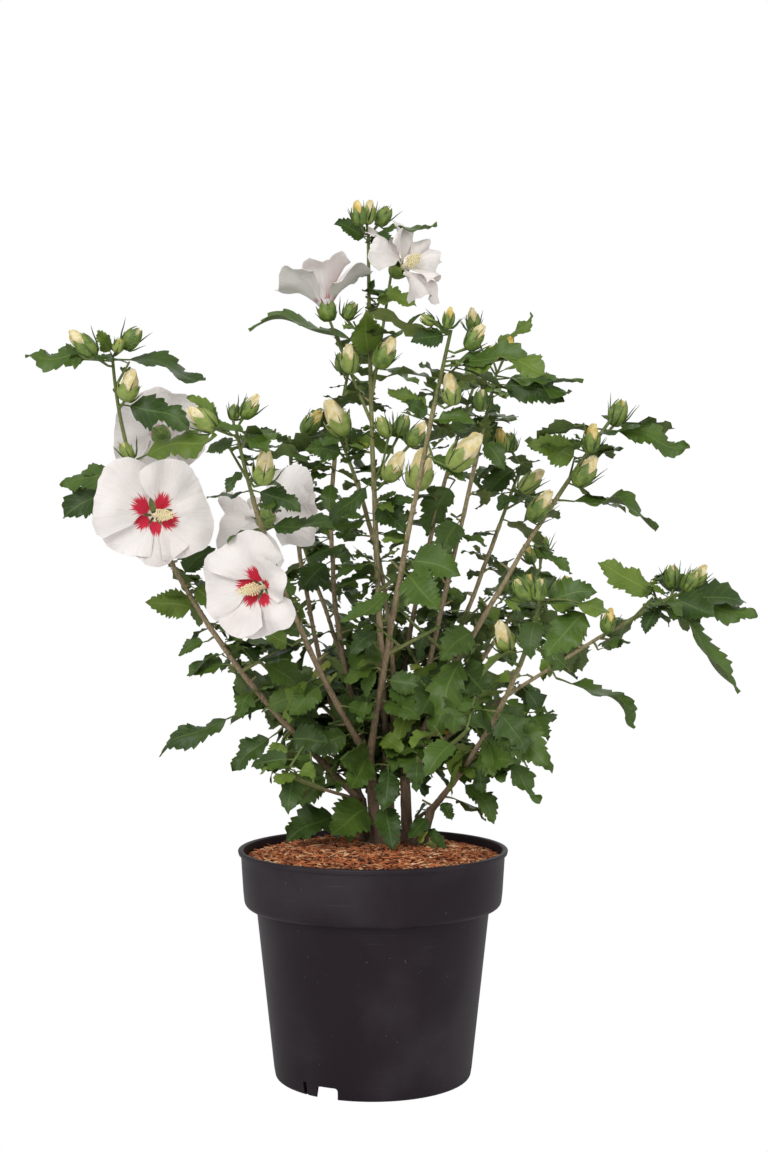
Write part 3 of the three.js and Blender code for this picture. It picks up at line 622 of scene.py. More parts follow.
PLACED_BUDS: dict[str, tuple[PlacedBud, ...]] = {
    "far_left": (
        PlacedBud((111, 367), (95, 357), (70, 331), -15, "R"),
        PlacedBud((113, 356), (124, 348), (140, 328), -10, "T"),
        PlacedBud((113, 356), (116, 352), (121, 338), -20, "T"),
        PlacedBud((121, 404), (125, 401), (133, 369), -14, "F"),
        PlacedBud((134, 462), (131, 460), (122, 442), -10, "T"),
    ),
    "front_left": (
        PlacedBud((236, 436), (216, 429), (188, 408), -12, "R"),
        PlacedBud((236, 430), (243, 418), (258, 395), -10, "R"),
        PlacedBud((236, 430), (233, 420), (236, 404), 10, "T"),
        PlacedBud((246, 478), (262, 485), (266, 448), -20, "F"),
    ),
    "back_left": (
        PlacedBud((290, 442), (303, 434), (321, 411), -10, "R"),
    ),
    "leader_fork": (
        PlacedBud((350, 458), (345, 436), (327, 400), -15, "F"),
    ),
    "leader": (
        PlacedBud((364, 382), (350, 374), (349, 344), -18, "R"),
        PlacedBud((364, 374), (377, 368), (394, 338), -15, "R"),
        PlacedBud((366, 234), (360, 226), (357, 200), -14, "R"),
        PlacedBud((366, 234), (367, 224), (371, 200), -4, "R"),
        PlacedBud((366, 236), (378, 225), (390, 207), 6, "T"),
        PlacedBud((364, 336), (345, 319), (356, 302), -8, "T"),
        PlacedBud((370, 482), (389, 437), (378, 416), -5, "T"),
        PlacedBud((370, 482), (398, 437), (406, 414), 5, "T"),
        PlacedBud((370, 482), (409, 446), (425, 422), -8, "R"),
        PlacedBud((371, 490), (386, 481), (403, 452), -20, "F"),
    ),
    "front_middle": (
        PlacedBud((414, 520), (416, 490), (426, 448), 14, "F"),
        PlacedBud((451, 334), (447, 328), (451, 307), -12, "R"),
        PlacedBud((449, 336), (434, 323), (420, 317), -6, "T"),
        PlacedBud((448, 350), (467, 349), (484, 325), -8, "R"),
        PlacedBud((437, 402), (453, 405), (449, 373), -8, "F"),
        PlacedBud((425, 440), (450, 469), (481, 434), -15, "F"),
    ),
    "inner_right": (
        PlacedBud((495, 376), (474, 332), (472, 308), -30, "R"),
        PlacedBud((495, 376), (503, 360), (512, 337), -10, "R"),
        PlacedBud((489, 400), (480, 411), (482, 388), -30, "T"),
    ),
    "back_middle": (
        PlacedBud((462, 424), (504, 452), (499, 429), -40, "R"),
        PlacedBud((479, 378), (486, 366), (490, 346), 10, "R"),
    ),
    "right": (
        PlacedBud((604, 434), (614, 426), (623, 399), 4, "T"),
        PlacedBud((598, 442), (590, 452), (594, 424), -16, "R"),
        PlacedBud((580, 470), (576, 486), (596, 457), -12, "R"),
        PlacedBud((556, 500), (521, 492), (543, 470), 12, "R"),
        PlacedBud((545, 515), (530, 521), (551, 491), -16, "R"),
    ),
    "far_right": (
        PlacedBud((668, 602), (674, 588), (671, 564), 0, "T"),
        PlacedBud((668, 602), (684, 591), (697, 571), -8, "T"),
        PlacedBud((668, 602), (693, 586), (706, 565), 6, "R"),
        PlacedBud((666, 604), (672, 618), (677, 606), -18, "T"),
        PlacedBud((603, 641), (606, 633), (611, 608), -12, "R"),
    ),
    "front_right": (
        PlacedBud((540, 602), (530, 600), (515, 578), -8, "T"),
        PlacedBud((540, 602), (533, 599), (528, 573), 4, "T"),
        PlacedBud((540, 602), (538, 600), (541, 577), -12, "T"),
        PlacedBud((538, 606), (553, 597), (568, 577), 6, "R"),
        PlacedBud((512, 664), (508, 652), (499, 621), -14, "F"),
    ),
    "back_right": (
        PlacedBud((521, 464), (512, 452), (508, 432), 10, "T"),
    ),
    "inner_left": (
        PlacedBud((350, 380), (343, 372), (341, 352), 10, "T"),
    ),
}

# Shares of the turn from level to facing the front: on edge, half and full.
FACINGS = {"e": 0.22, "h": 0.5, "f": 0.85}
LAYERS = {"leaves_lower": (0.0, 430.0), "leaves_middle": (430.0, 600.0), "leaves_upper": (600.0, 1e4)}
BROAD_BELOW = 500.0  # height under which most leaves are broad
LOW_FORMS = (Form.BROAD, Form.BROAD, Form.OVATE, Form.HASTATE, Form.BROAD, Form.OVATE)
HIGH_FORMS = (Form.NARROW, Form.BROAD, Form.HASTATE, Form.OVATE)


# ---------------------------------------------------------------- small tools


class Dice:
    """A repeatable source of numbers, the same as the solids use."""

    def __init__(self, seed: int) -> None:
        """Starts from a seed, past its first few rolls."""
        self.state = seed
        for _ in range(4):
            self.roll()

    def roll(self) -> float:
        """The next number from 0 to 1."""
        self.state = (self.state * 48271) % 2147483647
        return self.state / 2147483647

    def between(self, low: float, high: float) -> float:
        """The next number from low to high."""
        return low + (high - low) * self.roll()


def seed_of(kind: str, index: int) -> int:
    """The seed of the growth of one kind that has this place in its list."""
    first, step = SEEDS[kind]
    return first + step * index


def vec(*xyz: float) -> Point:
    """A point or direction from its three numbers."""
    return np.array(xyz, float)


def unit(direction: Point) -> Point:
    """The same direction, of length one."""
    return direction / max(float(np.linalg.norm(direction)), 1e-12)


def level(heading: float) -> Point:
    """The level direction of a compass heading in radians."""
    return vec(math.cos(heading), math.sin(heading), 0)


def smooth(share: float | Point) -> float | Point:
    """Eases a share from 0 to 1, flat at both ends."""
    held = np.clip(share, 0, 1)
    return held * held * (3 - 2 * held)


def part_way(span: Sequence[float], share: float | Point) -> float | Point:
    """The number at a share of the way from one end of a span to the other."""
    return span[0] + (span[1] - span[0]) * share


def apart(places: np.ndarray, others: np.ndarray) -> np.ndarray:
    """The distance from each of some places to each of some others."""
    return np.linalg.norm(places[:, None] - others[None], axis=2)


def around(frame: tuple[Point, Point], turn: float) -> Point:
    """The direction at a turn in radians, in a frame of two directions square to an axis."""
    return frame[0] * math.cos(turn) + frame[1] * math.sin(turn)


def square_to(direction: Point) -> tuple[Point, Point]:
    """Two directions square to one and to each other.

    Args:
        direction: The direction that both stand square to.

    Returns:
        The two directions, each of length one.
    """
    along = unit(direction)
    other = vec(1, 0.2, 0) if abs(along[2]) > 0.4 else UP
    across = unit(np.cross(other, along))
    return across, np.cross(along, across)


def turning(first: Point, second: Point) -> np.ndarray:
    """The turn that brings one direction onto another, as a matrix.

    Args:
        first: The direction that is turned.
        second: The direction that it comes to.

    Returns:
        The matrix of the turn.
    """
    start, end = unit(first), unit(second)
    x, y, z = np.cross(start, end)
    spin = np.array([[0, -z, y], [z, 0, -x], [-y, x, 0]])
    return np.eye(3) + spin + spin @ spin / (1 + float(start @ end))


def ruffle(place: Point, scale: float) -> float:
    """Smooth noise from -1 to 1 at a place, whose waves are about scale long."""
    return noise.noise(Vector(place / scale))


# ---------------------------------------------------------------- the growing rule


def on_stem(stem: Stem, share: float) -> Point:
    """The place on a stem at a share of its length, from its fork to its tip.

    Args:
        stem: The stem.
        share: Share of its length, from its fork to its tip.

    Returns:
        The place.
    """
    fork, tip = np.array(TRUNKS[stem.trunk].fork, float), np.array(stem.tip, float)
    swell = 4 * share * (1 - share)
    return fork + (tip - fork) * share + vec(stem.belly[0] * swell, stem.belly[1] * swell, 0)


def bearer_point(bearer: Stem | Trunk, share: float) -> Point:
    """The place on a stem or a trunk at a share of its length."""
    if isinstance(bearer, Stem):
        return on_stem(bearer, share)
    return vec(*bearer.foot, GROUND) * (1 - share) + np.array(bearer.fork, float) * share


def stem_radius(stem: Stem, share: float) -> float:
    """A stem's radius at a share of its length."""
    return stem.radius + (STEM.tip_radius - stem.radius) * share**STEM.taper


def stem_length(stem: Stem) -> float:
    """The straight distance from a stem's fork to its tip."""
    return float(np.linalg.norm(on_stem(stem, 1) - on_stem(stem, 0)))


@dataclass(frozen=True)
class Sight:
    """The level sight of the shrub from the front, through which listed places are set.

    A spot of it counts steps across and down from its upper left corner.
    """

    eye: Triple = (11.4, -1820.0, 517.6)
    middle: Spot = (384, 576)
    steps: float = 1750.0  # across, for each millimetre at a millimetre from the eye

    def place(self, spot: Spot, depth: float) -> Point:
        """The place that a spot shows at a depth.

        Args:
            spot: The spot.
            depth: How far back the place lies, along the frame's y.

        Returns:
            The place.
        """
        step = (depth - self.eye[1]) / self.steps
        across, down = spot[0] - self.middle[0], spot[1] - self.middle[1]
        return vec(self.eye[0] + across * step, depth, self.eye[2] - down * step)

    def spots(self, places: np.ndarray) -> np.ndarray:
        """The spots that show places.

        Args:
            places: Rows of places.

        Returns:
            A row across and down for each.
        """
        step = (places[:, 1] - self.eye[1]) / self.steps
        across, up = (places[:, 0] - self.eye[0]) / step, (places[:, 2] - self.eye[2]) / step
        return np.stack([self.middle[0] + across, self.middle[1] - up], 1)

    def leaving(self, bearer: str, spot: Spot) -> tuple[Point, float]:
        """The place on a limb that shows nearest to a spot, and how many steps it stands off it.

        Args:
            bearer: The name of the stem or trunk.
            spot: The spot.

        Returns:
            The place on the limb, and its distance from the spot in steps.
        """
        places = limb_line(bearer)
        apart = np.linalg.norm(self.spots(places) - spot, axis=1)
        return places[int(apart.argmin())], float(apart.min())

    def bud_ends(self, bearer: str, bud: PlacedBud) -> tuple[Point, Point, Point]:
        """Where a bud's stalk leaves its limb, where the bud begins, and where it ends.

        Args:
            bearer: The name of the stem that bears it.
            bud: The bud.

        Returns:
            The three places.
        """
        root, _ = self.leaving(bearer, bud.stalk)
        foot = self.place(bud.foot, root[1] + bud.deeper)
        return root, foot, self.place(bud.tip, root[1] + bud.deeper * 1.3)


SIGHT = Sight()


@cache
def limb_line(name: str) -> np.ndarray:
    """Close places along the stem of a name, or the trunk where no stem has it."""
    bearer = next((stem for stem in STEMS if stem.name == name), TRUNKS.get(name))
    return np.array([bearer_point(bearer, share) for share in np.linspace(0, 1, 401)])


@dataclass
class Twig:
    """A thin limb: the points that it runs through, with its radius at each, and how young its wood is."""

    line: np.ndarray
    radii: np.ndarray
    age: Span = (0.8, 1.0)


@dataclass
class Leaf:
    """A leaf as the rule places it: its root, the way it leaves the twig, its length and how it hangs."""

    root: Point
    direction: Point
    length: float
    droop: float
    roll: float
    twig: int = 0
    small: bool = False
    reach: Point | None = None  # from root to tip, where that is given


@dataclass
class BudPlace:
    """A bud as the rule places it: where its stalk leaves the twig, its direction, stalk and size."""

    root: Point
    direction: Point
    stalk: float
    size: float


@dataclass
class Mass:
    """One mass of foliage: its twigs, leaves and buds, and its blossom where it bears one."""

    name: str
    twigs: list[Twig] = field(default_factory=list)
    leaves: list[Leaf] = field(default_factory=list)
    buds: list[BudPlace] = field(default_factory=list)
    blossom: Blossom | None = None
    calyx: Point | None = None
    spine: np.ndarray | None = None


class Grower:
    """Grows every mass of the shrub by the rule that its solids follow, and the finer growth past it."""

    def outward(self, along: Point, heading: float, pitch: float) -> Point:
        """A level heading turned part of the way to stand square to a twig, then lifted.

        Args:
            along: The twig's direction.
            heading: The compass heading, in radians.
            pitch: How far above level the result points, in radians.

        Returns:
            The direction, of length one.
        """
        flat = level(heading)
        direction = unit(flat - along * SPRAY.squaring * float(flat @ along))
        return unit(direction * math.cos(pitch) + UP * math.sin(pitch))

    def bud(self, root: Point, heading: float, lean: float, dice: Dice) -> BudPlace:
        """A bud on a stalk that leans from upright towards a heading."""
        direction = level(heading) * math.sin(lean) + UP * math.cos(lean)
        return BudPlace(root, direction, dice.between(*BUD.stalk), dice.between(*BUD.size))

    def side_twig(
        self, mass: Mass, root: Point, along: Point, heading: float, leaf: Span, dice: Dice
    ) -> None:
        """Adds a side twig to a mass, with its leaves fanned round it from the tip down.

        Args:
            mass: The mass that it joins.
            root: Where it leaves the spray's own stem.
            along: The stem's direction there.
            heading: The twig's compass heading, in radians.
            leaf: Least and greatest length of the spray's own leaves.
            dice: The spray's source of numbers.
        """
        direction = self.outward(along, heading, dice.between(*SIDE_TWIG.rise))
        end = root + direction * dice.between(*SIDE_TWIG.length)
        line = np.array([root, (root + end) / 2, end])
        mass.twigs.append(Twig(line, np.array(SIDE_TWIG.radii), SIDE_TWIG.age))
        for k in range(SIDE_TWIG.leaves):
            side = heading + (k - 1) * SIDE_TWIG.fan + dice.between(-SPRAY.stray, SPRAY.stray)
            share = SIDE_TWIG.first_leaf - SIDE_TWIG.leaf_step * k
            rise = dice.between(*SIDE_TWIG.leaf_rise)
            length = dice.between(*leaf) * SIDE_TWIG.leaf_share
            droop = dice.between(*LEAF_DROOP)
            roll = dice.between(-LEAF_ROLL, LEAF_ROLL)
            place = root + (end - root) * share
            way = self.outward(direction, side, rise)
            mass.leaves.append(Leaf(place, way, length, droop, roll, len(mass.twigs) - 1))

    def spray(
        self,
        name: str,
        axis: Callable[[float], Point],
        radius: Span,
        leaves: int,
        leaf: Span,
        buds: int,
        heading: float,
        seed: int,
    ) -> Mass:
        """Grows one spray along an axis.

        Args:
            name: The mass's name.
            axis: Gives the place at a share of the spray's length.
            radius: The spray's stem at its foot and at its tip.
            leaves: How many leaves stand on the stem.
            leaf: Their least and greatest length.
            buds: How many buds stand at the outer end.
            heading: Compass heading of the outermost leaf, in degrees.
            seed: Starts the spray's source of numbers.

        Returns:
            The mass, with its twigs, leaves and buds.
        """
        dice = Dice(seed)
        mass = Mass(name)
        shares = np.linspace(0, 1, 4 * SPRAY.pieces + 1)
        line = np.array([axis(share) for share in shares])
        mass.twigs.append(Twig(line, part_way(radius, shares)))
        mass.spine = line[:: len(line) // SPRAY.pieces]
        step = 1 / (leaves + SPRAY.bare_tip)
        for i in range(leaves):
            share = (i + SPRAY.first_leaf) * step
            along = unit(axis(share + SPRAY.probe) - axis(share - SPRAY.probe))
            outermost = i == leaves - 1
            turn = math.radians(heading) + (leaves - 1 - i) * DIVERGENCE
            turn += dice.between(-SPRAY.stray, SPRAY.stray)
            direction = self.outward(along, turn, dice.between(*SPRAY.rise))
            length = leaf[1] * OUTERMOST_LENGTH if outermost else dice.between(*leaf)
            droop = OUTERMOST_DROOP if outermost else dice.between(*LEAF_DROOP)
            roll = dice.between(-LEAF_ROLL, LEAF_ROLL)
            mass.leaves.append(Leaf(axis(share), direction, length, droop, roll))
            if leaves - i < buds:
                foot = axis(share + SPRAY.bud * step)
                mass.buds.append(self.bud(foot, turn, dice.between(*BUD.lean), dice))
            elif i % SIDE_TWIG.every == 1:
                foot = axis(share + SPRAY.side_twig * step)
                self.side_twig(mass, foot, along, turn + SIDE_TWIG.turn, leaf, dice)
        if buds > 0:
            mass.buds.append(self.bud(axis(BUD.tip_share), math.radians(heading), BUD.tip_lean, dice))
        return mass

    def tip_spray(self, stem: Stem, index: int) -> Mass:
        """The leafy end of a stem."""
        start = stem.spray + 2 * GAP / stem_length(stem)
        return self.spray(
            "spray_" + stem.name,
            lambda share: on_stem(stem, start + (1 - start) * share),
            (stem_radius(stem, stem.spray), SPRAY.tip_radius),
            stem.leaves,
            stem.leaf,
            stem.buds,
            stem.heading,
            seed_of("spray", index),
        )

    def room_around(self, line: Sequence[Point], bearer: Stem) -> float:
        """Least distance from the points of a line to the other stems' middle lines.

        Args:
            line: The points.
            bearer: The stem that is left out.

        Returns:
            The distance.
        """
        shares = np.arange(0, 1.001, SHOOT.probe_step)
        others = [on_stem(stem, share) for stem in STEMS if stem is not bearer for share in shares]
        return float(apart(np.array(line), np.array(others)).min())

    def side_shoot(self, stem: Stem, index: int) -> Mass:
        """The leafy side shoot of a stem, turned until it has room.

        Args:
            stem: The stem that bears it.
            index: The stem's place in its list.

        Returns:
            The shoot's mass.
        """
        dice = Dice(seed_of("shoot", index))
        root = on_stem(stem, dice.between(*SHOOT.at))
        rise = math.radians(dice.between(*SHOOT.rise))
        length = dice.between(*SHOOT.length)
        heading = math.radians(stem.heading) + DIVERGENCE

        def to_end(share: float) -> Point:
            """The place at a share of the shoot's length."""
            reach = share * length
            return root + level(heading) * reach * math.cos(rise) + UP * reach * math.sin(rise)

        for _ in range(SHOOT.turns):
            if self.room_around([to_end(share) for share in SHOOT.probes], stem) >= SHOOT.room:
                break
            heading += DIVERGENCE
        fan = math.degrees(heading) + SHOOT.fan
        seed = seed_of("shoot_spray", index)
        return self.spray("shoot_" + stem.name, to_end, SHOOT.radius, SHOOT.leaves, SHOOT.leaf, 0, fan, seed)

    def blossom_shoot(self, blossom: Blossom, index: int) -> Mass:
        """A blossom on its own stalk, with a few leaves at the stalk's foot.

        Args:
            blossom: The blossom.
            index: Its place in its list.

        Returns:
            The mass, with the blossom and its calyx.
        """
        rule = BLOSSOM_SHOOT
        bearer = next(stem for stem in STEMS if stem.name == blossom.stem)
        root = on_stem(bearer, blossom.at)
        throat = np.array(blossom.throat, float)
        calyx = throat - blossom.axis * rule.calyx_depth
        bend = (root + calyx) / 2 - UP * rule.sag

        def axis(share: float) -> Point:
            """The place at a share of the bent stalk."""
            first, second = root + (bend - root) * share, bend + (calyx - bend) * share
            return first + (second - first) * share

        heading = rule.first_heading + rule.heading_step * index
        seed = seed_of("blossom", index)
        mass = self.spray(blossom.name, axis, rule.radius, rule.leaves, rule.leaf, 0, heading, seed)
        mass.blossom, mass.calyx = blossom, calyx
        mass.spine = np.vstack([mass.spine, throat])
        return mass

    def masses(self) -> list[Mass]:
        """Every mass, in the order in which the solids take their space.

        Returns:
            The masses.
        """
        grown = [self.blossom_shoot(blossom, i) for i, blossom in enumerate(BLOSSOMS)]
        grown += [self.tip_spray(stem, i) for i, stem in enumerate(STEMS)]
        grown += [self.side_shoot(stem, i) for i, stem in enumerate(STEMS) if stem.shoot]
        return grown

    def tufts(self, mass: Mass, dice: Dice) -> None:
        """Adds small leaves in the axils of some of a mass's own leaves.

        Args:
            mass: The mass.
            dice: Its source of numbers.
        """
        for leaf in list(mass.leaves):
            if dice.roll() > TUFT.share:
                continue
            heading = math.atan2(leaf.direction[1], leaf.direction[0])
            for k in range(TUFT.leaves):
                turn = heading + (k - 0.5) * TUFT.fan + dice.between(-TUFT.stray, TUFT.stray)
                way = unit(level(turn) + UP * dice.between(*TUFT.rise))
                length = dice.between(*TUFT.leaf)
                droop, roll = dice.between(*TUFT.droop), dice.between(-LEAF_ROLL, LEAF_ROLL)
                root = leaf.root + UP * dice.between(*TUFT.lift)
                mass.leaves.append(Leaf(root, way, length, droop, roll, leaf.twig, small=True))

    def spurs(self, bearer: Stem | Trunk, index: int) -> Mass:
        """The short leafy spurs that stand along a stem's or trunk's wood, turned by the divergence.

        Args:
            bearer: The stem or trunk that bears them.
            index: Its place among all of them.

        Returns:
            A mass of the spurs and their leaves.
        """
        dice = Dice(seed_of("spur", index))
        mass = Mass(f"spurs_{index}")
        on_wood = isinstance(bearer, Stem)
        share, end = (SPUR.start, bearer.spray - SPUR.stop) if on_wood else (SPUR.trunk_start, 1.0)
        length = float(np.linalg.norm(bearer_point(bearer, 1) - bearer_point(bearer, 0)))
        heading = index * DIVERGENCE
        while share < end:
            heading += DIVERGENCE + dice.between(-SPRAY.stray, SPRAY.stray)
            here = bearer_point(bearer, share)
            along = unit(bearer_point(bearer, share + SPUR.probe) - here)
            thick = stem_radius(bearer, share) if on_wood else bearer.radius[1]
            high = SPUR.thinned(here[2])
            leaf = [part_way(ends, high) for ends in zip(SPUR.low_leaf, SPUR.high_leaf)]
            way = self.outward(along, heading, dice.between(*SPUR.rise))
            root = here + way * thick * SPUR.sunk
            end_point = root + way * dice.between(*SPUR.length)
            mass.twigs.append(Twig(np.array([root, end_point]), np.array(SPUR.radii), SPUR.age))
            count = SPUR.leaves[0] + int(dice.roll() * (SPUR.leaves[1] - SPUR.leaves[0] + 1))
            for k in range(count):
                turn = heading + (k - (count - 1) / 2) * SPUR.fan + dice.between(-SPUR.stray, SPUR.stray)
                direction = unit(level(turn) + UP * dice.between(*SPUR.leaf_rise))
                droop, roll = dice.between(*LEAF_DROOP), dice.between(-LEAF_ROLL, LEAF_ROLL)
                place = root + (end_point - root) * (1 - SPUR.leaf_step * k)
                size = dice.between(*leaf)
                mass.leaves.append(Leaf(place, direction, size, droop, roll, len(mass.twigs) - 1, True))
            share += part_way(SPUR.spacing, high) * dice.between(*SPUR.uneven) / length
        return mass


class Limbs:
    """The woody limbs, for keeping leaves off them."""

    PLACES = 81  # along each stem

    def __init__(self) -> None:
        """Samples every stem's middle line."""
        shares = np.linspace(0, 1, self.PLACES)
        self.places = np.array([on_stem(stem, share) for stem in STEMS for share in shares])
        self.radii = np.array([stem_radius(stem, share) for stem in STEMS for share in shares])

    def touched_by(self, line: np.ndarray, clear: float) -> bool:
        """Whether a line comes nearer to a limb's surface than clear."""
        return bool((apart(line, self.places) < self.radii[None, :] + clear).any())


class CrownGaps:
    """The room that leaves keep clear, from the front: gaps in the crown, limbs, buds and blossoms."""

    PETAL_SHARE = 0.75  # of a blossom's reach, all round its throat
    SEEN_SHARE = 0.95  # of its reach, as it looks from the front
    STEMS_SHOW = 420.0  # height above which the stems show
    FRONT_STEMS = {
        "front_left": 295.0,
        "far_left": 320.0,
        "front_middle": 335.0,
        "leader": 350.0,
        "right": 380.0,
        "front_right": 330.0,
        "far_right": 330.0,
    }  # the same for those in front
    STEM_ROOM = 5.3  # steps to either side of a stem's line
    STEM_SHARES = (0.02, 0.06, 0.015)  # where its line starts, how far it runs into the spray, and its step
    TRUNK_SHARES = np.linspace(0.05, 0.7, 8)
    BUD_ROOM = 0.5  # of its length, round a bud
    BEFORE_STEM = 2.0  # how far in front of a stem's line leaves begin to hide it
    BEHIND_BUD = 3.0  # how far behind a bud's middle they still crowd it
    BEHIND_THROAT = 12.0  # the same for a blossom's throat

    def __init__(self) -> None:
        """Works out where the limbs and the listed buds appear from the front."""
        first, past, step = self.STEM_SHARES
        limbs = [
            place
            for stem in STEMS
            for place in (on_stem(stem, share) for share in np.arange(first, stem.spray + past, step))
            if place[2] > self.FRONT_STEMS.get(stem.name, self.STEMS_SHOW)
        ]
        limbs += [bearer_point(trunk, share) for trunk in TRUNKS.values() for share in self.TRUNK_SHARES]
        ends = [
            SIGHT.bud_ends(name, bud) for name, buds in PLACED_BUDS.items() for bud in buds if bud.kind != "T"
        ]
        self.stems = np.array(limbs)
        self.lines = SIGHT.spots(self.stems)
        self.buds = np.array([(foot + tip) / 2 for _, foot, tip in ends])
        self.bud_lines = SIGHT.spots(self.buds)
        self.bud_rooms = np.array([np.linalg.norm(foot - tip) for _, foot, tip in ends]) * self.BUD_ROOM
        self.gaps = np.array(CROWN_GAPS, float)

    def share_inside(self, points: np.ndarray) -> float:
        """The share of points that stand in a gap, before a limb or bud, or in or before a blossom.

        Args:
            points: Points of a leaf.

        Returns:
            The share, from 0 to 1.
        """
        flat = SIGHT.spots(points)
        inside = (apart(flat, self.gaps[:, :2]) < self.gaps[:, 2]).any(axis=1)
        before = points[:, None, 1] < self.stems[None, :, 1] - self.BEFORE_STEM
        inside |= ((apart(flat, self.lines) < self.STEM_ROOM) & before).any(axis=1)
        before = points[:, None, 1] < self.buds[None, :, 1] + self.BEHIND_BUD
        inside |= ((apart(flat, self.bud_lines) < self.bud_rooms) & before).any(axis=1)
        for blossom in BLOSSOMS:
            throat = np.array(blossom.throat, float)
            inside |= np.linalg.norm(points - throat, axis=1) < blossom.reach * self.PETAL_SHARE
            if blossom.in_view:
                beside = np.linalg.norm(flat - SIGHT.spots(throat[None])[0], axis=1)
                before = points[:, 1] < throat[1] + self.BEHIND_THROAT
                inside |= (beside < blossom.reach * self.SEEN_SHARE) & before
        return float(inside.mean())


# ---------------------------------------------------------------- meshes gathered from arrays


@dataclass
class Gathering:
    """Points, faces and their looks, gathered for one joined piece."""

    points: list[np.ndarray] = field(default_factory=list)
    faces: list[Face] = field(default_factory=list)
    looks: list[int] = field(default_factory=list)
    uvs: list[np.ndarray] = field(default_factory=list)
    ages: list[np.ndarray] = field(default_factory=list)
    count: int = 0

    def add(
        self,
        points: np.ndarray,
        faces: Iterable[Face],
        looks: int | Sequence[int] = 0,
        uvs: np.ndarray | None = None,
        ages: float | np.ndarray = 0.0,
    ) -> None:
        """Adds one shape.

        Args:
            points: Its vertices, in millimetres.
            faces: Its faces, by their own vertices' numbers.
            looks: The material number of all its faces, or of each.
            uvs: A pair for each vertex, where a pattern follows the surface.
            ages: How young its wood is, for all its vertices or for each.
        """
        own = [tuple(corner + self.count for corner in face) for face in faces]
        self.faces += own
        self.looks += [looks] * len(own) if isinstance(looks, int) else list(looks)
        self.points.append(points)
        self.uvs.append(np.zeros((len(points), 2)) if uvs is None else uvs)
        self.ages.append(np.full(len(points), ages) if isinstance(ages, (int, float)) else ages)
        self.count += len(points)

    def build(self, name: str, materials: Sequence[Material], angle: float) -> Piece:
        """Makes the joined piece.

        Args:
            name: The piece's name.
            materials: Its materials, by the numbers that the faces hold.
            angle: Edges sharper than this many degrees stay sharp.

        Returns:
            The piece, at the origin, in metres.
        """
        mesh = bpy.data.meshes.new(name)
        mesh.from_pydata(np.concatenate(self.points) * MM, [], self.faces)
        mesh.polygons.foreach_set("material_index", self.looks)
        corners = np.zeros(len(mesh.loops), np.int64)
        mesh.loops.foreach_get("vertex_index", corners)
        layer = mesh.uv_layers.new(name="surface")
        layer.data.foreach_set("uv", np.concatenate(self.uvs)[corners].astype(np.float32).ravel())
        age = mesh.attributes.new("age", "FLOAT", "POINT")
        age.data.foreach_set("value", np.concatenate(self.ages).astype(np.float32))
        for material in materials:
            mesh.materials.append(material)
        piece = bpy.data.objects.new(name, mesh)
        bpy.context.scene.collection.objects.link(piece)
        Bench.smooth(piece, angle)
        return piece


class Bench:
    """Picks pieces up and puts them down, so that an operator acts on one of them alone."""

    @staticmethod
    def clear() -> None:
        """Deselects everything."""
        for other in bpy.context.scene.objects:
            other.select_set(False)

    @staticmethod
    def pick(piece: Piece) -> None:
        """Selects one piece alone and makes it active.

        Args:
            piece: The piece.
        """
        Bench.clear()
        piece.select_set(True)
        bpy.context.view_layer.objects.active = piece

    @staticmethod
    def smooth(piece: Piece, angle: float) -> None:
        """Smooths a piece's shading, except where its edges are sharper than an angle in degrees."""
        Bench.pick(piece)
        bpy.ops.object.shade_smooth_by_angle(angle=math.radians(angle))

    @staticmethod
    def lathe(name: str, profile: Sequence[Span], sides: int) -> Piece:
        """Turns a closed solid: a disc is extruded ring by ring along a profile.

        Args:
            name: The piece's name.
            profile: Radius and height of each ring, in millimetres, from the disc that closes the
                underside to the disc that closes the end.
            sides: Corners round each ring.

        Returns:
            The turned piece, at the origin, in metres.
        """
        Bench.clear()
        (radius, height), *rings = profile
        bpy.ops.mesh.primitive_circle_add(
            vertices=sides, radius=radius * MM, fill_type="NGON", location=(0, 0, height * MM)
        )
        piece = bpy.context.active_object
        bpy.ops.object.transform_apply(location=True)
        piece.name = piece.data.name = name
        bpy.ops.object.mode_set(mode="EDIT")
        bpy.ops.mesh.select_all(action="SELECT")
        for next_radius, next_height in rings:
            bpy.ops.mesh.extrude_region_move(
                TRANSFORM_OT_translate={"value": (0, 0, (next_height - height) * MM)}
            )
            factor = next_radius / radius
            bpy.ops.transform.resize(value=(factor, factor, 1), center_override=(0, 0, next_height * MM))
            radius, height = next_radius, next_height
        bpy.ops.mesh.select_all(action="SELECT")
        bpy.ops.mesh.normals_make_consistent(inside=False)
        bpy.ops.object.mode_set(mode="OBJECT")
        return piece

    @staticmethod
    def arc(centre: Span, radius: float, start: float, end: float, steps: int) -> list[Span]:
        """Points of a profile round part of a circle, with angles in degrees from outward to up."""
        angles = np.radians(np.linspace(start, end, steps + 1))
        return [(centre[0] + radius * math.cos(a), centre[1] + radius * math.sin(a)) for a in angles]

    @staticmethod
    def apply_modifiers(piece: Piece) -> None:
        """Applies every modifier of a piece in turn."""
        Bench.pick(piece)
        for modifier in list(piece.modifiers):
            bpy.ops.object.modifier_apply(modifier=modifier.name)


def ring_faces(rings: int, sides: int) -> list[Face]:
    """The faces of a closed limb of rings, which point outwards.

    Args:
        rings: How many rings its points make.
        sides: Corners round each ring.

    Returns:
        The faces between the rings, then the two ends.
    """
    faces: list[Face] = []
    for i in range(rings - 1):
        for k in range(sides):
            a, b = i * sides + k, i * sides + (k + 1) % sides
            faces.append((a, b, b + sides, a + sides))
    last = (rings - 1) * sides
    return faces + [tuple(range(sides - 1, -1, -1)), tuple(range(last, last + sides))]


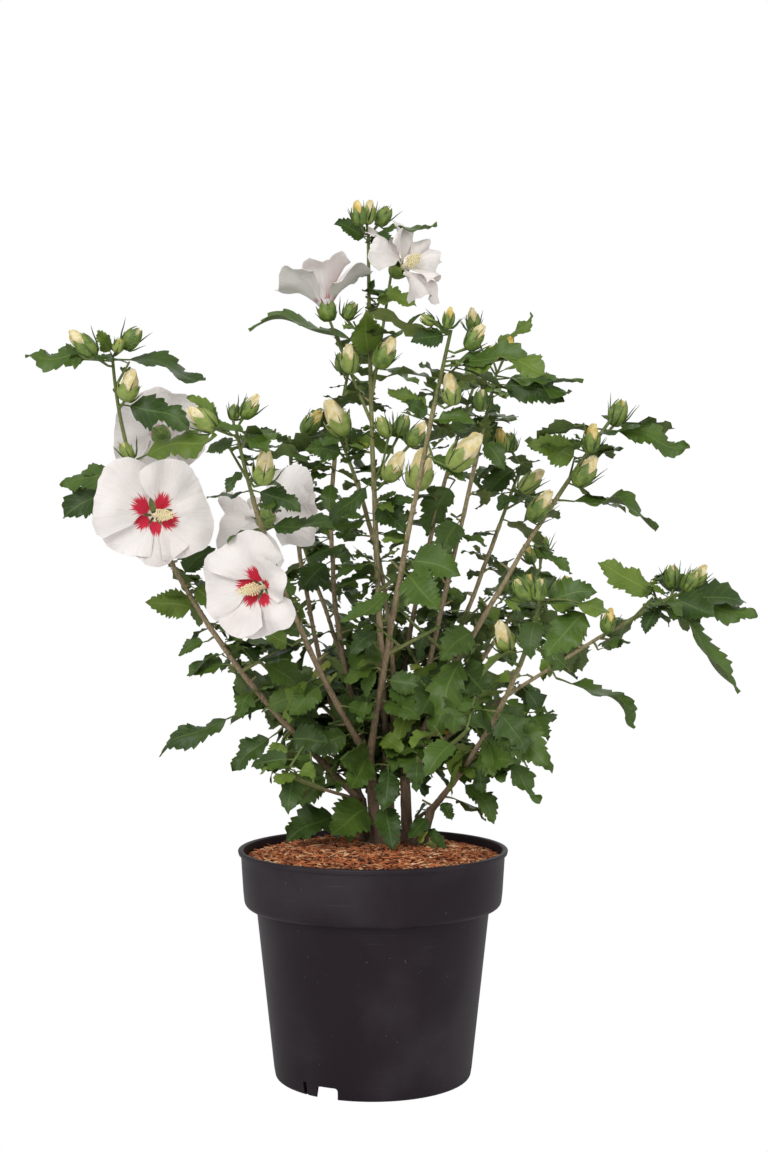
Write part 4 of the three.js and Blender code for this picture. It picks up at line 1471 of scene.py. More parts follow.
def tube(line: np.ndarray, radii: np.ndarray, sides: int) -> tuple[np.ndarray, list[Face]]:
    """A closed limb of rings round the points of a line.

    Args:
        line: The points that its middle runs through.
        radii: Its radius at each.
        sides: Corners round each ring.

    Returns:
        Its vertices and its faces, which point outwards.
    """
    along = np.gradient(line, axis=0)
    along /= np.maximum(np.linalg.norm(along, axis=1, keepdims=True), 1e-9)
    across, _ = square_to(along[0])
    turns = 2 * math.pi * np.arange(sides) / sides
    rings = []
    for middle, way, radius in zip(line, along, radii):
        across = unit(across - way * float(across @ way))
        third = np.cross(way, across)
        rings.append(middle + radius * (np.outer(np.cos(turns), across) + np.outer(np.sin(turns), third)))
    return np.concatenate(rings), ring_faces(len(line), sides)


def shell(grid: np.ndarray, thickness: float) -> tuple[np.ndarray, list[Face], list[int]]:
    """A closed thin sheet from a grid of points.

    Args:
        grid: Rows of points; the front is on the side of row direction crossed with column direction.
        thickness: How far the back lies behind the front.

    Returns:
        Its vertices, its faces, and 0 for each face of the front and 1 for each other.
    """
    rows, columns, _ = grid.shape
    down_rows, down_columns = np.gradient(grid, axis=0), np.gradient(grid, axis=1)
    normals = np.cross(down_rows, down_columns)
    normals /= np.maximum(np.linalg.norm(normals, axis=2, keepdims=True), 1e-9)
    points = np.concatenate([grid.reshape(-1, 3), (grid - normals * thickness).reshape(-1, 3)])
    back = rows * columns
    faces: list[Face] = []
    for i in range(rows - 1):
        for j in range(columns - 1):
            a, b = i * columns + j, (i + 1) * columns + j
            faces.append((a, b, b + 1, a + 1))
    sides = [0] * len(faces)
    faces += [tuple(corner + back for corner in reversed(face)) for face in faces]
    rim = [(0, j) for j in range(columns)]
    rim += [(i, columns - 1) for i in range(1, rows)]
    rim += [(rows - 1, j) for j in range(columns - 2, -1, -1)]
    rim += [(i, 0) for i in range(rows - 2, 0, -1)]
    numbers = [i * columns + j for i, j in rim]
    for a, b in zip(numbers, numbers[1:] + numbers[:1]):
        faces.append((a, b, b + back, a + back))
    return points, faces, sides + [1] * (len(faces) - len(sides))


# ---------------------------------------------------------------- finishes


class Wiring:
    """A node tree under construction."""

    def __init__(self, tree: NodeTree) -> None:
        """Takes the tree that nodes are added to."""
        self.tree = tree

    def add(self, kind: str, values: dict | None = None, **settings: object) -> Node:
        """Adds one node.

        Args:
            kind: The node's type.
            values: For each input, by name or number, its value or the output that feeds it.
            **settings: The node's own settings.

        Returns:
            The node.
        """
        node = self.tree.nodes.new(kind)
        for name, setting in settings.items():
            setattr(node, name, setting)
        for key, value in (values or {}).items():
            if isinstance(value, Socket):
                self.tree.links.new(value, node.inputs[key])
            else:
                node.inputs[key].default_value = value
        return node

    def feed(self, node: Node, name: str, source: Socket) -> None:
        """Links an output to a node's input."""
        self.tree.links.new(source, node.inputs[name])

    def maths(self, operation: str, *values: object) -> Socket:
        """The result of a sum on one, two or three numbers or outputs."""
        return self.add("ShaderNodeMath", dict(enumerate(values)), operation=operation).outputs[0]

    def mix(self, share: object, first: object, second: object) -> Socket:
        """A mix of two colours."""
        values = {0: share, 6: first, 7: second}
        return self.add("ShaderNodeMix", values, data_type="RGBA").outputs[2]

    def eased(self, value: object, low: object, high: object) -> Socket:
        """A share that rises smoothly from 0 at low to 1 at high."""
        values = {0: value, 1: low, 2: high, 3: 0.0, 4: 1.0}
        return self.add("ShaderNodeMapRange", values, interpolation_type="SMOOTHSTEP").outputs[0]

    def noise(self, place: object, scale: float, detail: float = 3.0) -> Socket:
        """Cloudy noise about a half."""
        values = {"Vector": place, "Scale": scale, "Detail": detail}
        return self.add("ShaderNodeTexNoise", values).outputs[0]


class Effect(Enum):
    """The effects that materials share, each a node group."""

    DRIFT = "Colour drift"
    RELIEF = "Fine relief"
    VEINS = "Leaf veins"
    EYE = "Petal eye"
    SCUFFS = "Scuffed plastic"
    GRAIN = "Wood grain"


class Effects:
    """Builds each shared effect's node group once."""

    def __init__(self) -> None:
        """Builds them all."""
        self.groups: dict[Effect, NodeTree] = {}
        self.drift()
        self.relief()
        self.veins()
        self.eye()
        self.scuffs()
        self.grain()

    def start(
        self, effect: Effect, inputs: dict[str, tuple[str, object]], outputs: dict[str, str]
    ) -> tuple[Wiring, Node, Node]:
        """Starts a node group.

        Args:
            effect: Which effect it makes.
            inputs: The kind and value of each input, by name.
            outputs: The kind of each output, by name.

        Returns:
            Its wiring, its input node and its output node.
        """
        tree = bpy.data.node_groups.new(effect.value, "ShaderNodeTree")
        for name, (kind, value) in inputs.items():
            tree.interface.new_socket(name, in_out="INPUT", socket_type=kind).default_value = value
        for name, kind in outputs.items():
            tree.interface.new_socket(name, in_out="OUTPUT", socket_type=kind)
        self.groups[effect] = tree
        wiring = Wiring(tree)
        return wiring, wiring.add("NodeGroupInput"), wiring.add("NodeGroupOutput")

    def drift(self) -> None:
        """Two colours that drift into each other in soft patches."""
        wiring, enter, leave = self.start(
            Effect.DRIFT,
            {
                "Colour": ("NodeSocketColor", (1, 1, 1, 1)),
                "Other": ("NodeSocketColor", (0, 0, 0, 1)),
                "Scale": ("NodeSocketFloat", 40.0),
            },
            {"Colour": "NodeSocketColor"},
        )
        place = wiring.add("ShaderNodeTexCoord").outputs["Object"]
        cloud = wiring.add("ShaderNodeTexNoise", {"Vector": place, "Scale": enter.outputs["Scale"]})
        share = wiring.eased(cloud.outputs[0], 0.35, 0.65)
        mixed = wiring.mix(share, enter.outputs["Colour"], enter.outputs["Other"])
        wiring.feed(leave, "Colour", mixed)

    def relief(self) -> None:
        """A fine uneven surface."""
        wiring, enter, leave = self.start(
            Effect.RELIEF, {"Scale": ("NodeSocketFloat", 300.0)}, {"Height": "NodeSocketFloat"}
        )
        place = wiring.add("ShaderNodeTexCoord").outputs["Object"]
        values = {"Vector": place, "Scale": enter.outputs["Scale"], "Detail": 4.0}
        wiring.feed(leave, "Height", wiring.add("ShaderNodeTexNoise", values).outputs[0])

    def veins(self) -> None:
        """A leaf's midrib, and side veins that run from it to the teeth."""
        wiring, enter, leave = self.start(
            Effect.VEINS,
            {"Surface": ("NodeSocketVector", (0, 0, 0))},
            {"Vein": "NodeSocketFloat", "Midrib": "NodeSocketFloat"},
        )
        split = wiring.add("ShaderNodeSeparateXYZ", {0: enter.outputs["Surface"]})
        aside = wiring.maths("ABSOLUTE", wiring.maths("SUBTRACT", split.outputs[0], 0.5))
        slant = wiring.maths("SUBTRACT", split.outputs[1], wiring.maths("MULTIPLY", aside, 0.42))
        bands = wiring.maths("PINGPONG", wiring.maths("MULTIPLY", slant, 8.0), 0.5)
        vein = wiring.maths("SUBTRACT", 1.0, wiring.eased(bands, 0.02, 0.13))
        wiring.feed(leave, "Vein", vein)
        midrib = wiring.maths("SUBTRACT", 1.0, wiring.eased(aside, 0.012, 0.045))
        wiring.feed(leave, "Midrib", midrib)

    def eye(self) -> None:
        """A petal's feathered blotch near its claw, and the fine veins that run on from it."""
        wiring, enter, leave = self.start(
            Effect.EYE,
            {"Surface": ("NodeSocketVector", (0, 0, 0)), "Reach": ("NodeSocketFloat", 0.3)},
            {"Blotch": "NodeSocketFloat", "Vein": "NodeSocketFloat"},
        )
        split = wiring.add("ShaderNodeSeparateXYZ", {0: enter.outputs["Surface"]})
        across, along = split.outputs[0], split.outputs[1]
        aside = wiring.maths("ABSOLUTE", wiring.maths("SUBTRACT", across, 0.5))
        stretch = wiring.add("ShaderNodeCombineXYZ", {0: wiring.maths("MULTIPLY", across, 24.0), 1: along})
        streak = wiring.noise(stretch.outputs[0], 1.6, 2.0)
        feather = wiring.maths("MULTIPLY", wiring.maths("SUBTRACT", streak, 0.5), 0.34)
        shoulder = wiring.maths("MULTIPLY", wiring.maths("POWER", aside, 2.0), 0.8)
        edge = wiring.maths("SUBTRACT", wiring.maths("ADD", enter.outputs["Reach"], feather), shoulder)
        beyond = wiring.eased(along, wiring.maths("SUBTRACT", edge, 0.02), wiring.maths("ADD", edge, 0.03))
        claw = wiring.eased(along, 0.1, 0.14)
        blotch = wiring.maths("MULTIPLY", wiring.maths("SUBTRACT", 1.0, beyond), claw)
        wiring.feed(leave, "Blotch", blotch)
        fan = wiring.add("ShaderNodeCombineXYZ", {0: wiring.maths("MULTIPLY", across, 60.0), 1: along})
        vein = wiring.eased(wiring.noise(fan.outputs[0], 1.3, 3.0), 0.5, 0.72)
        wiring.feed(leave, "Vein", vein)

    def scuffs(self) -> None:
        """Handling marks on moulded plastic: dusty patches, fine level scratches and specks."""
        wiring, enter, leave = self.start(
            Effect.SCUFFS,
            {"Amount": ("NodeSocketFloat", 1.0)},
            {"Dust": "NodeSocketFloat", "Height": "NodeSocketFloat"},
        )
        place = wiring.add("ShaderNodeTexCoord").outputs["Object"]
        cloud = wiring.eased(wiring.noise(place, 9.0, 4.0), 0.46, 0.72)
        flat = wiring.add("ShaderNodeMapping", {"Vector": place, "Scale": (14.0, 14.0, 900.0)})
        scratch = wiring.eased(wiring.noise(flat.outputs[0], 1.0, 2.0), 0.66, 0.74)
        upright = wiring.add("ShaderNodeMapping", {"Vector": place, "Scale": (420.0, 420.0, 6.0)})
        lines = wiring.noise(upright.outputs[0], 1.0, 2.0)
        speck = wiring.eased(wiring.noise(place, 260.0, 1.0), 0.76, 0.8)
        scraped = wiring.maths("ADD", 0.16, wiring.maths("MULTIPLY", scratch, 0.5))
        marks = wiring.maths("MULTIPLY", cloud, scraped)
        dust = wiring.maths("ADD", marks, wiring.maths("MULTIPLY", speck, 0.5))
        scaled = wiring.maths("MULTIPLY", dust, enter.outputs["Amount"])
        wiring.feed(leave, "Dust", scaled)
        height = wiring.maths("ADD", lines, wiring.maths("MULTIPLY", scratch, -0.6))
        wiring.feed(leave, "Height", height)

    def grain(self) -> None:
        """Bark: long fine ridges broken by pale pores, on upright stems."""
        wiring, enter, leave = self.start(
            Effect.GRAIN,
            {"Scale": ("NodeSocketFloat", 1.0)},
            {"Ridge": "NodeSocketFloat", "Pore": "NodeSocketFloat"},
        )
        place = wiring.add("ShaderNodeTexCoord").outputs["Object"]
        stretched = wiring.add("ShaderNodeMapping", {"Vector": place, "Scale": (700.0, 700.0, 130.0)})
        values = {0: stretched.outputs[0], "Scale": enter.outputs["Scale"]}
        scaled = wiring.add("ShaderNodeVectorMath", values, operation="SCALE")
        wiring.feed(leave, "Ridge", wiring.noise(scaled.outputs[0], 1.0, 3.0))
        pore = wiring.eased(wiring.noise(place, 420.0, 1.0), 0.66, 0.74)
        wiring.feed(leave, "Pore", pore)


@dataclass(frozen=True)
class Finish:
    """A finish of one colour that drifts into another, on a fine uneven surface."""

    name: str
    colour: Colour
    other: Colour
    roughness: float = 0.6
    patches: float = 40.0
    relief: float = 400.0
    depth: float = 0.2

    def start(self) -> tuple[Material, Wiring, Node]:
        """A new material with its wiring and its surface shader.

        Returns:
            The material, its wiring and its surface shader.
        """
        material = bpy.data.materials.new(self.name)
        material.use_nodes = True
        wiring = Wiring(material.node_tree)
        shader = material.node_tree.nodes["Principled BSDF"]
        shader.inputs["Roughness"].default_value = self.roughness
        return material, wiring, shader

    def place(self, wiring: Wiring, effects: Effects, effect: Effect, values: dict) -> Node:
        """A shared effect placed in a material with its own values."""
        return wiring.add("ShaderNodeGroup", values, node_tree=effects.groups[effect])

    def drifting(self, wiring: Wiring, effects: Effects) -> Socket:
        """The finish's own colour, drifting into the other one."""
        values = {"Colour": self.colour, "Other": self.other, "Scale": self.patches}
        return self.place(wiring, effects, Effect.DRIFT, values).outputs[0]

    def bump(self, wiring: Wiring, shader: Node, height: object, strength: float) -> None:
        """Lets a height shape the surface, by the finish's own depth and a strength from 0 to 1."""
        values = {"Height": height, "Strength": strength, "Distance": self.depth * MM}
        wiring.feed(shader, "Normal", wiring.add("ShaderNodeBump", values).outputs[0])

    def make(self, effects: Effects) -> Material:
        """Makes the material.

        Args:
            effects: The shared effects.

        Returns:
            The material.
        """
        material, wiring, shader = self.start()
        wiring.feed(shader, "Base Color", self.drifting(wiring, effects))
        fine = self.place(wiring, effects, Effect.RELIEF, {"Scale": self.relief})
        self.bump(wiring, shader, fine.outputs[0], 0.6)
        return material


@dataclass(frozen=True)
class LeafFinish(Finish):
    """A leaf's face or back, with a paler midrib and side veins in shallow grooves."""

    vein: Colour = (0.1, 0.2, 0.05, 1)
    vein_share: float = 0.3
    midrib_share: float = 0.75
    gloss: float = 0.35

    def make(self, effects: Effects) -> Material:
        """Makes the material.

        Args:
            effects: The shared effects.

        Returns:
            The material.
        """
        material, wiring, shader = self.start()
        surface = wiring.add("ShaderNodeTexCoord").outputs["UV"]
        veins = self.place(wiring, effects, Effect.VEINS, {"Surface": surface})
        side = wiring.maths("MULTIPLY", veins.outputs["Vein"], self.vein_share)
        middle = wiring.maths("MULTIPLY", veins.outputs["Midrib"], self.midrib_share)
        share = wiring.maths("MAXIMUM", side, middle)
        mixed = wiring.mix(share, self.drifting(wiring, effects), self.vein)
        wiring.feed(shader, "Base Color", mixed)
        fine = self.place(wiring, effects, Effect.RELIEF, {"Scale": self.relief}).outputs[0]
        groove = wiring.maths("MAXIMUM", veins.outputs["Vein"], veins.outputs["Midrib"])
        height = wiring.maths("SUBTRACT", wiring.maths("MULTIPLY", fine, 0.4), groove)
        self.bump(wiring, shader, height, 0.7)
        shader.inputs["Specular IOR Level"].default_value = self.gloss
        return material


@dataclass(frozen=True)
class PetalFinish(Finish):
    """A petal's face or back: fine veins, and a blotch near the claw."""

    blotch: Colour = (0.62, 0.006, 0.04, 1)
    reach: float = 0.41
    vein: Colour = (0.6, 0.45, 0.5, 1)
    vein_share: float = 0.1

    def make(self, effects: Effects) -> Material:
        """Makes the material.

        Args:
            effects: The shared effects.

        Returns:
            The material.
        """
        material, wiring, shader = self.start()
        surface = wiring.add("ShaderNodeTexCoord").outputs["UV"]
        eye = self.place(wiring, effects, Effect.EYE, {"Surface": surface, "Reach": self.reach})
        veined = wiring.mix(
            wiring.maths("MULTIPLY", eye.outputs["Vein"], self.vein_share),
            self.drifting(wiring, effects),
            self.vein,
        )
        mixed = wiring.mix(eye.outputs["Blotch"], veined, self.blotch)
        wiring.feed(shader, "Base Color", mixed)
        fine = self.place(wiring, effects, Effect.RELIEF, {"Scale": self.relief}).outputs[0]
        height = wiring.maths("ADD", wiring.maths("MULTIPLY", fine, 0.8), eye.outputs["Vein"])
        self.bump(wiring, shader, height, 0.5)
        shader.inputs["Subsurface Weight"].default_value = 0.12
        shader.inputs["Subsurface Radius"].default_value = (0.004, 0.003, 0.003)
        return material


@dataclass(frozen=True)
class WoodFinish(Finish):
    """Bark that turns from red-brown through tan to green as the wood gets younger."""

    stages: tuple[tuple[float, Colour], ...] = (
        (0.0, (0.15, 0.09, 0.055, 1)),
        (0.2, (0.27, 0.18, 0.105, 1)),
        (0.42, (0.4, 0.3, 0.175, 1)),
        (0.66, (0.36, 0.31, 0.15, 1)),
        (0.82, (0.22, 0.24, 0.075, 1)),
        (1.0, (0.15, 0.225, 0.045, 1)),
    )

    def make(self, effects: Effects) -> Material:
        """Makes the material.

        Args:
            effects: The shared effects.

        Returns:
            The material.
        """
        material, wiring, shader = self.start()
        age = wiring.add("ShaderNodeAttribute", attribute_name="age").outputs["Fac"]
        ramp = wiring.add("ShaderNodeValToRGB", {0: age})
        elements = ramp.color_ramp.elements
        for place, _ in self.stages[2:]:
            elements.new(place)
        for element, (place, colour) in zip(elements, self.stages):
            element.position, element.color = place, colour
        grain = self.place(wiring, effects, Effect.GRAIN, {"Scale": 1.0})
        dark = wiring.maths("MULTIPLY", wiring.eased(grain.outputs["Ridge"], 0.62, 0.36), 0.55)
        shaded = wiring.mix(dark, ramp.outputs[0], self.other)
        pores = wiring.mix(wiring.maths("MULTIPLY", grain.outputs["Pore"], 0.35), shaded, self.colour)
        wiring.feed(shader, "Base Color", pores)
        self.bump(wiring, shader, grain.outputs["Ridge"], 0.8)
        return material


@dataclass(frozen=True)
class PlasticFinish(Finish):
    """Matt moulded plastic, drawn in fine upright lines, dusty and scuffed."""

    dust: Colour = (0.2, 0.19, 0.2, 1)
    amount: float = 0.5

    def make(self, effects: Effects) -> Material:
        """Makes the material.

        Args:
            effects: The shared effects.

        Returns:
            The material.
        """
        material, wiring, shader = self.start()
        shader.inputs["Specular IOR Level"].default_value = 0.22
        scuffs = self.place(wiring, effects, Effect.SCUFFS, {"Amount": self.amount})
        mixed = wiring.mix(scuffs.outputs["Dust"], self.drifting(wiring, effects), self.dust)
        wiring.feed(shader, "Base Color", mixed)
        rough = wiring.maths("ADD", self.roughness, wiring.maths("MULTIPLY", scuffs.outputs["Dust"], 0.5))
        wiring.feed(shader, "Roughness", rough)
        self.bump(wiring, shader, scuffs.outputs["Height"], 0.35)
        return material


# ---------------------------------------------------------------- leaves


LEAF_FINISHES: tuple[Finish, ...] = (
    LeafFinish(
        "leaf_deep", (0.034, 0.07, 0.013, 1), (0.052, 0.098, 0.016, 1), 0.44, 25, vein=(0.1, 0.17, 0.035, 1)
    ),
    LeafFinish(
        "leaf_mid", (0.062, 0.118, 0.017, 1), (0.084, 0.15, 0.02, 1), 0.44, 25, vein=(0.14, 0.21, 0.045, 1)
    ),
    LeafFinish(
        "leaf_light", (0.11, 0.18, 0.022, 1), (0.15, 0.23, 0.03, 1), 0.46, 25, vein=(0.22, 0.3, 0.06, 1)
    ),
    LeafFinish(
        "leaf_sprout", (0.3, 0.38, 0.045, 1), (0.4, 0.47, 0.08, 1), 0.5, 25, vein=(0.48, 0.53, 0.14, 1)
    ),
    LeafFinish(
        "leaf_autumn", (0.5, 0.27, 0.03, 1), (0.6, 0.4, 0.05, 1), 0.55, 40, vein=(0.4, 0.2, 0.05, 1)
    ),
    LeafFinish(
        "leaf_back", (0.092, 0.138, 0.034, 1), (0.115, 0.165, 0.042, 1), 0.65, 30, vein=(0.16, 0.21, 0.07, 1)
    ),
    LeafFinish(
        "leaf_pale_back", (0.15, 0.2, 0.045, 1), (0.19, 0.24, 0.058, 1), 0.65, 30, vein=(0.23, 0.28, 0.09, 1)
    ),
)


LAST_FINE_ROW = 0.975  # place of the last row before the tip, where a leaf has fine rows
TEETH_TO_A_LOBE = 1.6
TOOTH_SWELL = 0.75  # how roundly a fine tooth rises, 1 for a straight edge
NOTCH_SHARE = 0.86  # of the half width, that is left at the notches between fine teeth
TIP_EASE = 0.2  # share of the length over which the teeth die out at the tip


@dataclass(frozen=True)
class LeafOutline:
    """The outline of a blade: its width, and each row's place and half width, in shares of the length."""

    width: float
    rows: tuple[float, ...]
    halves: tuple[float, ...]
    wavy: float  # how far the blade rolls along its length, in radians
    teeth: tuple[float, ...] = (0, 0, 1, 0, 1, 0, 1, 0, 1, 0, 1, 0)  # how far each row's edge leans forward

    def toothed(self, count: int) -> "LeafOutline":
        """The same form in a finer count of rows, with sharp teeth that lean towards the tip.

        Args:
            count: How many rows it has.

        Returns:
            The finer outline.
        """
        place, half = np.array(self.rows), np.array(self.halves)
        rows = np.linspace(0, LAST_FINE_ROW, count)
        phase = TEETH_TO_A_LOBE * np.interp(rows, place[2:], np.arange(len(place) - 2) / 2)
        swell = (phase % 1) ** TOOTH_SWELL
        crest = np.interp(rows, np.append(place[2::2], 1), np.append(half[2::2], 0))
        hollow = np.interp(rows, np.append(place[3::2], 1), np.append(half[3::2], 0))
        hollow = np.minimum(hollow, crest) * NOTCH_SHARE
        foot = rows < place[2]
        halves = np.where(foot, np.interp(rows, place, half), hollow + (crest - hollow) * swell)
        lean = np.where(foot, 0, swell) * np.clip((1 - rows) / TIP_EASE, 0, 1)
        return replace(self, rows=tuple(rows), halves=tuple(halves), teeth=tuple(lean))


OUTLINES: dict[Form, LeafOutline] = {
    Form.BROAD: LeafOutline(
        0.74,
        (0, 0.05, 0.14, 0.22, 0.31, 0.38, 0.47, 0.55, 0.64, 0.72, 0.81, 0.90),
        (0.06, 0.40, 0.82, 0.74, 1.0, 0.82, 0.92, 0.66, 0.72, 0.46, 0.48, 0.22),
        0.2,
    ),
    Form.OVATE: LeafOutline(
        0.6,
        (0, 0.05, 0.13, 0.22, 0.32, 0.41, 0.50, 0.59, 0.68, 0.77, 0.85, 0.93),
        (0.06, 0.42, 0.80, 0.78, 1.0, 0.88, 0.98, 0.76, 0.80, 0.54, 0.52, 0.24),
        0.2,
    ),
    Form.NARROW: LeafOutline(
        0.44,
        (0, 0.06, 0.15, 0.24, 0.33, 0.42, 0.51, 0.60, 0.69, 0.78, 0.86, 0.94),
        (0.05, 0.34, 0.70, 0.64, 0.98, 0.78, 1.0, 0.72, 0.82, 0.50, 0.52, 0.22),
        0.5,
    ),
    Form.HASTATE: LeafOutline(
        0.68,
        (0, 0.07, 0.16, 0.25, 0.35, 0.43, 0.50, 0.58, 0.67, 0.75, 0.83, 0.91),
        (0.05, 0.32, 0.62, 0.62, 1.0, 0.80, 0.50, 0.48, 0.60, 0.40, 0.42, 0.20),
        0.3,
    ),
}


@dataclass
class Blade:
    """A shaped leaf blade."""

    points: np.ndarray
    faces: list[Face]
    sides: list[int]  # 0 for each face of the front, 1 for each other
    pairs: np.ndarray  # each point's place, across and along
    stalk: np.ndarray
    front: np.ndarray  # rows of the front's points


class LeafMaker:
    """Shapes leaf blades: plain ones closed by a keeled back, or fine ones with a back of their own."""

    PETIOLE = 0.17  # share of the leaf's length
    BEND: Span = (0.2, 0.6)  # share of the droop at the root, and along the leaf
    BEND_CURVE = 1.15
    ROLLS: Span = (1.0, 1.5)  # waves along the leaf
    SWEEP: Span = (-0.4, 0.4)  # how far it turns sideways along its length, in radians
    LEAST_CHORD = 0.6  # of its length, from root to tip
    TWIST: Span = (-0.5, 0.5)  # how far it rolls about its midrib along its length, in radians
    STEADY = 0.4  # share of the length where that twist is nothing
    WIDTHS: Span = (0.88, 1.12)
    TIP_HALF = 0.01
    TOOTH = 0.03  # how far a tooth leans forward, as a share of the length
    FOLD: Span = (-0.3, 0.5)
    ARCH: Span = (-0.4, 0.4)
    WAVE: Span = (0.03, 0.085)  # height of the waves at its edge, as a share of the length
    BEATS: Span = (1.3, 2.6)  # of those waves
    PHASE: Span = (1.3, 2.2)  # where they start, and how much the fold shifts them on one side
    EDGE_PLACES, EDGE_UNEVEN = 12, 0.11  # where each edge's width varies, and by what share
    THICKNESS = 0.5
    KEEL: Span = (0.35, 0.85)  # thickness of a plain blade at its tip and at its foot
    SEAT = 0.6  # how far a stalk reaches into its blade

    def __init__(self, fine: bool = False) -> None:
        """Works out the faces that every plain blade shares.

        Args:
            fine: Whether blades get more rows and columns, and a back of their own.
        """
        self.fine = fine
        self.across = (-1.0, -0.7, -0.35, 0.0, 0.35, 0.7, 1.0) if fine else (-1.0, 0.0, 1.0)
        self.rows = 34 if fine else 12
        wide, tip = len(self.across), self.rows * len(self.across)
        under = tip + 1
        self.faces: list[Face] = []
        for i in range(self.rows):
            for a in range(i * wide, (i + 1) * wide - 1):
                last = i == self.rows - 1
                self.faces.append((a, tip, a + 1) if last else (a, a + wide, a + wide + 1, a + 1))
        self.sides = [0] * len(self.faces)
        for i in range(self.rows):
            left, right, keel = i * wide, (i + 1) * wide - 1, under + i
            if i == self.rows - 1:
                self.faces += [(left, keel, tip), (keel, right, tip)]
            else:
                self.faces += [(left, keel, keel + 1, left + wide), (keel, right, right + wide, keel + 1)]
        self.faces.append((*range(wide), under))
        self.sides += [1] * (len(self.faces) - len(self.sides))

    def midline(self, leaf: Leaf, wavy: float, dice: Dice) -> tuple[np.ndarray, np.ndarray, np.ndarray]:
        """Bends the line of a leaf from its root to its tip.

        Args:
            leaf: The leaf as the rule places it.
            wavy: How far it rolls up and down along its length, in radians.
            dice: The leaf's source of numbers.

        Returns:
            Points from root to tip, the direction at each, and the level direction across at each.
        """
        steps = self.rows + 2
        shares = np.linspace(0, 1, steps + 1)
        first, rest = self.BEND
        rise = math.asin(float(np.clip(leaf.direction[2], -1, 1)))
        pitch = rise - leaf.droop * (first + rest * shares**self.BEND_CURVE)
        waves = 2 * math.pi * dice.between(*self.ROLLS) * shares + dice.between(*ANY_PHASE)
        pitch += wavy * np.sin(waves) * shares
        heading = math.atan2(leaf.direction[1], leaf.direction[0])
        heading = heading + dice.between(*self.SWEEP) * (shares - 0.5)
        ways = np.stack([np.cos(heading) * np.cos(pitch), np.sin(heading) * np.cos(pitch), np.sin(pitch)], 1)
        line = np.vstack([np.zeros(3), np.cumsum((ways[1:] + ways[:-1]) / 2 / steps, axis=0)])
        across = np.stack([-np.sin(heading), np.cos(heading), np.zeros(steps + 1)], 1)
        if leaf.reach is None:
            chord = max(float(np.linalg.norm(line[-1])), self.LEAST_CHORD)
            return leaf.root + line * leaf.length / chord, ways, across
        turn = turning(line[-1], leaf.reach).T
        line *= float(np.linalg.norm(leaf.reach) / np.linalg.norm(line[-1]))
        return leaf.root + line @ turn, ways @ turn, across @ turn

    def blade(self, leaf: Leaf, outline: LeafOutline, dice: Dice) -> Blade:
        """Shapes one blade.

        Args:
            leaf: The leaf as the rule places it.
            outline: The form of its edge.
            dice: The leaf's source of numbers.

        Returns:
            The blade and its stalk.
        """
        line, ways, across = self.midline(leaf, outline.wavy, dice)
        total = np.linspace(0, 1, len(line))
        along = np.append(outline.rows, 1.0)

        def at(shares: np.ndarray, values: np.ndarray) -> np.ndarray:
            """Values along the line, read at shares of its length."""
            return np.stack([np.interp(shares, total, values[:, k]) for k in range(3)], 1)

        where = self.PETIOLE + (1 - self.PETIOLE) * along
        middle, way, side = at(where, line), at(where, ways), at(where, across)
        roll = (leaf.roll + dice.between(*self.TWIST) * (along - self.STEADY))[:, None]
        aside = side * np.cos(roll) + np.cross(way, side) * np.sin(roll)
        face = np.cross(way, aside)

        size = leaf.length * (1 - self.PETIOLE)
        halves = np.append(outline.halves, self.TIP_HALF) * outline.width / 2 * size
        halves = halves * dice.between(*self.WIDTHS)
        tooth = np.append(outline.teeth, 0.0) * self.TOOTH * size
        fold, arch = dice.between(*self.FOLD), dice.between(*self.ARCH)
        wave, beats = dice.between(*self.WAVE) * size, dice.between(*self.BEATS)
        edge = np.linspace(0, 1, self.EDGE_PLACES)
        columns = []
        for v in self.across:
            share = abs(v)
            uneven = [1 + dice.between(-self.EDGE_UNEVEN, self.EDGE_UNEVEN) for _ in edge]
            out = v * halves * np.interp(along, edge, uneven)
            phase = self.PHASE[0] + (0 if v < 0 else self.PHASE[1] * fold)
            lift = np.abs(out) * (fold + arch * (1 - share))
            lift += wave * share**2 * np.sin(2 * math.pi * (beats * along + phase)) * smooth(along * 4)
            forward = tooth * smooth(2 * share - 1)
            columns.append(middle + aside * out[:, None] + face * lift[:, None] + way * forward[:, None])
        stalk = at(np.array([0.0, 0.5, 1.0]) * self.PETIOLE, line)
        grid = np.stack(columns, 1)
        pairs = np.array([((v + 1) / 2, y) for y in along for v in self.across])
        if self.fine:
            points, faces, sides = shell(grid, self.THICKNESS)
            stalk[-1] = middle[0] + way[0] * self.SEAT - face[0] * self.THICKNESS / 2
            return Blade(points, faces, sides, np.vstack([pairs, pairs]), stalk, grid)
        front = grid[: self.rows]
        thick = part_way(self.KEEL, 1 - along[: self.rows])
        keel = middle[: self.rows] - face[: self.rows] * thick[:, None]
        under = np.array([(0.5, y) for y in (1.0, *along[: self.rows])])
        stalk[-1] = (middle[0] + keel[0]) / 2 + way[0] * self.SEAT
        points = np.vstack([front.reshape(-1, 3), middle[-1], keel])
        pairs = np.vstack([pairs[: front[..., 0].size], under])
        return Blade(points, self.faces, self.sides, pairs, stalk, front)


# ---------------------------------------------------------------- buds and blossoms


class BudLook(IntEnum):
    """The finishes of buds and calyces, by their place among the piece's materials."""

    CALYX = 0
    PALE_CALYX = 1
    BRACT = 2
    CREAM = 3
    GOLD = 4
    OLIVE = 5


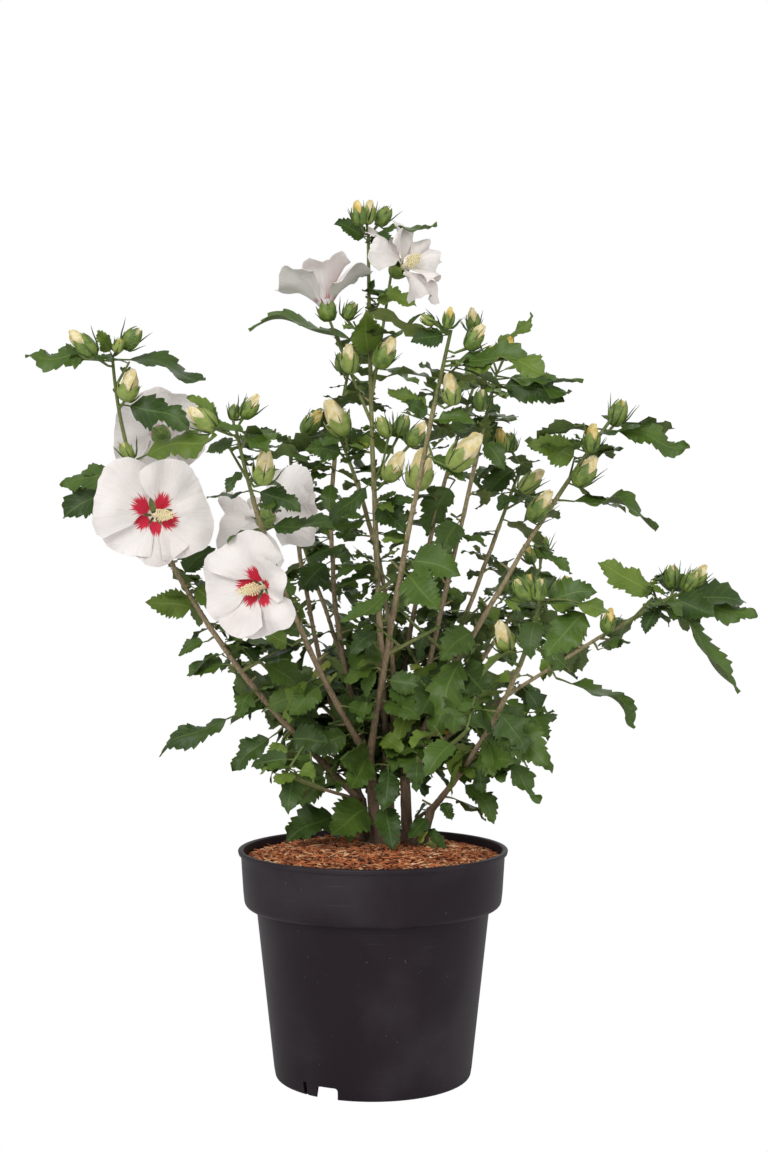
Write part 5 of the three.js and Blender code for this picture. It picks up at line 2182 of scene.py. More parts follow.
BUD_FINISHES: tuple[Finish, ...] = (
    Finish("calyx_green", (0.1, 0.17, 0.027, 1), (0.21, 0.29, 0.05, 1), 0.5, 150, 600, 0.15),
    Finish("calyx_pale", (0.21, 0.29, 0.052, 1), (0.31, 0.38, 0.09, 1), 0.5, 150, 600, 0.15),
    Finish("bract_green", (0.035, 0.06, 0.018, 1), (0.08, 0.13, 0.028, 1), 0.55, 90),
    Finish("bud_cream", (0.72, 0.58, 0.25, 1), (0.85, 0.76, 0.48, 1), 0.65, 170, 700, 0.5),
    Finish("bud_gold", (0.66, 0.45, 0.09, 1), (0.82, 0.68, 0.28, 1), 0.65, 170, 700, 0.5),
    Finish("sepal_olive", (0.22, 0.24, 0.07, 1), (0.3, 0.31, 0.11, 1), 0.55, 90, 600, 0.15),
)


@dataclass(frozen=True)
class BudShape:
    """The build of a bud, in shares of its length."""

    radius: float
    cup: float  # height of the notches between the sepals
    tips: float  # height of the sepals' tips
    bracts: float


BUD_SHAPES: dict[BudKind, BudShape] = {
    BudKind.TIGHT: BudShape(0.3, 0.66, 0.97, 1.25),
    BudKind.RIPE: BudShape(0.27, 0.44, 0.74, 0.96),
    BudKind.FAT: BudShape(0.28, 0.3, 0.56, 0.78),
}
BUD_HEIGHTS = (0, 0.07, 0.18, 0.34, 0.52, 0.7, 0.84, 0.94, 1)  # shares of a bud's length
BUD_SWELLS = (0.3, 0.64, 0.88, 1.0, 0.97, 0.83, 0.62, 0.42, 0.2)  # against its greatest radius


class BudMaker:
    """Shapes buds, calyces and their bracts."""

    SEPALS = 5  # and as many furled petals
    PER_SEPAL = 4  # corners round each sepal
    PER_PETAL = 3  # corners round each furled petal
    CUP_ROWS = (0.0, 0.03, 0.12, 0.3, 0.52, 0.74, 0.9, 1.0)
    SEPAL_CURVE = 1.15
    THICKNESS = 0.6
    FURL_ROWS = (0.04, 0.2, 0.36, 0.52, 0.66, 0.78, 0.88, 0.95, 1.0)
    FURL_TURN = 1.3  # how far the furled petals wind from foot to tip, in radians
    FURL_STEP = 0.3  # how far an edge stands over the next one
    FURL_LIFT = 0.03  # how much higher it ends
    FURL_CREASE: Span = (0.16, 3.5)  # depth of the creases, against the radius, and their length
    LEAST_FURLED = 0.5
    CUP_ROOM: Triple = (1.06, 0.05, 0.3)  # against the bud's radius, less of it at a notch, and what is added
    FURLED_SHARE = 0.88  # of the bud's radius, that the furled petals have
    TIGHT_SHARE = 0.93  # of its length, that they have in a tight bud
    BRACTS = 7
    BRACT_TURNS = (1.9, 1.0, 0.7, 0.9)  # lean of each stretch, against how far it opens
    BRACT_RADII = (0.85, 0.9, 0.75, 0.5, 0.1)
    BRACT_FOOT = 1.4
    BRACT_STRAY: Span = (-0.25, 0.25)  # from its place in the ring, against the step
    BRACT_LENGTHS: Span = (0.7, 1.1)
    BRACT_SPREAD: Span = (0.3, 0.8)
    STOUTNESS: Span = (0.92, 1.08)
    OTHER_SHARE = 0.35  # of buds that take the less common tone
    FLARE = 0.05

    def swell(self, share: float) -> float:
        """A bud's radius at a share of its length, against its greatest."""
        return float(np.interp(share, BUD_HEIGHTS, BUD_SWELLS))

    def bract(
        self, foot: Point, out: Point, axis: Point, length: float, spread: float
    ) -> tuple[np.ndarray, list[Face]]:
        """A thin pointed bract that leaves the calyx's foot, follows it up and leans out again.

        Args:
            foot: Where it starts.
            out: The direction away from the axis.
            axis: The bud's own direction.
            length: The bract's length.
            spread: How far it opens, in radians.

        Returns:
            Its vertices and faces.
        """
        angles = spread * np.array(self.BRACT_TURNS)
        steps = np.outer(np.cos(angles), axis) + np.outer(np.sin(angles), out)
        line = foot + np.vstack([np.zeros(3), np.cumsum(steps, axis=0)]) * length / len(angles)
        return tube(line, np.array(self.BRACT_RADII), 4)

    def cup(
        self, foot: Point, axis: Point, radius: float, length: float, notch: float, tips: float, flare: float
    ) -> tuple[np.ndarray, list[Face], list[int]]:
        """A calyx: a cup of pointed sepals that lie along a bud.

        Args:
            foot: Where the stalk enters.
            axis: The direction it opens to.
            radius: The bud's greatest radius.
            length: The bud's length.
            notch: Height of the notches between the sepals, as a share of the length.
            tips: Height of the sepals' tips, as a share of the length.
            flare: How far the tips lean out, as a share of the radius.

        Returns:
            Its vertices, faces, and which faces are the outside.
        """
        frame = square_to(axis)
        count = self.SEPALS * self.PER_SEPAL
        wide, less, room = self.CUP_ROOM
        rows = []
        for share in self.CUP_ROWS:
            row = []
            for k in range(count + 1):
                aside = abs((k % self.PER_SEPAL) / self.PER_SEPAL - 0.5) * 2
                height = share * (notch + (tips - notch) * (1 - aside) ** self.SEPAL_CURVE)
                reach = radius * self.swell(height) * (wide - less * aside) + room
                reach = reach * min(share / self.CUP_ROWS[1], 1) + radius * flare * share**3 * (1 - aside)
                row.append(foot + axis * length * height + around(frame, 2 * math.pi * k / count) * reach)
            rows.append(row)
        return shell(np.array(rows), self.THICKNESS)

    def furled(self, foot: Point, axis: Point, radius: float, length: float) -> tuple[np.ndarray, list[Face]]:
        """The furled petals: a spindle of five edges that wind over each other to a blunt tip.

        Args:
            foot: Where the petals begin.
            axis: The way they point.
            radius: Their greatest radius.
            length: Their length.

        Returns:
            Their vertices and faces.
        """
        frame = square_to(axis)
        sides, rows = self.SEPALS * self.PER_PETAL, []
        depth, crease = self.FURL_CREASE
        for share in self.FURL_ROWS:
            for k in range(sides):
                out = around(frame, 2 * math.pi * k / sides + self.FURL_TURN * share)
                edge = (k % self.PER_PETAL) / (self.PER_PETAL - 1) - 0.5
                reach = radius * self.swell(share) * (1 + self.FURL_STEP * edge * share)
                place = foot + axis * length * (share + self.FURL_LIFT * edge)
                place = place + out * max(reach, self.LEAST_FURLED)
                rows.append(place + (out + axis) * share * radius * depth * ruffle(place, crease))
        return np.array(rows), ring_faces(len(self.FURL_ROWS), sides)

    def add_bracts(self, into: Gathering, foot: Point, axis: Point, length: float, dice: Dice) -> None:
        """Adds the ring of bracts under a calyx.

        Args:
            into: The piece that they join.
            foot: Where the calyx begins.
            axis: The way it opens.
            length: Their usual length.
            dice: The bud's source of numbers.
        """
        frame = square_to(axis)
        for k in range(self.BRACTS):
            out = around(frame, 2 * math.pi * (k + dice.between(*self.BRACT_STRAY)) / self.BRACTS)
            size, spread = length * dice.between(*self.BRACT_LENGTHS), dice.between(*self.BRACT_SPREAD)
            into.add(*self.bract(foot + out * self.BRACT_FOOT, out, axis, size, spread), int(BudLook.BRACT))

    def add_bud(
        self, into: Gathering, foot: Point, axis: Point, length: float, kind: BudKind, dice: Dice
    ) -> None:
        """Adds a bud to the piece of buds.

        Args:
            into: The piece that it joins.
            foot: Where its stalk ends.
            axis: The way it points.
            length: From its foot to its tip.
            kind: How far it has come.
            dice: The bud's source of numbers.
        """
        shape = BUD_SHAPES[kind]
        fat = kind is BudKind.FAT
        radius = shape.radius * length * dice.between(*self.STOUTNESS)
        calyx = BudLook.PALE_CALYX if fat or dice.roll() < self.OTHER_SHARE else BudLook.CALYX
        points, faces, _ = self.cup(foot, axis, radius, length, shape.cup, shape.tips, self.FLARE)
        into.add(points, faces, int(calyx))
        look = BudLook.GOLD if not fat and dice.roll() < self.OTHER_SHARE else BudLook.CREAM
        inner = length * (self.TIGHT_SHARE if kind is BudKind.TIGHT else 1.0)
        into.add(*self.furled(foot, axis, radius * self.FURLED_SHARE, inner), int(look))
        self.add_bracts(into, foot, axis, length * shape.bracts, dice)


class PetalLook(IntEnum):
    """The finishes of the petals, by their place among the piece's materials."""

    FACE = 0
    BACK = 1
    PLAIN_FACE = 2


PETAL_FINISHES: tuple[Finish, ...] = (
    PetalFinish("petal_face", (0.9, 0.85, 0.82, 1), (0.84, 0.78, 0.75, 1), 0.6, 30, 260, 0.6),
    # The back's base colour is paler than the face's: painted light, standing in for light that shines
    # through the thin petal onto its shaded back.
    PetalFinish(
        "petal_back", (0.95, 0.9, 0.87, 1), (0.9, 0.84, 0.81, 1), 0.65, 30, 260, 0.6,
        blotch=(0.66, 0.36, 0.4, 1), reach=0.2, vein=(0.62, 0.42, 0.46, 1), vein_share=0.2,
    ),
    PetalFinish("petal_plain", (0.93, 0.88, 0.84, 1), (0.88, 0.82, 0.78, 1), 0.6, 30, 260, 0.6, reach=0.02),
)
STAMEN_FINISHES: tuple[Finish, ...] = (
    Finish("column_cream", (0.95, 0.86, 0.6, 1), (0.92, 0.8, 0.5, 1), 0.6, 150, 900, 0.2),
    Finish("anther_cream", (0.98, 0.92, 0.66, 1), (0.96, 0.86, 0.5, 1), 0.7, 300, 900, 0.2),
)


class BlossomMaker:
    """Shapes open blossoms: five overlapping petals, the column of stamens and the calyx."""

    PETALS = 5
    ROWS = 20
    COLUMNS = 21
    COLUMN_LENGTH = 27.0
    COLUMN_START: Span = (0.4, 0.6)  # how far it leaves along the blossom's axis, and along its own way
    ANTHERS = 110
    ANTHER_SPREAD: Triple = (0.3, 0.64, 0.9)  # their first share of the column, the rest, and its curve
    FILAMENTS: Triple = (3.4, 2.2, 0.8)  # least length, what the middle ones have more, and their rise
    FILAMENT_LENGTHS: Span = (0.8, 1.15)
    STYLES: Triple = (0.97, 2.4, 1.8)  # where they leave the column, and how far out and up they reach
    STYLE_BOW = 0.5
    SEPAL_REACH = 21.0
    PETAL_HALF = 55.0  # half of a petal's full width, in degrees
    THROAT = 0.18  # radius of the throat for each degree of the claws' half width
    THICKNESS = 0.5
    LEANS: Span = (-4, 4)  # how much more or less than its blossom a petal opens, in degrees
    CURLS: Span = (20, 30)
    BEATS: Span = (1.4, 2.6)  # waves across a petal
    SKEW: Span = (-0.09, 0.09)
    SHOULDER = 0.19  # how much shorter a petal is at its sides
    LOBES = 0.055  # depth of the waves in its edge
    CUPPING = 0.07  # how far one side overlaps the next petal
    DRAWN_IN = 0.3  # how far wilting draws its edge in
    WAVE: Span = (0.06, 0.1)  # height of the waves across it, and what wilting adds
    FOLDS: Triple = (0.1, 0.14, 21.0)  # the same for its broad folds, and their length
    FRILL: Triple = (0.03, 2.0, 6.0)  # height of its frill, how much wilting adds to it, and its length
    DENTS: Triple = (2.0, 5.0, 9.0)  # depth of the dents in its edge, what wilting adds, and their length
    SEPAL_OPEN: Span = (8, 24)  # how much further than a petal a sepal opens and curls, in degrees
    SEPAL_FOOT = 4.0
    SEPAL_STRAY: Span = (-3, 3)
    SEPAL_THICKNESS = 0.6
    SEPAL_HALVES = (4.2, 5.2, 5.4, 4.4, 2.6, 0.3)
    SEPAL_COLUMNS = (-1, -0.5, 0, 0.5, 1)
    SEPAL_KEEL = 0.12
    BEHIND: Span = (1.5, 2.2)  # how far the sepals lie behind the petals: out and down
    COLUMN_RADII = (2.8, 2.6, 2.2, 2.0, 1.8, 1.6, 1.2, 0.7)
    ANTHER_RADII: Span = (0.75, 1.15)
    FILAMENT_RADII: Span = (0.25, 0.2)
    STIGMAS, STIGMA_RADIUS = 5, 1.2
    STYLE_RADII = (0.5, 0.4, 0.3)

    def section(
        self, blossom: Blossom, lean: float, curl: float
    ) -> tuple[np.ndarray, np.ndarray, np.ndarray]:
        """The curve of a petal from its claw to its edge.

        Args:
            blossom: The blossom that it belongs to.
            lean: How much further than its blossom it opens, in degrees.
            curl: How far it bends over along its length, in degrees.

        Returns:
            The shares along it, and how far out and how far up the axis it is at each.
        """
        shares = np.linspace(0.02, 1, self.ROWS)
        tilt = np.radians(blossom.open + lean + curl * (2 * shares**0.8 - 1))
        outs = np.concatenate([[0], np.cumsum(np.diff(shares) * np.sin(tilt[1:]))])
        rises = np.concatenate([[0], np.cumsum(np.diff(shares) * np.cos(tilt[1:]))])
        return shares, outs * blossom.reach, rises * blossom.reach

    def petal(self, blossom: Blossom, number: int, dice: Dice) -> tuple[np.ndarray, np.ndarray]:
        """Shapes the grid of one petal.

        Args:
            blossom: The blossom that it belongs to.
            number: Its place round the axis.
            dice: The petal's source of numbers.

        Returns:
            Rows of points from the claw to the edge, and a pair across and along for each.
        """
        frame = square_to(blossom.axis)
        throat = np.array(blossom.throat, float)
        turn, long, lean = blossom.turn + 360 * number / self.PETALS, 1.0, 0.0
        if blossom.petals:
            turn, long, lean = blossom.petals[number]
        lean += dice.between(*self.LEANS)
        shares, outs, rises = self.section(blossom, lean, dice.between(*self.CURLS))
        outs, rises, size = outs * long, rises * long, blossom.reach
        start, wilt = math.radians(turn), blossom.crumple
        beat, phase = dice.between(*self.BEATS), dice.between(*ANY_PHASE)
        skew = dice.between(*self.SKEW)
        fresh, wilted, length = self.FOLDS
        frill, more, frill_length = self.FRILL
        dented, worse, dent_length = self.DENTS
        grid = np.zeros((self.ROWS, self.COLUMNS, 3))
        pairs = np.zeros((self.ROWS, self.COLUMNS, 2))
        for i, share in enumerate(shares):
            half = math.radians(blossom.claw + (self.PETAL_HALF - blossom.claw) * float(smooth(share / 0.5)))
            for j, v in enumerate(np.linspace(-1, 1, self.COLUMNS)):
                rounded = 1 - self.SHOULDER * abs(v) ** 3 * share + skew * v * share
                rounded = rounded - self.LOBES * share * math.cos(5 * v + phase)
                pull = 1 - self.DRAWN_IN * wilt * share * (0.5 + 0.5 * math.sin(5 * v + phase))
                way = around(frame, start + v * half)
                out = outs[i] * rounded * pull + self.THROAT * blossom.claw
                place = throat + way * out + blossom.axis * rises[i] * rounded
                wave = (self.WAVE[0] + self.WAVE[1] * wilt) * share**2 * math.sin(beat * math.pi * v + phase)
                fold = self.CUPPING * v * share + wave
                fold += (fresh + wilted * wilt) * share**1.5 * ruffle(place, length)
                fold += frill * (1 + more * wilt) * share**5 * ruffle(place, frill_length)
                dent = (dented + worse * wilt) * share**5 * ruffle(place + 40, dent_length)
                grid[i, j] = place + blossom.axis * fold * size + way * dent
                pairs[i, j] = ((v + 1) / 2, share)
        return grid, pairs

    def add_petals(self, into: Gathering, blossom: Blossom, dice: Dice) -> None:
        """Adds a blossom's petals to the piece of petals.

        Args:
            into: The piece of petals.
            blossom: The blossom.
            dice: Its source of numbers.
        """
        front = PetalLook.FACE if blossom.eye else PetalLook.PLAIN_FACE
        for number in range(self.PETALS):
            grid, pairs = self.petal(blossom, number, dice)
            points, faces, sides = shell(grid, self.THICKNESS)
            looks = [int(front) if side == 0 else int(PetalLook.BACK) for side in sides]
            flat = pairs.reshape(-1, 2)
            into.add(points, faces, looks, np.vstack([flat, flat]))

    def add_sepals(self, into: Gathering, blossom: Blossom, dice: Dice) -> None:
        """Adds the five sepals that lie behind the petals and show between their claws.

        Args:
            into: The piece that they join.
            blossom: The blossom.
            dice: Its source of numbers.
        """
        frame = square_to(blossom.axis)
        throat = np.array(blossom.throat, float)
        _, outs, rises = self.section(blossom, *self.SEPAL_OPEN)
        reaches = np.linspace(self.SEPAL_FOOT, self.SEPAL_REACH * blossom.sepals, len(self.SEPAL_HALVES))
        further, behind = self.BEHIND
        for k in range(self.PETALS):
            turn = math.radians(blossom.turn + 360 * (k + 0.5) / self.PETALS)
            if blossom.petals:
                here, after = blossom.petals[k][0], blossom.petals[(k + 1) % self.PETALS][0]
                turn = math.radians(here + ((after - here) % 360) / 2 + dice.between(*self.SEPAL_STRAY))
            way = around(frame, turn)
            aside, lift = np.cross(blossom.axis, way), blossom.axis * self.SEPAL_KEEL
            rows = []
            for reach, half in zip(reaches, self.SEPAL_HALVES):
                rise = float(np.interp(reach, outs + further, rises)) - behind
                middle = throat + way * reach + blossom.axis * rise
                rows.append([middle + aside * half * v + lift * abs(half * v) for v in self.SEPAL_COLUMNS])
            points, faces, _ = shell(np.array(rows), self.SEPAL_THICKNESS)
            into.add(points, faces, int(BudLook.OLIVE))

    def add_stamens(self, into: Gathering, blossom: Blossom, dice: Dice) -> None:
        """Adds the column with its anthers and stigmas to the piece of stamens.

        Args:
            into: The piece of stamens.
            blossom: The blossom.
            dice: Its source of numbers.
        """
        way = blossom.axis if blossom.column is None else unit(np.array(blossom.column, float))
        frame = square_to(way)
        throat = np.array(blossom.throat, float)
        length = self.COLUMN_LENGTH * (1 - self.DRAWN_IN * blossom.crumple)
        start = blossom.axis * self.COLUMN_START[0] + way * self.COLUMN_START[1]
        first, rest, curve = self.ANTHER_SPREAD
        least, more, rise = self.FILAMENTS

        def along(share: float) -> Point:
            """The place at a share of the column, which leaves the throat along the axis and bends."""
            return throat + (start * share * (1 - share) + way * share**2) * length

        line = np.array([along(share) for share in np.linspace(-0.1, 1, len(self.COLUMN_RADII))])
        into.add(*tube(line, np.array(self.COLUMN_RADII), 8))
        for k in range(self.ANTHERS):
            share = first + rest * (k / self.ANTHERS) ** curve
            out = around(frame, k * DIVERGENCE)
            reach = least + more * math.sin(math.pi * min(share * 1.1, 1))
            reach *= dice.between(*self.FILAMENT_LENGTHS)
            root, end = along(share) + out, along(share) + out * reach + way * rise
            into.add(*tube(np.array([root, end]), np.array(self.FILAMENT_RADII), 3))
            self.add_knob(into, end, dice.between(*self.ANTHER_RADII))
        for k in range(self.STIGMAS):
            out = around(frame, 2 * math.pi * k / self.STIGMAS)
            parting, aside, up = self.STYLES
            root, end = along(parting), along(1.0) + out * aside + way * up
            line = np.array([root, (root + end) / 2 + way * self.STYLE_BOW, end])
            into.add(*tube(line, np.array(self.STYLE_RADII), 4))
            self.add_knob(into, end, self.STIGMA_RADIUS)

    def add_knob(self, into: Gathering, place: Point, radius: float) -> None:
        """Adds a small faceted knob, such as an anther.

        Args:
            into: The piece that it joins.
            place: Its middle.
            radius: From there to each corner.
        """
        corners = np.array([[1, 0, 0], [-1, 0, 0], [0, 1, 0], [0, -1, 0], [0, 0, 1], [0, 0, -1]], float)
        faces = [(0, 2, 4), (2, 1, 4), (1, 3, 4), (3, 0, 4), (2, 0, 5), (1, 2, 5), (3, 1, 5), (0, 3, 5)]
        into.add(place + corners * radius, faces, 1)


# ---------------------------------------------------------------- the sub-assemblies


def hand_over(piece: Piece, replaced: Iterable[str] = ()) -> Piece:
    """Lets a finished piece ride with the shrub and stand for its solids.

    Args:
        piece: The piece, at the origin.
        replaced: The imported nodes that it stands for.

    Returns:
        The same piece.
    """
    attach(piece, BODY)
    names = list(replaced)
    if names:
        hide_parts(*names)
    log.info("%s: %d faces, stands for %d nodes", piece.name, len(piece.data.polygons), len(names))
    return piece


@dataclass
class Foliage:
    """The crown: twigs, leaves, buds and blossoms, each kind joined apart."""

    effects: Effects
    low: Point
    high: Point
    clear: float = 1.5  # kept from a limb's surface
    middle_at: float = 0.4  # share of a leaf's length at which it counts as one mass's or another's
    most_in_gap: float = 0.14  # share of a leaf that may stand in the crown's gaps
    turns: int = 5  # how often a leaf is turned or shortened until it suits its place
    shrink: float = 0.9
    facing: Span = (0.4, 0.2)  # how far low and high blades turn to the front light, in radians
    lift: float = 0.5  # share of its droop that a high leaf keeps
    roll_kept: float = 0.7
    leaf_twig: float = 9.0  # steps: a leaf set further than this from its stem has a twig of its own
    twig_depth: float = 0.4  # share of the leaf's own depth that its twig takes
    twig_arch: float = 0.06  # how far that twig arches, as a share of its length
    twig_radii: Triple = (1.4, 1.2, 0.9)
    twig_age: float = 0.9
    twig_sides: int = 6
    placed_roll: Span = (-0.15, 0.15)  # stray of a listed leaf
    placed_droop: Span = (0.35, 0.9)
    tries: int = 8  # how often it is drawn in until it stays in the box
    drawn_in: float = 0.98
    most_turn: float = 1.75  # of a leaf towards the front, in radians
    away_turn: float = 2.4  # a leaf that needs more than this looks well away
    limbs: Limbs = field(default_factory=Limbs)
    gaps: CrownGaps = field(default_factory=CrownGaps)
    sparse_below: float = 345.0  # height under which few leaves grow by the rule
    sparse_share: float = 0.5  # of them that grow there
    height: float = 650.0  # of the crown over the mulch
    sprouts: float = 0.965  # share of the small leaves past which one is a sprout
    light_share: Span = (0.12, 0.32)  # of light leaves, at the foot and at the top
    mid_share: float = 0.46
    stalk_width: Span = (0.5, 0.005)  # of a leaf's stalk, and how much more for each millimetre of leaf
    stalk_taper: Triple = (1.3, 1.0, 0.8)
    bud_stalk: Triple = (1.2, 1.15, 1.7)
    bud_bend: float = 0.3  # share of a bud's length by which its stalk comes round from behind
    tight_share: float = 0.4  # of the buds that stay tight
    tight_length: float = 0.85
    ripe_length: float = 1.1
    calyx: Span = (8.5, 26.0)  # radius and length of an open blossom's
    calyx_cup: Triple = (0.5, 0.72, 0.3)  # notches and tips of its sepals, and their flare
    calyx_bracts: float = 20.0
    maker: LeafMaker = field(default_factory=LeafMaker)
    fine_maker: LeafMaker = field(default_factory=lambda: LeafMaker(fine=True))
    bud_maker: BudMaker = field(default_factory=BudMaker)
    blossom_maker: BlossomMaker = field(default_factory=BlossomMaker)
    twigs: Gathering = field(default_factory=Gathering)
    buds: Gathering = field(default_factory=Gathering)
    petals: Gathering = field(default_factory=Gathering)
    stamens: Gathering = field(default_factory=Gathering)
    layers: dict[str, Gathering] = field(default_factory=lambda: {name: Gathering() for name in LAYERS})
    fallen_bend: Span = (1.4, 0.9)  # droop and roll of a dropped leaf
    count: int = 0

    def fits(self, points: np.ndarray) -> bool:
        """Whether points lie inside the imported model's box."""
        return bool((points > self.low).all() and (points < self.high).all())

    def layer(self, height: float) -> str:
        """The piece of leaves that a height belongs to."""
        return next(name for name, (low, high) in LAYERS.items() if low <= height < high)

    def tone(self, leaf: Leaf, dice: Dice) -> Tone:
        """Deals a leaf its tone: deep inside and low down, lighter at the top and on young tufts.

        Args:
            leaf: The leaf.
            dice: Its source of numbers.

        Returns:
            The tone of its face.
        """
        height = float((leaf.root[2] - GROUND) / self.height)
        share = dice.roll()
        if leaf.small and share > self.sprouts:
            return Tone.SPROUT
        light = part_way(self.light_share, height)
        if share < light:
            return Tone.LIGHT
        return Tone.MID if share < light + self.mid_share else Tone.DEEP

    def nearest(self, place: Point, masses: Sequence[Mass]) -> Mass:
        """The mass whose stem is nearest to a place."""
        return min(masses, key=lambda mass: float(np.linalg.norm(mass.spine - place, axis=1).min()))

    def add_blade(self, leaf: Leaf, blade: Blade, tone: Tone) -> None:
        """Adds a shaped blade and its stalk.

        Args:
            leaf: The leaf as the rule places it.
            blade: Its shaped blade.
            tone: The finish of its face.
        """
        back = Tone.PALE_BACK if tone in (Tone.LIGHT, Tone.SPROUT, Tone.AUTUMN) else Tone.BACK
        looks = [int(back if side else tone) for side in blade.sides]
        self.layers[self.layer(leaf.root[2])].add(blade.points, blade.faces, looks, blade.pairs)
        width = self.stalk_width[0] + leaf.length * self.stalk_width[1]
        self.twigs.add(*tube(blade.stalk, width * np.array(self.stalk_taper), 4), ages=1.0)
        self.count += 1

    def add_leaf(self, leaf: Leaf, dice: Dice, tone: Tone) -> bool:
        """Adds a leaf, turned or shortened until it suits its place.

        Args:
            leaf: The leaf as the rule places it.
            dice: The leaf's source of numbers.
            tone: Its finish.

        Returns:
            Whether it was added.
        """
        forms = LOW_FORMS if leaf.root[2] < BROAD_BELOW else HIGH_FORMS
        outline = OUTLINES[forms[int(dice.roll() * len(forms))]]
        high = SPUR.thinned(leaf.root[2])
        facing = part_way(self.facing, high)
        droop = leaf.droop * (1 - (1 - self.lift) * high)
        for _ in range(self.turns):
            heading = math.atan2(leaf.direction[1], leaf.direction[0])
            turned = replace(leaf, droop=droop, roll=leaf.roll * self.roll_kept + facing * math.cos(heading))
            blade = self.maker.blade(turned, outline, dice)
            if (
                self.fits(blade.points)
                and not self.limbs.touched_by(blade.front[:, 1], self.clear)
                and self.gaps.share_inside(blade.front.reshape(-1, 3)) < self.most_in_gap
            ):
                self.add_blade(leaf, blade, tone)
                return True
            if leaf.small:
                way = level(heading + DIVERGENCE) * math.hypot(*leaf.direction[:2]) + UP * leaf.direction[2]
                leaf = replace(leaf, direction=way, length=leaf.length * self.shrink)
            else:
                leaf = replace(leaf, length=leaf.length * self.shrink)
        return False

    def add_placed(self, bearer: str, placed: Placed, dice: Dice) -> None:
        """Adds a listed leaf, on a twig of its own where it stands off its stem.

        Args:
            bearer: The name of the stem or trunk that bears it.
            placed: The leaf.
            dice: Its source of numbers.
        """
        root, apart = SIGHT.leaving(bearer, placed.root)
        tip = SIGHT.place(placed.tip, root[1] + placed.deeper)
        if apart > self.leaf_twig:
            foot, root = root, SIGHT.place(placed.root, root[1] + placed.deeper * self.twig_depth)
            middle = (foot + root) / 2 + UP * float(np.linalg.norm(root - foot)) * self.twig_arch
            line, radii = np.array([foot, middle, root]), np.array(self.twig_radii)
            self.twigs.add(*tube(line, radii, self.twig_sides), ages=self.twig_age)
        reach = tip - root
        form, tone, facing = placed.look
        roll = self.front_turn(root, reach, FACINGS[facing]) + dice.between(*self.placed_roll)
        direction = unit(vec(reach[0], reach[1], 0))
        droop = dice.between(*self.placed_droop)
        leaf = Leaf(root, direction, float(np.linalg.norm(reach)), droop, roll, reach=reach)
        outline = OUTLINES[Form(form)].toothed(self.fine_maker.rows)
        for _ in range(self.tries):
            blade = self.fine_maker.blade(leaf, outline, dice)
            if self.fits(blade.points):
                self.add_blade(leaf, blade, TONE_LETTERS[tone])
                return
            leaf = replace(leaf, reach=leaf.reach * self.drawn_in)

    def front_turn(self, root: Point, reach: Point, share: float) -> float:
        """How far a leaf rolls about its own line towards facing the front, in radians.

        Args:
            root: Where the leaf begins.
            reach: From there to its tip.
            share: Of the whole turn, that it takes.

        Returns:
            The roll. Half turned leaves that look well away show their lower face.
        """
        heading = math.atan2(reach[1], reach[0])
        side = vec(-math.sin(heading), math.cos(heading), 0)
        upper, front = np.cross(unit(reach), side), unit(np.array(SIGHT.eye) - root)
        turn = math.atan2(-float(side @ front), float(upper @ front))
        if abs(turn) < self.away_turn:
            turn = float(np.clip(turn, -self.most_turn, self.most_turn))
        elif share < FACINGS["f"]:
            turn -= math.copysign(math.pi, turn)
        return share * turn

    def add_twig(self, twig: Twig) -> None:
        """Adds a twig."""
        ages = np.repeat(np.linspace(*twig.age, len(twig.line)), self.twig_sides)
        self.twigs.add(*tube(twig.line, twig.radii, self.twig_sides), ages=ages)

    def add_bud(self, root: Point, foot: Point, tip: Point, kind: BudKind, dice: Dice) -> None:
        """Adds a bud and the stalk that bears it.

        Args:
            root: Where its stalk leaves the stem.
            foot: Where its stalk ends.
            tip: The bud's own tip.
            kind: How far it has come.
            dice: The bud's source of numbers.
        """
        axis, length = unit(tip - foot), float(np.linalg.norm(tip - foot))
        bend = root * 0.5 + (foot - axis * length * self.bud_bend) * 0.5
        stalk = np.array([root, bend, foot + axis])
        self.twigs.add(*tube(stalk, np.array(self.bud_stalk), self.twig_sides), ages=1.0)
        self.bud_maker.add_bud(self.buds, foot, axis, length, kind, dice)

    def add_blossom(self, mass: Mass, dice: Dice) -> None:
        """Adds an open blossom: petals, column, calyx and bracts.

        Args:
            mass: The mass that bears it.
            dice: Its source of numbers.
        """
        axis = mass.blossom.axis
        self.blossom_maker.add_petals(self.petals, mass.blossom, dice)
        self.blossom_maker.add_stamens(self.stamens, mass.blossom, dice)
        if mass.blossom.sepals:
            self.blossom_maker.add_sepals(self.buds, mass.blossom, dice)
        points, faces, _ = self.bud_maker.cup(mass.calyx, axis, *self.calyx, *self.calyx_cup)
        self.buds.add(points, faces, int(BudLook.CALYX))
        self.bud_maker.add_bracts(self.buds, mass.calyx, axis, self.calyx_bracts, dice)

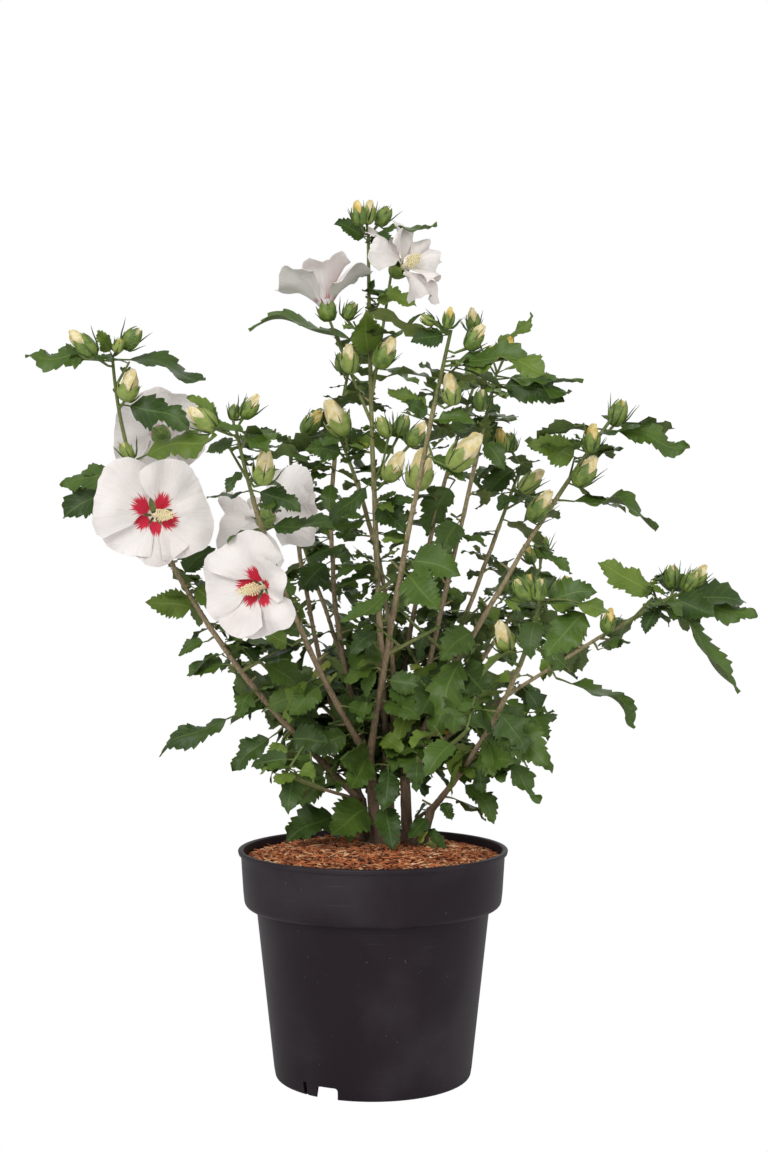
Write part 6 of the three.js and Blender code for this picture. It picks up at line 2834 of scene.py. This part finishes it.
    def grow(self, masses: list[Mass], spurs: list[Mass]) -> None:
        """Adds every twig, leaf, bud and blossom of the rule's masses and of the finer growth.

        Args:
            masses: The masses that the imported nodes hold.
            spurs: The finer growth along the stems.
        """
        for index, mass in enumerate(masses + spurs):
            dice = Dice(seed_of("dress", index))
            if mass.blossom is None:
                Grower().tufts(mass, dice)
            leafy = set()
            for leaf in mass.leaves:
                middle = leaf.root + leaf.direction * leaf.length * self.middle_at
                tone = self.tone(leaf, dice)
                if leaf.root[2] < self.sparse_below and dice.roll() > self.sparse_share:
                    continue
                if mass.spine is None or leaf.small or self.nearest(middle, masses) is mass:
                    if self.add_leaf(leaf, dice, tone):
                        leafy.add(leaf.twig)
            if leafy and mass.spine is not None:
                leafy.add(0)
            for number in sorted(leafy):
                self.add_twig(mass.twigs[number])
            if mass.name.removeprefix("spray_") not in PLACED_BUDS:
                for bud in mass.buds:
                    foot = bud.root + bud.direction * bud.stalk
                    tight = dice.roll() < self.tight_share
                    kind = BudKind.TIGHT if tight else BudKind.RIPE
                    length = BUD.length * bud.size * (self.tight_length if tight else self.ripe_length)
                    self.add_bud(bud.root, foot, foot + bud.direction * length, kind, dice)
            if mass.blossom is not None:
                self.add_blossom(mass, dice)

    def add_fallen(self, fallen: Fallen, dice: Dice) -> None:
        """Adds a dropped leaf that stands among the bark pieces.

        Args:
            fallen: The leaf.
            dice: Its source of numbers.
        """
        root, tip = np.array(fallen.root, float), np.array(fallen.tip, float)
        reach = tip - root
        direction = unit(vec(reach[0], reach[1], 0))
        leaf = Leaf(root, direction, float(np.linalg.norm(reach)), *self.fallen_bend, reach=reach)
        blade = self.fine_maker.blade(leaf, OUTLINES[fallen.form].toothed(self.fine_maker.rows), dice)
        self.add_blade(leaf, blade, fallen.tone)

    def set_by_hand(self) -> None:
        """Adds the listed leaves and buds."""
        dice = Dice(seed_of("dress", HAND_SET))
        for bearer, leaves in PLACED_LEAVES.items():
            for placed in leaves:
                self.add_placed(bearer, placed, dice)
        for fallen in FALLEN_LEAVES:
            self.add_fallen(fallen, dice)
        for bearer, buds in PLACED_BUDS.items():
            for bud in buds:
                self.add_bud(*SIGHT.bud_ends(bearer, bud), BudKind(bud.kind), dice)

    def build(self, masses: list[Mass], spurs: list[Mass]) -> list[Piece]:
        """Builds the crown's pieces.

        Args:
            masses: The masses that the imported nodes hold.
            spurs: The finer growth along the stems.

        Returns:
            The finished pieces.
        """
        self.grow(masses, spurs)
        self.set_by_hand()
        replaced: dict[str, list[str]] = {name: [] for name in LAYERS}
        for mass in masses:
            replaced[self.layer(float(mass.spine[:, 2].mean()))].append(mass.name)
        log.info("%d leaves", self.count)
        looks = [finish.make(self.effects) for finish in LEAF_FINISHES]
        pieces = [
            hand_over(self.layers[name].build(name, looks, 70), replaced[name]) for name in LAYERS
        ]
        wood = bpy.data.materials.get(WOOD.name) or WOOD.make(self.effects)
        pieces.append(hand_over(self.twigs.build("twigs", [wood], 60)))
        for name, gathered, finishes, angle in (
            ("buds", self.buds, BUD_FINISHES, 50),
            ("petals", self.petals, PETAL_FINISHES, 75),
            ("stamens", self.stamens, STAMEN_FINISHES, 60),
        ):
            looks = [finish.make(self.effects) for finish in finishes]
            pieces.append(hand_over(gathered.build(name, looks, angle)))
        return pieces


WOOD = WoodFinish("young_wood", (0.42, 0.36, 0.28, 1), (0.09, 0.06, 0.04, 1), 0.75, depth=0.5)


@dataclass
class Wood:
    """The root crown and every stem, with nodes and fluted bark."""

    effects: Effects
    sides: int = 12
    ring_step: float = 5.0
    node_step: float = 24.0
    node_swell: float = 0.16
    least_radius: float = 2.4  # of the bark
    slimmest: float = 1.2  # how far a slim stem may go below that, against its own slimness
    swelling: Span = (0.72, 0.28)  # where towards a node its swelling begins, and over how much it grows
    wander: float = 0.9  # how far the bark strays from its stem's line
    wander_length: float = 40.0
    slim_by: float = 0.15  # share of a stem at which it has its slim radius
    crown_voxel: float = 1.1
    crown_part: float = 0.16  # share of each stem that is fused into the root crown
    stem_start: float = 0.13  # where the stem's own bark begins, inside that part
    into_spray: float = 0.004
    flare_middle: Span = (12.0, 1.6)  # radius half way up the flare, and what is over at its end
    rooted: float = 4.0  # how deep the root crown reaches into the mulch
    flutes: Triple = (3.0, 0.6, 7.0)  # their noise across, along, and its length
    flute_depth: float = 0.45
    old_height: float = 420.0  # over which the wood turns from old to mid-aged
    mid_age: float = 0.3
    stem_age: Span = (0.16, 0.8)  # least age at a stem's fork and at its tip

    def stem_tube(self, stem: Stem, start: float, end: float) -> tuple[np.ndarray, np.ndarray]:
        """The line and radii of a stem's bark, swollen a little at each node.

        Args:
            stem: The stem.
            start: Share of its length where the bark begins.
            end: Share where it ends.

        Returns:
            Points of its middle line, and the radius at each.
        """
        length = stem_length(stem)
        steps = max(int((end - start) * length / self.ring_step), 3)
        shares = np.linspace(start, end, steps + 1)
        line = np.array([on_stem(stem, share) for share in shares])
        for i, share in enumerate(shares):
            if start < share < end:
                wander = Vector((share * length / self.wander_length, stem.radius * 7, len(stem.name)))
                line[i] += np.array(noise.noise_vector(wander)) * self.wander
        node = np.abs((shares * length / self.node_step) % 1 - 0.5) * 2
        swell = 1 + self.node_swell * smooth((node - self.swelling[0]) / self.swelling[1])
        radii = np.array([stem_radius(stem, share) for share in shares]) * swell
        radii *= 1 - (1 - stem.slim) * smooth(shares / self.slim_by)
        return line, np.maximum(radii, self.least_radius * min(stem.slim * self.slimmest, 1))

    def crown(self) -> Piece:
        """The fused root crown: flared trunks and the stubs of the stems that part from them.

        Returns:
            The root crown, before its flutes.
        """
        gathering = Gathering()
        for trunk in TRUNKS.values():
            foot, top = vec(*trunk.foot, GROUND), vec(*trunk.fork)
            flare = foot + (top - foot) * ROOT_FLARE_HEIGHT / (top - foot)[2]
            beyond = top + unit(top - foot) * 2
            line = np.array([foot - UP * 6, foot, (foot + flare) / 2, flare, (flare + top) / 2, beyond])
            broad, slim = trunk.radius
            middle, over = self.flare_middle
            widths = (ROOT_FLARE_RADIUS, middle, broad + over, broad, (broad + slim) / 2, slim)
            gathering.add(*tube(line, np.array(widths), 16))
        for stem in STEMS:
            gathering.add(*tube(*self.stem_tube(stem, 0, self.crown_part), self.sides))
        piece = gathering.build("crown_wood", [], 60)
        piece.data.remesh_voxel_size = self.crown_voxel * MM
        Bench.pick(piece)
        bpy.ops.object.voxel_remesh()
        smoother = piece.modifiers.new("soften", "SMOOTH")
        smoother.factor, smoother.iterations = 0.5, 3
        Bench.apply_modifiers(piece)
        return piece

    def flute(self, points: np.ndarray) -> np.ndarray:
        """Presses shallow uneven flutes and knots into wood.

        Args:
            points: The wood's points.

        Returns:
            The points, moved.
        """
        across, along, length = self.flutes
        moved = points.copy()
        for i, place in enumerate(points):
            shift = noise.noise_vector(Vector(place * np.array([across, across, along]) / length))
            moved[i] += np.array([shift[0], shift[1], 0]) * self.flute_depth
        return moved

    def ages(self, heights: np.ndarray) -> np.ndarray:
        """How young the wood is at heights, as far as these tell."""
        return np.clip((heights - GROUND) / self.old_height, 0, self.mid_age)

    def build(self, replaced: Iterable[str]) -> Piece:
        """Builds the bark of the whole shrub.

        Args:
            replaced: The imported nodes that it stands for.

        Returns:
            The finished piece.
        """
        crown = self.crown()
        gathering = Gathering()
        points = np.array([vertex.co for vertex in crown.data.vertices]) / MM
        keep = [tuple(polygon.vertices) for polygon in crown.data.polygons]
        points[:, 2] = np.maximum(points[:, 2], GROUND - self.rooted)
        gathering.add(self.flute(points), keep, ages=self.ages(points[:, 2]))
        bpy.data.objects.remove(crown)
        for stem in STEMS:
            line, radii = self.stem_tube(stem, self.stem_start, stem.spray + self.into_spray)
            points, faces = tube(line, radii, self.sides)
            shares = np.linspace(self.stem_start, stem.spray, len(line))
            ages = np.maximum(self.ages(line[:, 2]), part_way(self.stem_age, shares))
            ages = np.minimum(ages + stem.green * smooth(2 * shares), 1)
            gathering.add(self.flute(points), faces, ages=np.repeat(ages, self.sides))
        piece = gathering.build("bark", [WOOD.make(self.effects)], 80)
        return hand_over(piece, replaced)


@dataclass
class NurseryPot:
    """The moulded pot: a tapered wall under a deep collar, a lip, and drain notches in the foot."""

    effects: Effects
    height: float
    lip_radius: float
    sides: int = 120
    base_radius: float = 101.5
    base_round: float = 4.0
    shoulder_height: float = 176.0
    shoulder_radius: float = 121.0
    collar_radius: float = 133.5
    collar_round: float = 7.0
    rim_radius: float = 137.0
    lip_depth: float = 4.5
    wall: float = 2.6
    floor: float = 4.0
    base_rings: tuple[float, ...] = (30, 60, 85)
    wall_rings: int = 12
    collar_shares: tuple[float, ...] = (0.3, 0.55, 0.8, 0.985)  # of the way up it, where it has rings
    lip_round: float = 1.5
    crease: float = 35.0  # edges sharper than this many degrees stay sharp
    notches: int = 3
    notch: Triple = (96.0, 20.5, 25.0)
    slit: Triple = (22.0, 4.4, 28.0)
    slit_turn: float = -15.0  # from its notch, in degrees
    first_notch: float = 244.0
    notch_skew: float = 26.0  # of a notch from the radius, in degrees
    block_round: float = 0.16  # of each opening's least side, that its corners are rounded by
    finish: PlasticFinish = PlasticFinish(
        "pot_black", (0.0135, 0.0072, 0.0122, 1), (0.0182, 0.0108, 0.0165, 1), 0.46, 8, depth=0.12
    )

    def profile(self) -> list[Span]:
        """The pot's section, up the outside, over the lip and down the inside.

        Returns:
            Radius and height of each ring.
        """
        arc = Bench.arc
        drop = self.shoulder_height
        outside = [(radius, 0.0) for radius in self.base_rings]
        outside += arc((self.base_radius - self.base_round, self.base_round), self.base_round, -90, -2, 5)
        rise = np.linspace(0.06, 0.97, self.wall_rings)
        span = self.shoulder_radius - self.base_radius
        outside += [(self.base_radius + span * s, drop * s) for s in rise]
        outside += [(self.shoulder_radius, drop - 0.8), (self.shoulder_radius + 1.2, drop)]
        collar = (self.collar_radius - self.collar_round, drop + self.collar_round)
        outside += arc(collar, self.collar_round, -88, -4, 6)
        top = self.height - self.lip_depth
        outside += [
            (self.collar_radius + (self.rim_radius - self.collar_radius) * s, drop + (top - drop) * s)
            for s in self.collar_shares
        ]
        outside += [(self.rim_radius + 0.3, top), (self.lip_radius - 0.6, top + 0.2)]
        lip = (self.lip_radius - self.lip_round, self.height - self.lip_round)
        outside += arc(lip, self.lip_round, -20, 90, 5)
        inner = self.rim_radius - self.wall
        down = [(inner + 1.2, self.height), (inner, self.height - 1.0)]
        floor_in = self.collar_radius - self.wall
        down += [(floor_in, drop + self.wall + self.collar_round)]
        down += [(floor_in - self.collar_round, drop + self.wall)]
        down += [(self.shoulder_radius - self.wall, drop + self.wall)]
        down += [(self.base_radius - self.wall + 0.4, self.floor), (40, self.floor)]
        return outside + down

    def cut_notches(self, pot: Piece) -> None:
        """Cuts the drain notches, and the slit beside each, out of the foot with rounded blocks.

        Args:
            pot: The pot.
        """
        blocks = []
        for k in range(2 * self.notches):
            notch, slit = (self.notch, 0.0, self.notch_skew), (self.slit, self.slit_turn, 0.0)
            sides, aside, skew = slit if k % 2 else notch
            turn = math.radians(self.first_notch + 360 * (k // 2) / self.notches + aside)
            Bench.clear()
            bpy.ops.mesh.primitive_cube_add(
                size=1,
                location=(self.base_radius * MM * math.cos(turn), self.base_radius * MM * math.sin(turn), 0),
                rotation=(0, 0, turn + math.radians(skew)),
                scale=tuple(side * MM for side in sides),
            )
            bpy.ops.object.transform_apply(location=True, rotation=True, scale=True)
            block = bpy.context.active_object
            bpy.ops.object.mode_set(mode="EDIT")
            bpy.ops.mesh.select_all(action="SELECT")
            bpy.ops.mesh.bevel(offset=min(sides) * self.block_round * MM, segments=3, affect="EDGES")
            bpy.ops.object.mode_set(mode="OBJECT")
            blocks.append(block)
        Bench.clear()
        for block in blocks:
            block.select_set(True)
        bpy.context.view_layer.objects.active = blocks[0]
        bpy.ops.object.join()
        cutter = bpy.context.active_object
        boolean = pot.modifiers.new("notches", "BOOLEAN")
        boolean.object, boolean.operation, boolean.solver = cutter, "DIFFERENCE", "EXACT"
        Bench.apply_modifiers(pot)
        bpy.data.objects.remove(cutter)

    def build(self) -> Piece:
        """Builds the pot.

        Returns:
            The finished piece.
        """
        pot = Bench.lathe("nursery_pot", self.profile(), self.sides)
        self.cut_notches(pot)
        pot.data.materials.append(self.finish.make(self.effects))
        Bench.smooth(pot, self.crease)
        return hand_over(pot, ["pot"])


@dataclass
class BarkMulch:
    """The root ball under a loose layer of shredded bark."""

    effects: Effects
    sides: int = 120
    edge: Span = (132.6, 225.6)  # radius and height where the mulch meets the wall
    crown_radius: float = 66.0
    crown_height: float = 237.4
    lump: float = 1.6
    lumps: Span = (9.0, 3.5)  # length of the large ones and of the small ones on them
    ring_step: float = 3.0
    underside: tuple[Span, ...] = (
        (40, 4.3), (60.0, 4.3), (68.0, 12.0), (99.0, 12.0), (117.6, 178.9), (124.0, 179.2), (129.6, 185.6),
    )  # radius and height of each ring of the root ball under its edge, inside the pot
    splinters: int = 6400
    short: tuple[float, Span, Span] = (0.85, (4, 12), (12, 22))  # their share, and lengths of both kinds
    thin: tuple[float, Span, Span] = (0.8, (0.5, 1.3), (1.3, 2.4))  # the same for widths
    splinter_tilt: Span = (-0.45, 0.45)
    splinter_bow: Span = (-0.1, 0.1)
    splinter_ends: Span = (0.35, 0.3)
    splinter_stout: Span = (0.8, 1.2)
    splinter_flat: float = 0.75
    loose: Span = (-1.4, 1.2)  # height of the lowest and the highest splinters over the bed
    bark_shares: Triple = (0.42, 0.68, 0.86)  # of the splinters, up to which each bark but the last goes
    seed: int = 5003
    soil: Finish = Finish("mulch_bed", (0.1, 0.028, 0.011, 1), (0.22, 0.07, 0.024, 1), 0.95, 60, 350, 1.2)
    barks: tuple[Finish, ...] = (
        Finish("bark_red", (0.53, 0.155, 0.052, 1), (0.64, 0.23, 0.085, 1), 0.85, 120, 900, 0.4),
        Finish("bark_brown", (0.26, 0.068, 0.025, 1), (0.38, 0.115, 0.042, 1), 0.85, 120, 900, 0.4),
        Finish("bark_tan", (0.8, 0.42, 0.2, 1), (0.88, 0.58, 0.34, 1), 0.85, 120, 900, 0.4),
        Finish("bark_dark", (0.075, 0.022, 0.01, 1), (0.125, 0.036, 0.017, 1), 0.9, 120, 900, 0.4),
    )

    def surface(self, radius: float) -> float:
        """Height of the mulch at a distance from the axis."""
        share = float(smooth((radius - self.crown_radius) / (self.edge[0] - self.crown_radius)))
        return self.crown_height + (self.edge[1] - self.crown_height) * share

    def bed(self) -> Piece:
        """The root ball, with a lumpy top.

        Returns:
            The finished piece.
        """
        radii = np.arange(self.edge[0], 4, -self.ring_step)
        top = [(float(r), self.surface(float(r))) for r in radii]
        piece = Bench.lathe("mulch_bed", [*self.underside, *top], self.sides)
        for vertex in piece.data.vertices:
            place = np.array(vertex.co) / MM
            radius = float(np.hypot(place[0], place[1]))
            if place[2] > self.edge[1] - 1 and radius < self.edge[0] - 2:
                lumpy = ruffle(place, self.lumps[0]) + 0.5 * ruffle(place, self.lumps[1])
                vertex.co.z += lumpy * self.lump * MM - self.lump * MM
        piece.data.materials.append(self.soil.make(self.effects))
        Bench.smooth(piece, 60)
        return hand_over(piece, ["root_ball"])

    def deal(self, kinds: tuple[float, Span, Span], dice: Dice) -> float:
        """A number from the first of two spans for a share of the splinters, or else from the second.

        Args:
            kinds: The share that the first span has, and both spans.
            dice: The mulch's source of numbers.

        Returns:
            The number.
        """
        share, common, rare = kinds
        return dice.between(*(common if dice.roll() < share else rare))

    def splinter(self, dice: Dice, layer: float) -> tuple[np.ndarray, list[Face]]:
        """One splinter of shredded bark, lying on the mulch.

        Args:
            dice: The mulch's source of numbers.
            layer: How high in the loose layer it lies, from 0 to 1.

        Returns:
            Its vertices and faces.
        """
        length = self.deal(self.short, dice)
        radius = math.sqrt(dice.roll()) * (self.edge[0] - 3)
        turn, heading = dice.between(0, 2 * math.pi), dice.between(0, 2 * math.pi)
        tilt = dice.between(*self.splinter_tilt)
        way = level(heading) * math.cos(tilt) + UP * math.sin(tilt)
        middle = level(turn) * radius
        reach = float(np.hypot(*(middle + way * length / 2)[:2]))
        back = float(np.hypot(*(middle - way * length / 2)[:2]))
        if max(reach, back) > self.edge[0] - 1:
            middle *= (self.edge[0] - 1 - length / 2) / max(radius, 1)
        ground = self.surface(float(np.hypot(middle[0], middle[1])))
        middle = middle + UP * (ground + part_way(self.loose, layer))
        bow = unit(np.cross(way, UP)) * dice.between(*self.splinter_bow) * length
        line = np.array([middle - way * length / 2, middle + bow, middle + way * length / 2])
        first, last = self.splinter_ends
        radii = np.array([first, self.deal(self.thin, dice), last])
        points, faces = tube(line, radii * dice.between(*self.splinter_stout), 4)
        points[:, 2] = middle[2] + (points[:, 2] - middle[2]) * self.splinter_flat
        return points, faces

    def build(self) -> list[Piece]:
        """Builds the bed and its splinters.

        Returns:
            Both finished pieces.
        """
        bed = self.bed()
        dice = Dice(self.seed)
        gathering = Gathering()
        for k in range(self.splinters):
            splinter = self.splinter(dice, k / self.splinters)
            share = dice.roll()
            gathering.add(*splinter, sum(share >= end for end in self.bark_shares))
        looks = [finish.make(self.effects) for finish in self.barks]
        return [bed, hand_over(gathering.build("mulch_splinters", looks, 40))]


# ---------------------------------------------------------------- the studio


@dataclass(frozen=True)
class Studio:
    """A pale floor, soft light from all round with a key from the upper left, and the camera."""

    camera_at: Triple = tuple(part * MM for part in SIGHT.eye)
    focal_px: float = SIGHT.steps
    picture_height_px: float = 1152.0
    sensor: float = 36.0
    surround: Colour = (1.0, 1.0, 1.0, 1)
    surround_light: float = 0.5
    floor_colour: Colour = (0.8, 0.8, 0.8, 1)
    looks_at: Triple = (0, 0, 0.5)
    lights: tuple[tuple[str, Triple, float, float], ...] = (
        ("key", (-1.2, -2.5, 2.1), 1.6, 47.0),
        ("fill", (2.0, -2.0, 1.3), 2.0, 17.0),
        ("rim", (0.6, 2.4, 2.2), 2.0, 12.0),
    )  # name, place, width and power of each

    def build(self) -> None:
        """Builds floor, light and camera."""
        self.floor()
        for light in self.lights:
            self.light(*light)
        world = bpy.data.worlds.new("surround")
        world.use_nodes = True
        world.node_tree.nodes.clear()
        wiring = Wiring(world.node_tree)
        seen = wiring.add("ShaderNodeBackground", {"Color": self.surround, "Strength": 1.0})
        lit = wiring.add("ShaderNodeBackground", {"Color": self.surround, "Strength": self.surround_light})
        wiring.add("ShaderNodeOutputWorld", {"Surface": self.seen_apart(wiring, lit, seen)})
        bpy.context.scene.world = world
        bpy.context.scene.view_settings.view_transform = "Standard"
        self.camera()

    def seen_apart(self, wiring: Wiring, lit: Node, seen: Node) -> Socket:
        """A shader that lights the shrub in one way, and shows itself in another."""
        path = wiring.add("ShaderNodeLightPath").outputs["Is Camera Ray"]
        return wiring.add("ShaderNodeMixShader", {0: path, 1: lit.outputs[0], 2: seen.outputs[0]}).outputs[0]

    def floor(self) -> None:
        """A wide level floor that looks as white as the surround."""
        Bench.clear()
        bpy.ops.mesh.primitive_plane_add(size=40, location=(0, 0, 0))
        floor = bpy.context.active_object
        floor.name = "floor"
        material = bpy.data.materials.new("pale_floor")
        material.use_nodes = True
        material.node_tree.nodes.clear()
        wiring = Wiring(material.node_tree)
        lit = wiring.add("ShaderNodeBsdfDiffuse", {"Color": self.floor_colour})
        seen = wiring.add("ShaderNodeEmission", {"Color": self.surround, "Strength": 1.0})
        wiring.add("ShaderNodeOutputMaterial", {"Surface": self.seen_apart(wiring, lit, seen)})
        floor.data.materials.append(material)
        floor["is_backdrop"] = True

    def light(self, name: str, place: Triple, size: float, power: float) -> None:
        """A soft square light that looks at the middle of the shrub.

        Args:
            name: Its name.
            place: Where it hangs, in metres.
            size: Its width.
            power: Its power, in watts.
        """
        data = bpy.data.lights.new(name, "AREA")
        data.energy, data.size = power, size
        lamp = bpy.data.objects.new(name, data)
        lamp.location = place
        lamp.rotation_euler = (Vector(self.looks_at) - Vector(place)).to_track_quat("-Z", "Y").to_euler()
        bpy.context.scene.collection.objects.link(lamp)

    def camera(self) -> None:
        """A level camera in front of the shrub."""
        data = bpy.data.cameras.new("camera")
        data.sensor_width = self.sensor
        data.lens = self.focal_px / self.picture_height_px * self.sensor
        camera = bpy.data.objects.new("camera", data)
        camera.location = self.camera_at
        camera.rotation_euler = (math.pi / 2, 0, 0)
        bpy.context.scene.collection.objects.link(camera)
        bpy.context.scene.camera = camera


def main() -> None:
    """Loads the frame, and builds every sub-assembly in order."""
    logging.basicConfig(level=logging.INFO, format="%(message)s")
    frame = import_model()
    cad_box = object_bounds()
    Studio().build()
    effects = Effects()
    pot_low, pot_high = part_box("pot")
    NurseryPot(effects, pot_high.z / MM, (pot_high.x - pot_low.x) / 2 / MM).build()
    BarkMulch(effects).build()
    woody = [name for name in frame["nodes"] if name == "root_crown" or name.startswith("stem_")]
    Wood(effects).build(woody)
    grower = Grower()
    masses = grower.masses()
    spurs = [grower.spurs(bearer, index) for index, bearer in enumerate((*STEMS, *TRUNKS.values()))]
    low, high = (np.array(corner) / MM for corner in cad_box)
    Foliage(effects, low, high).build(masses, spurs)


if __name__ == "__main__":
    main()
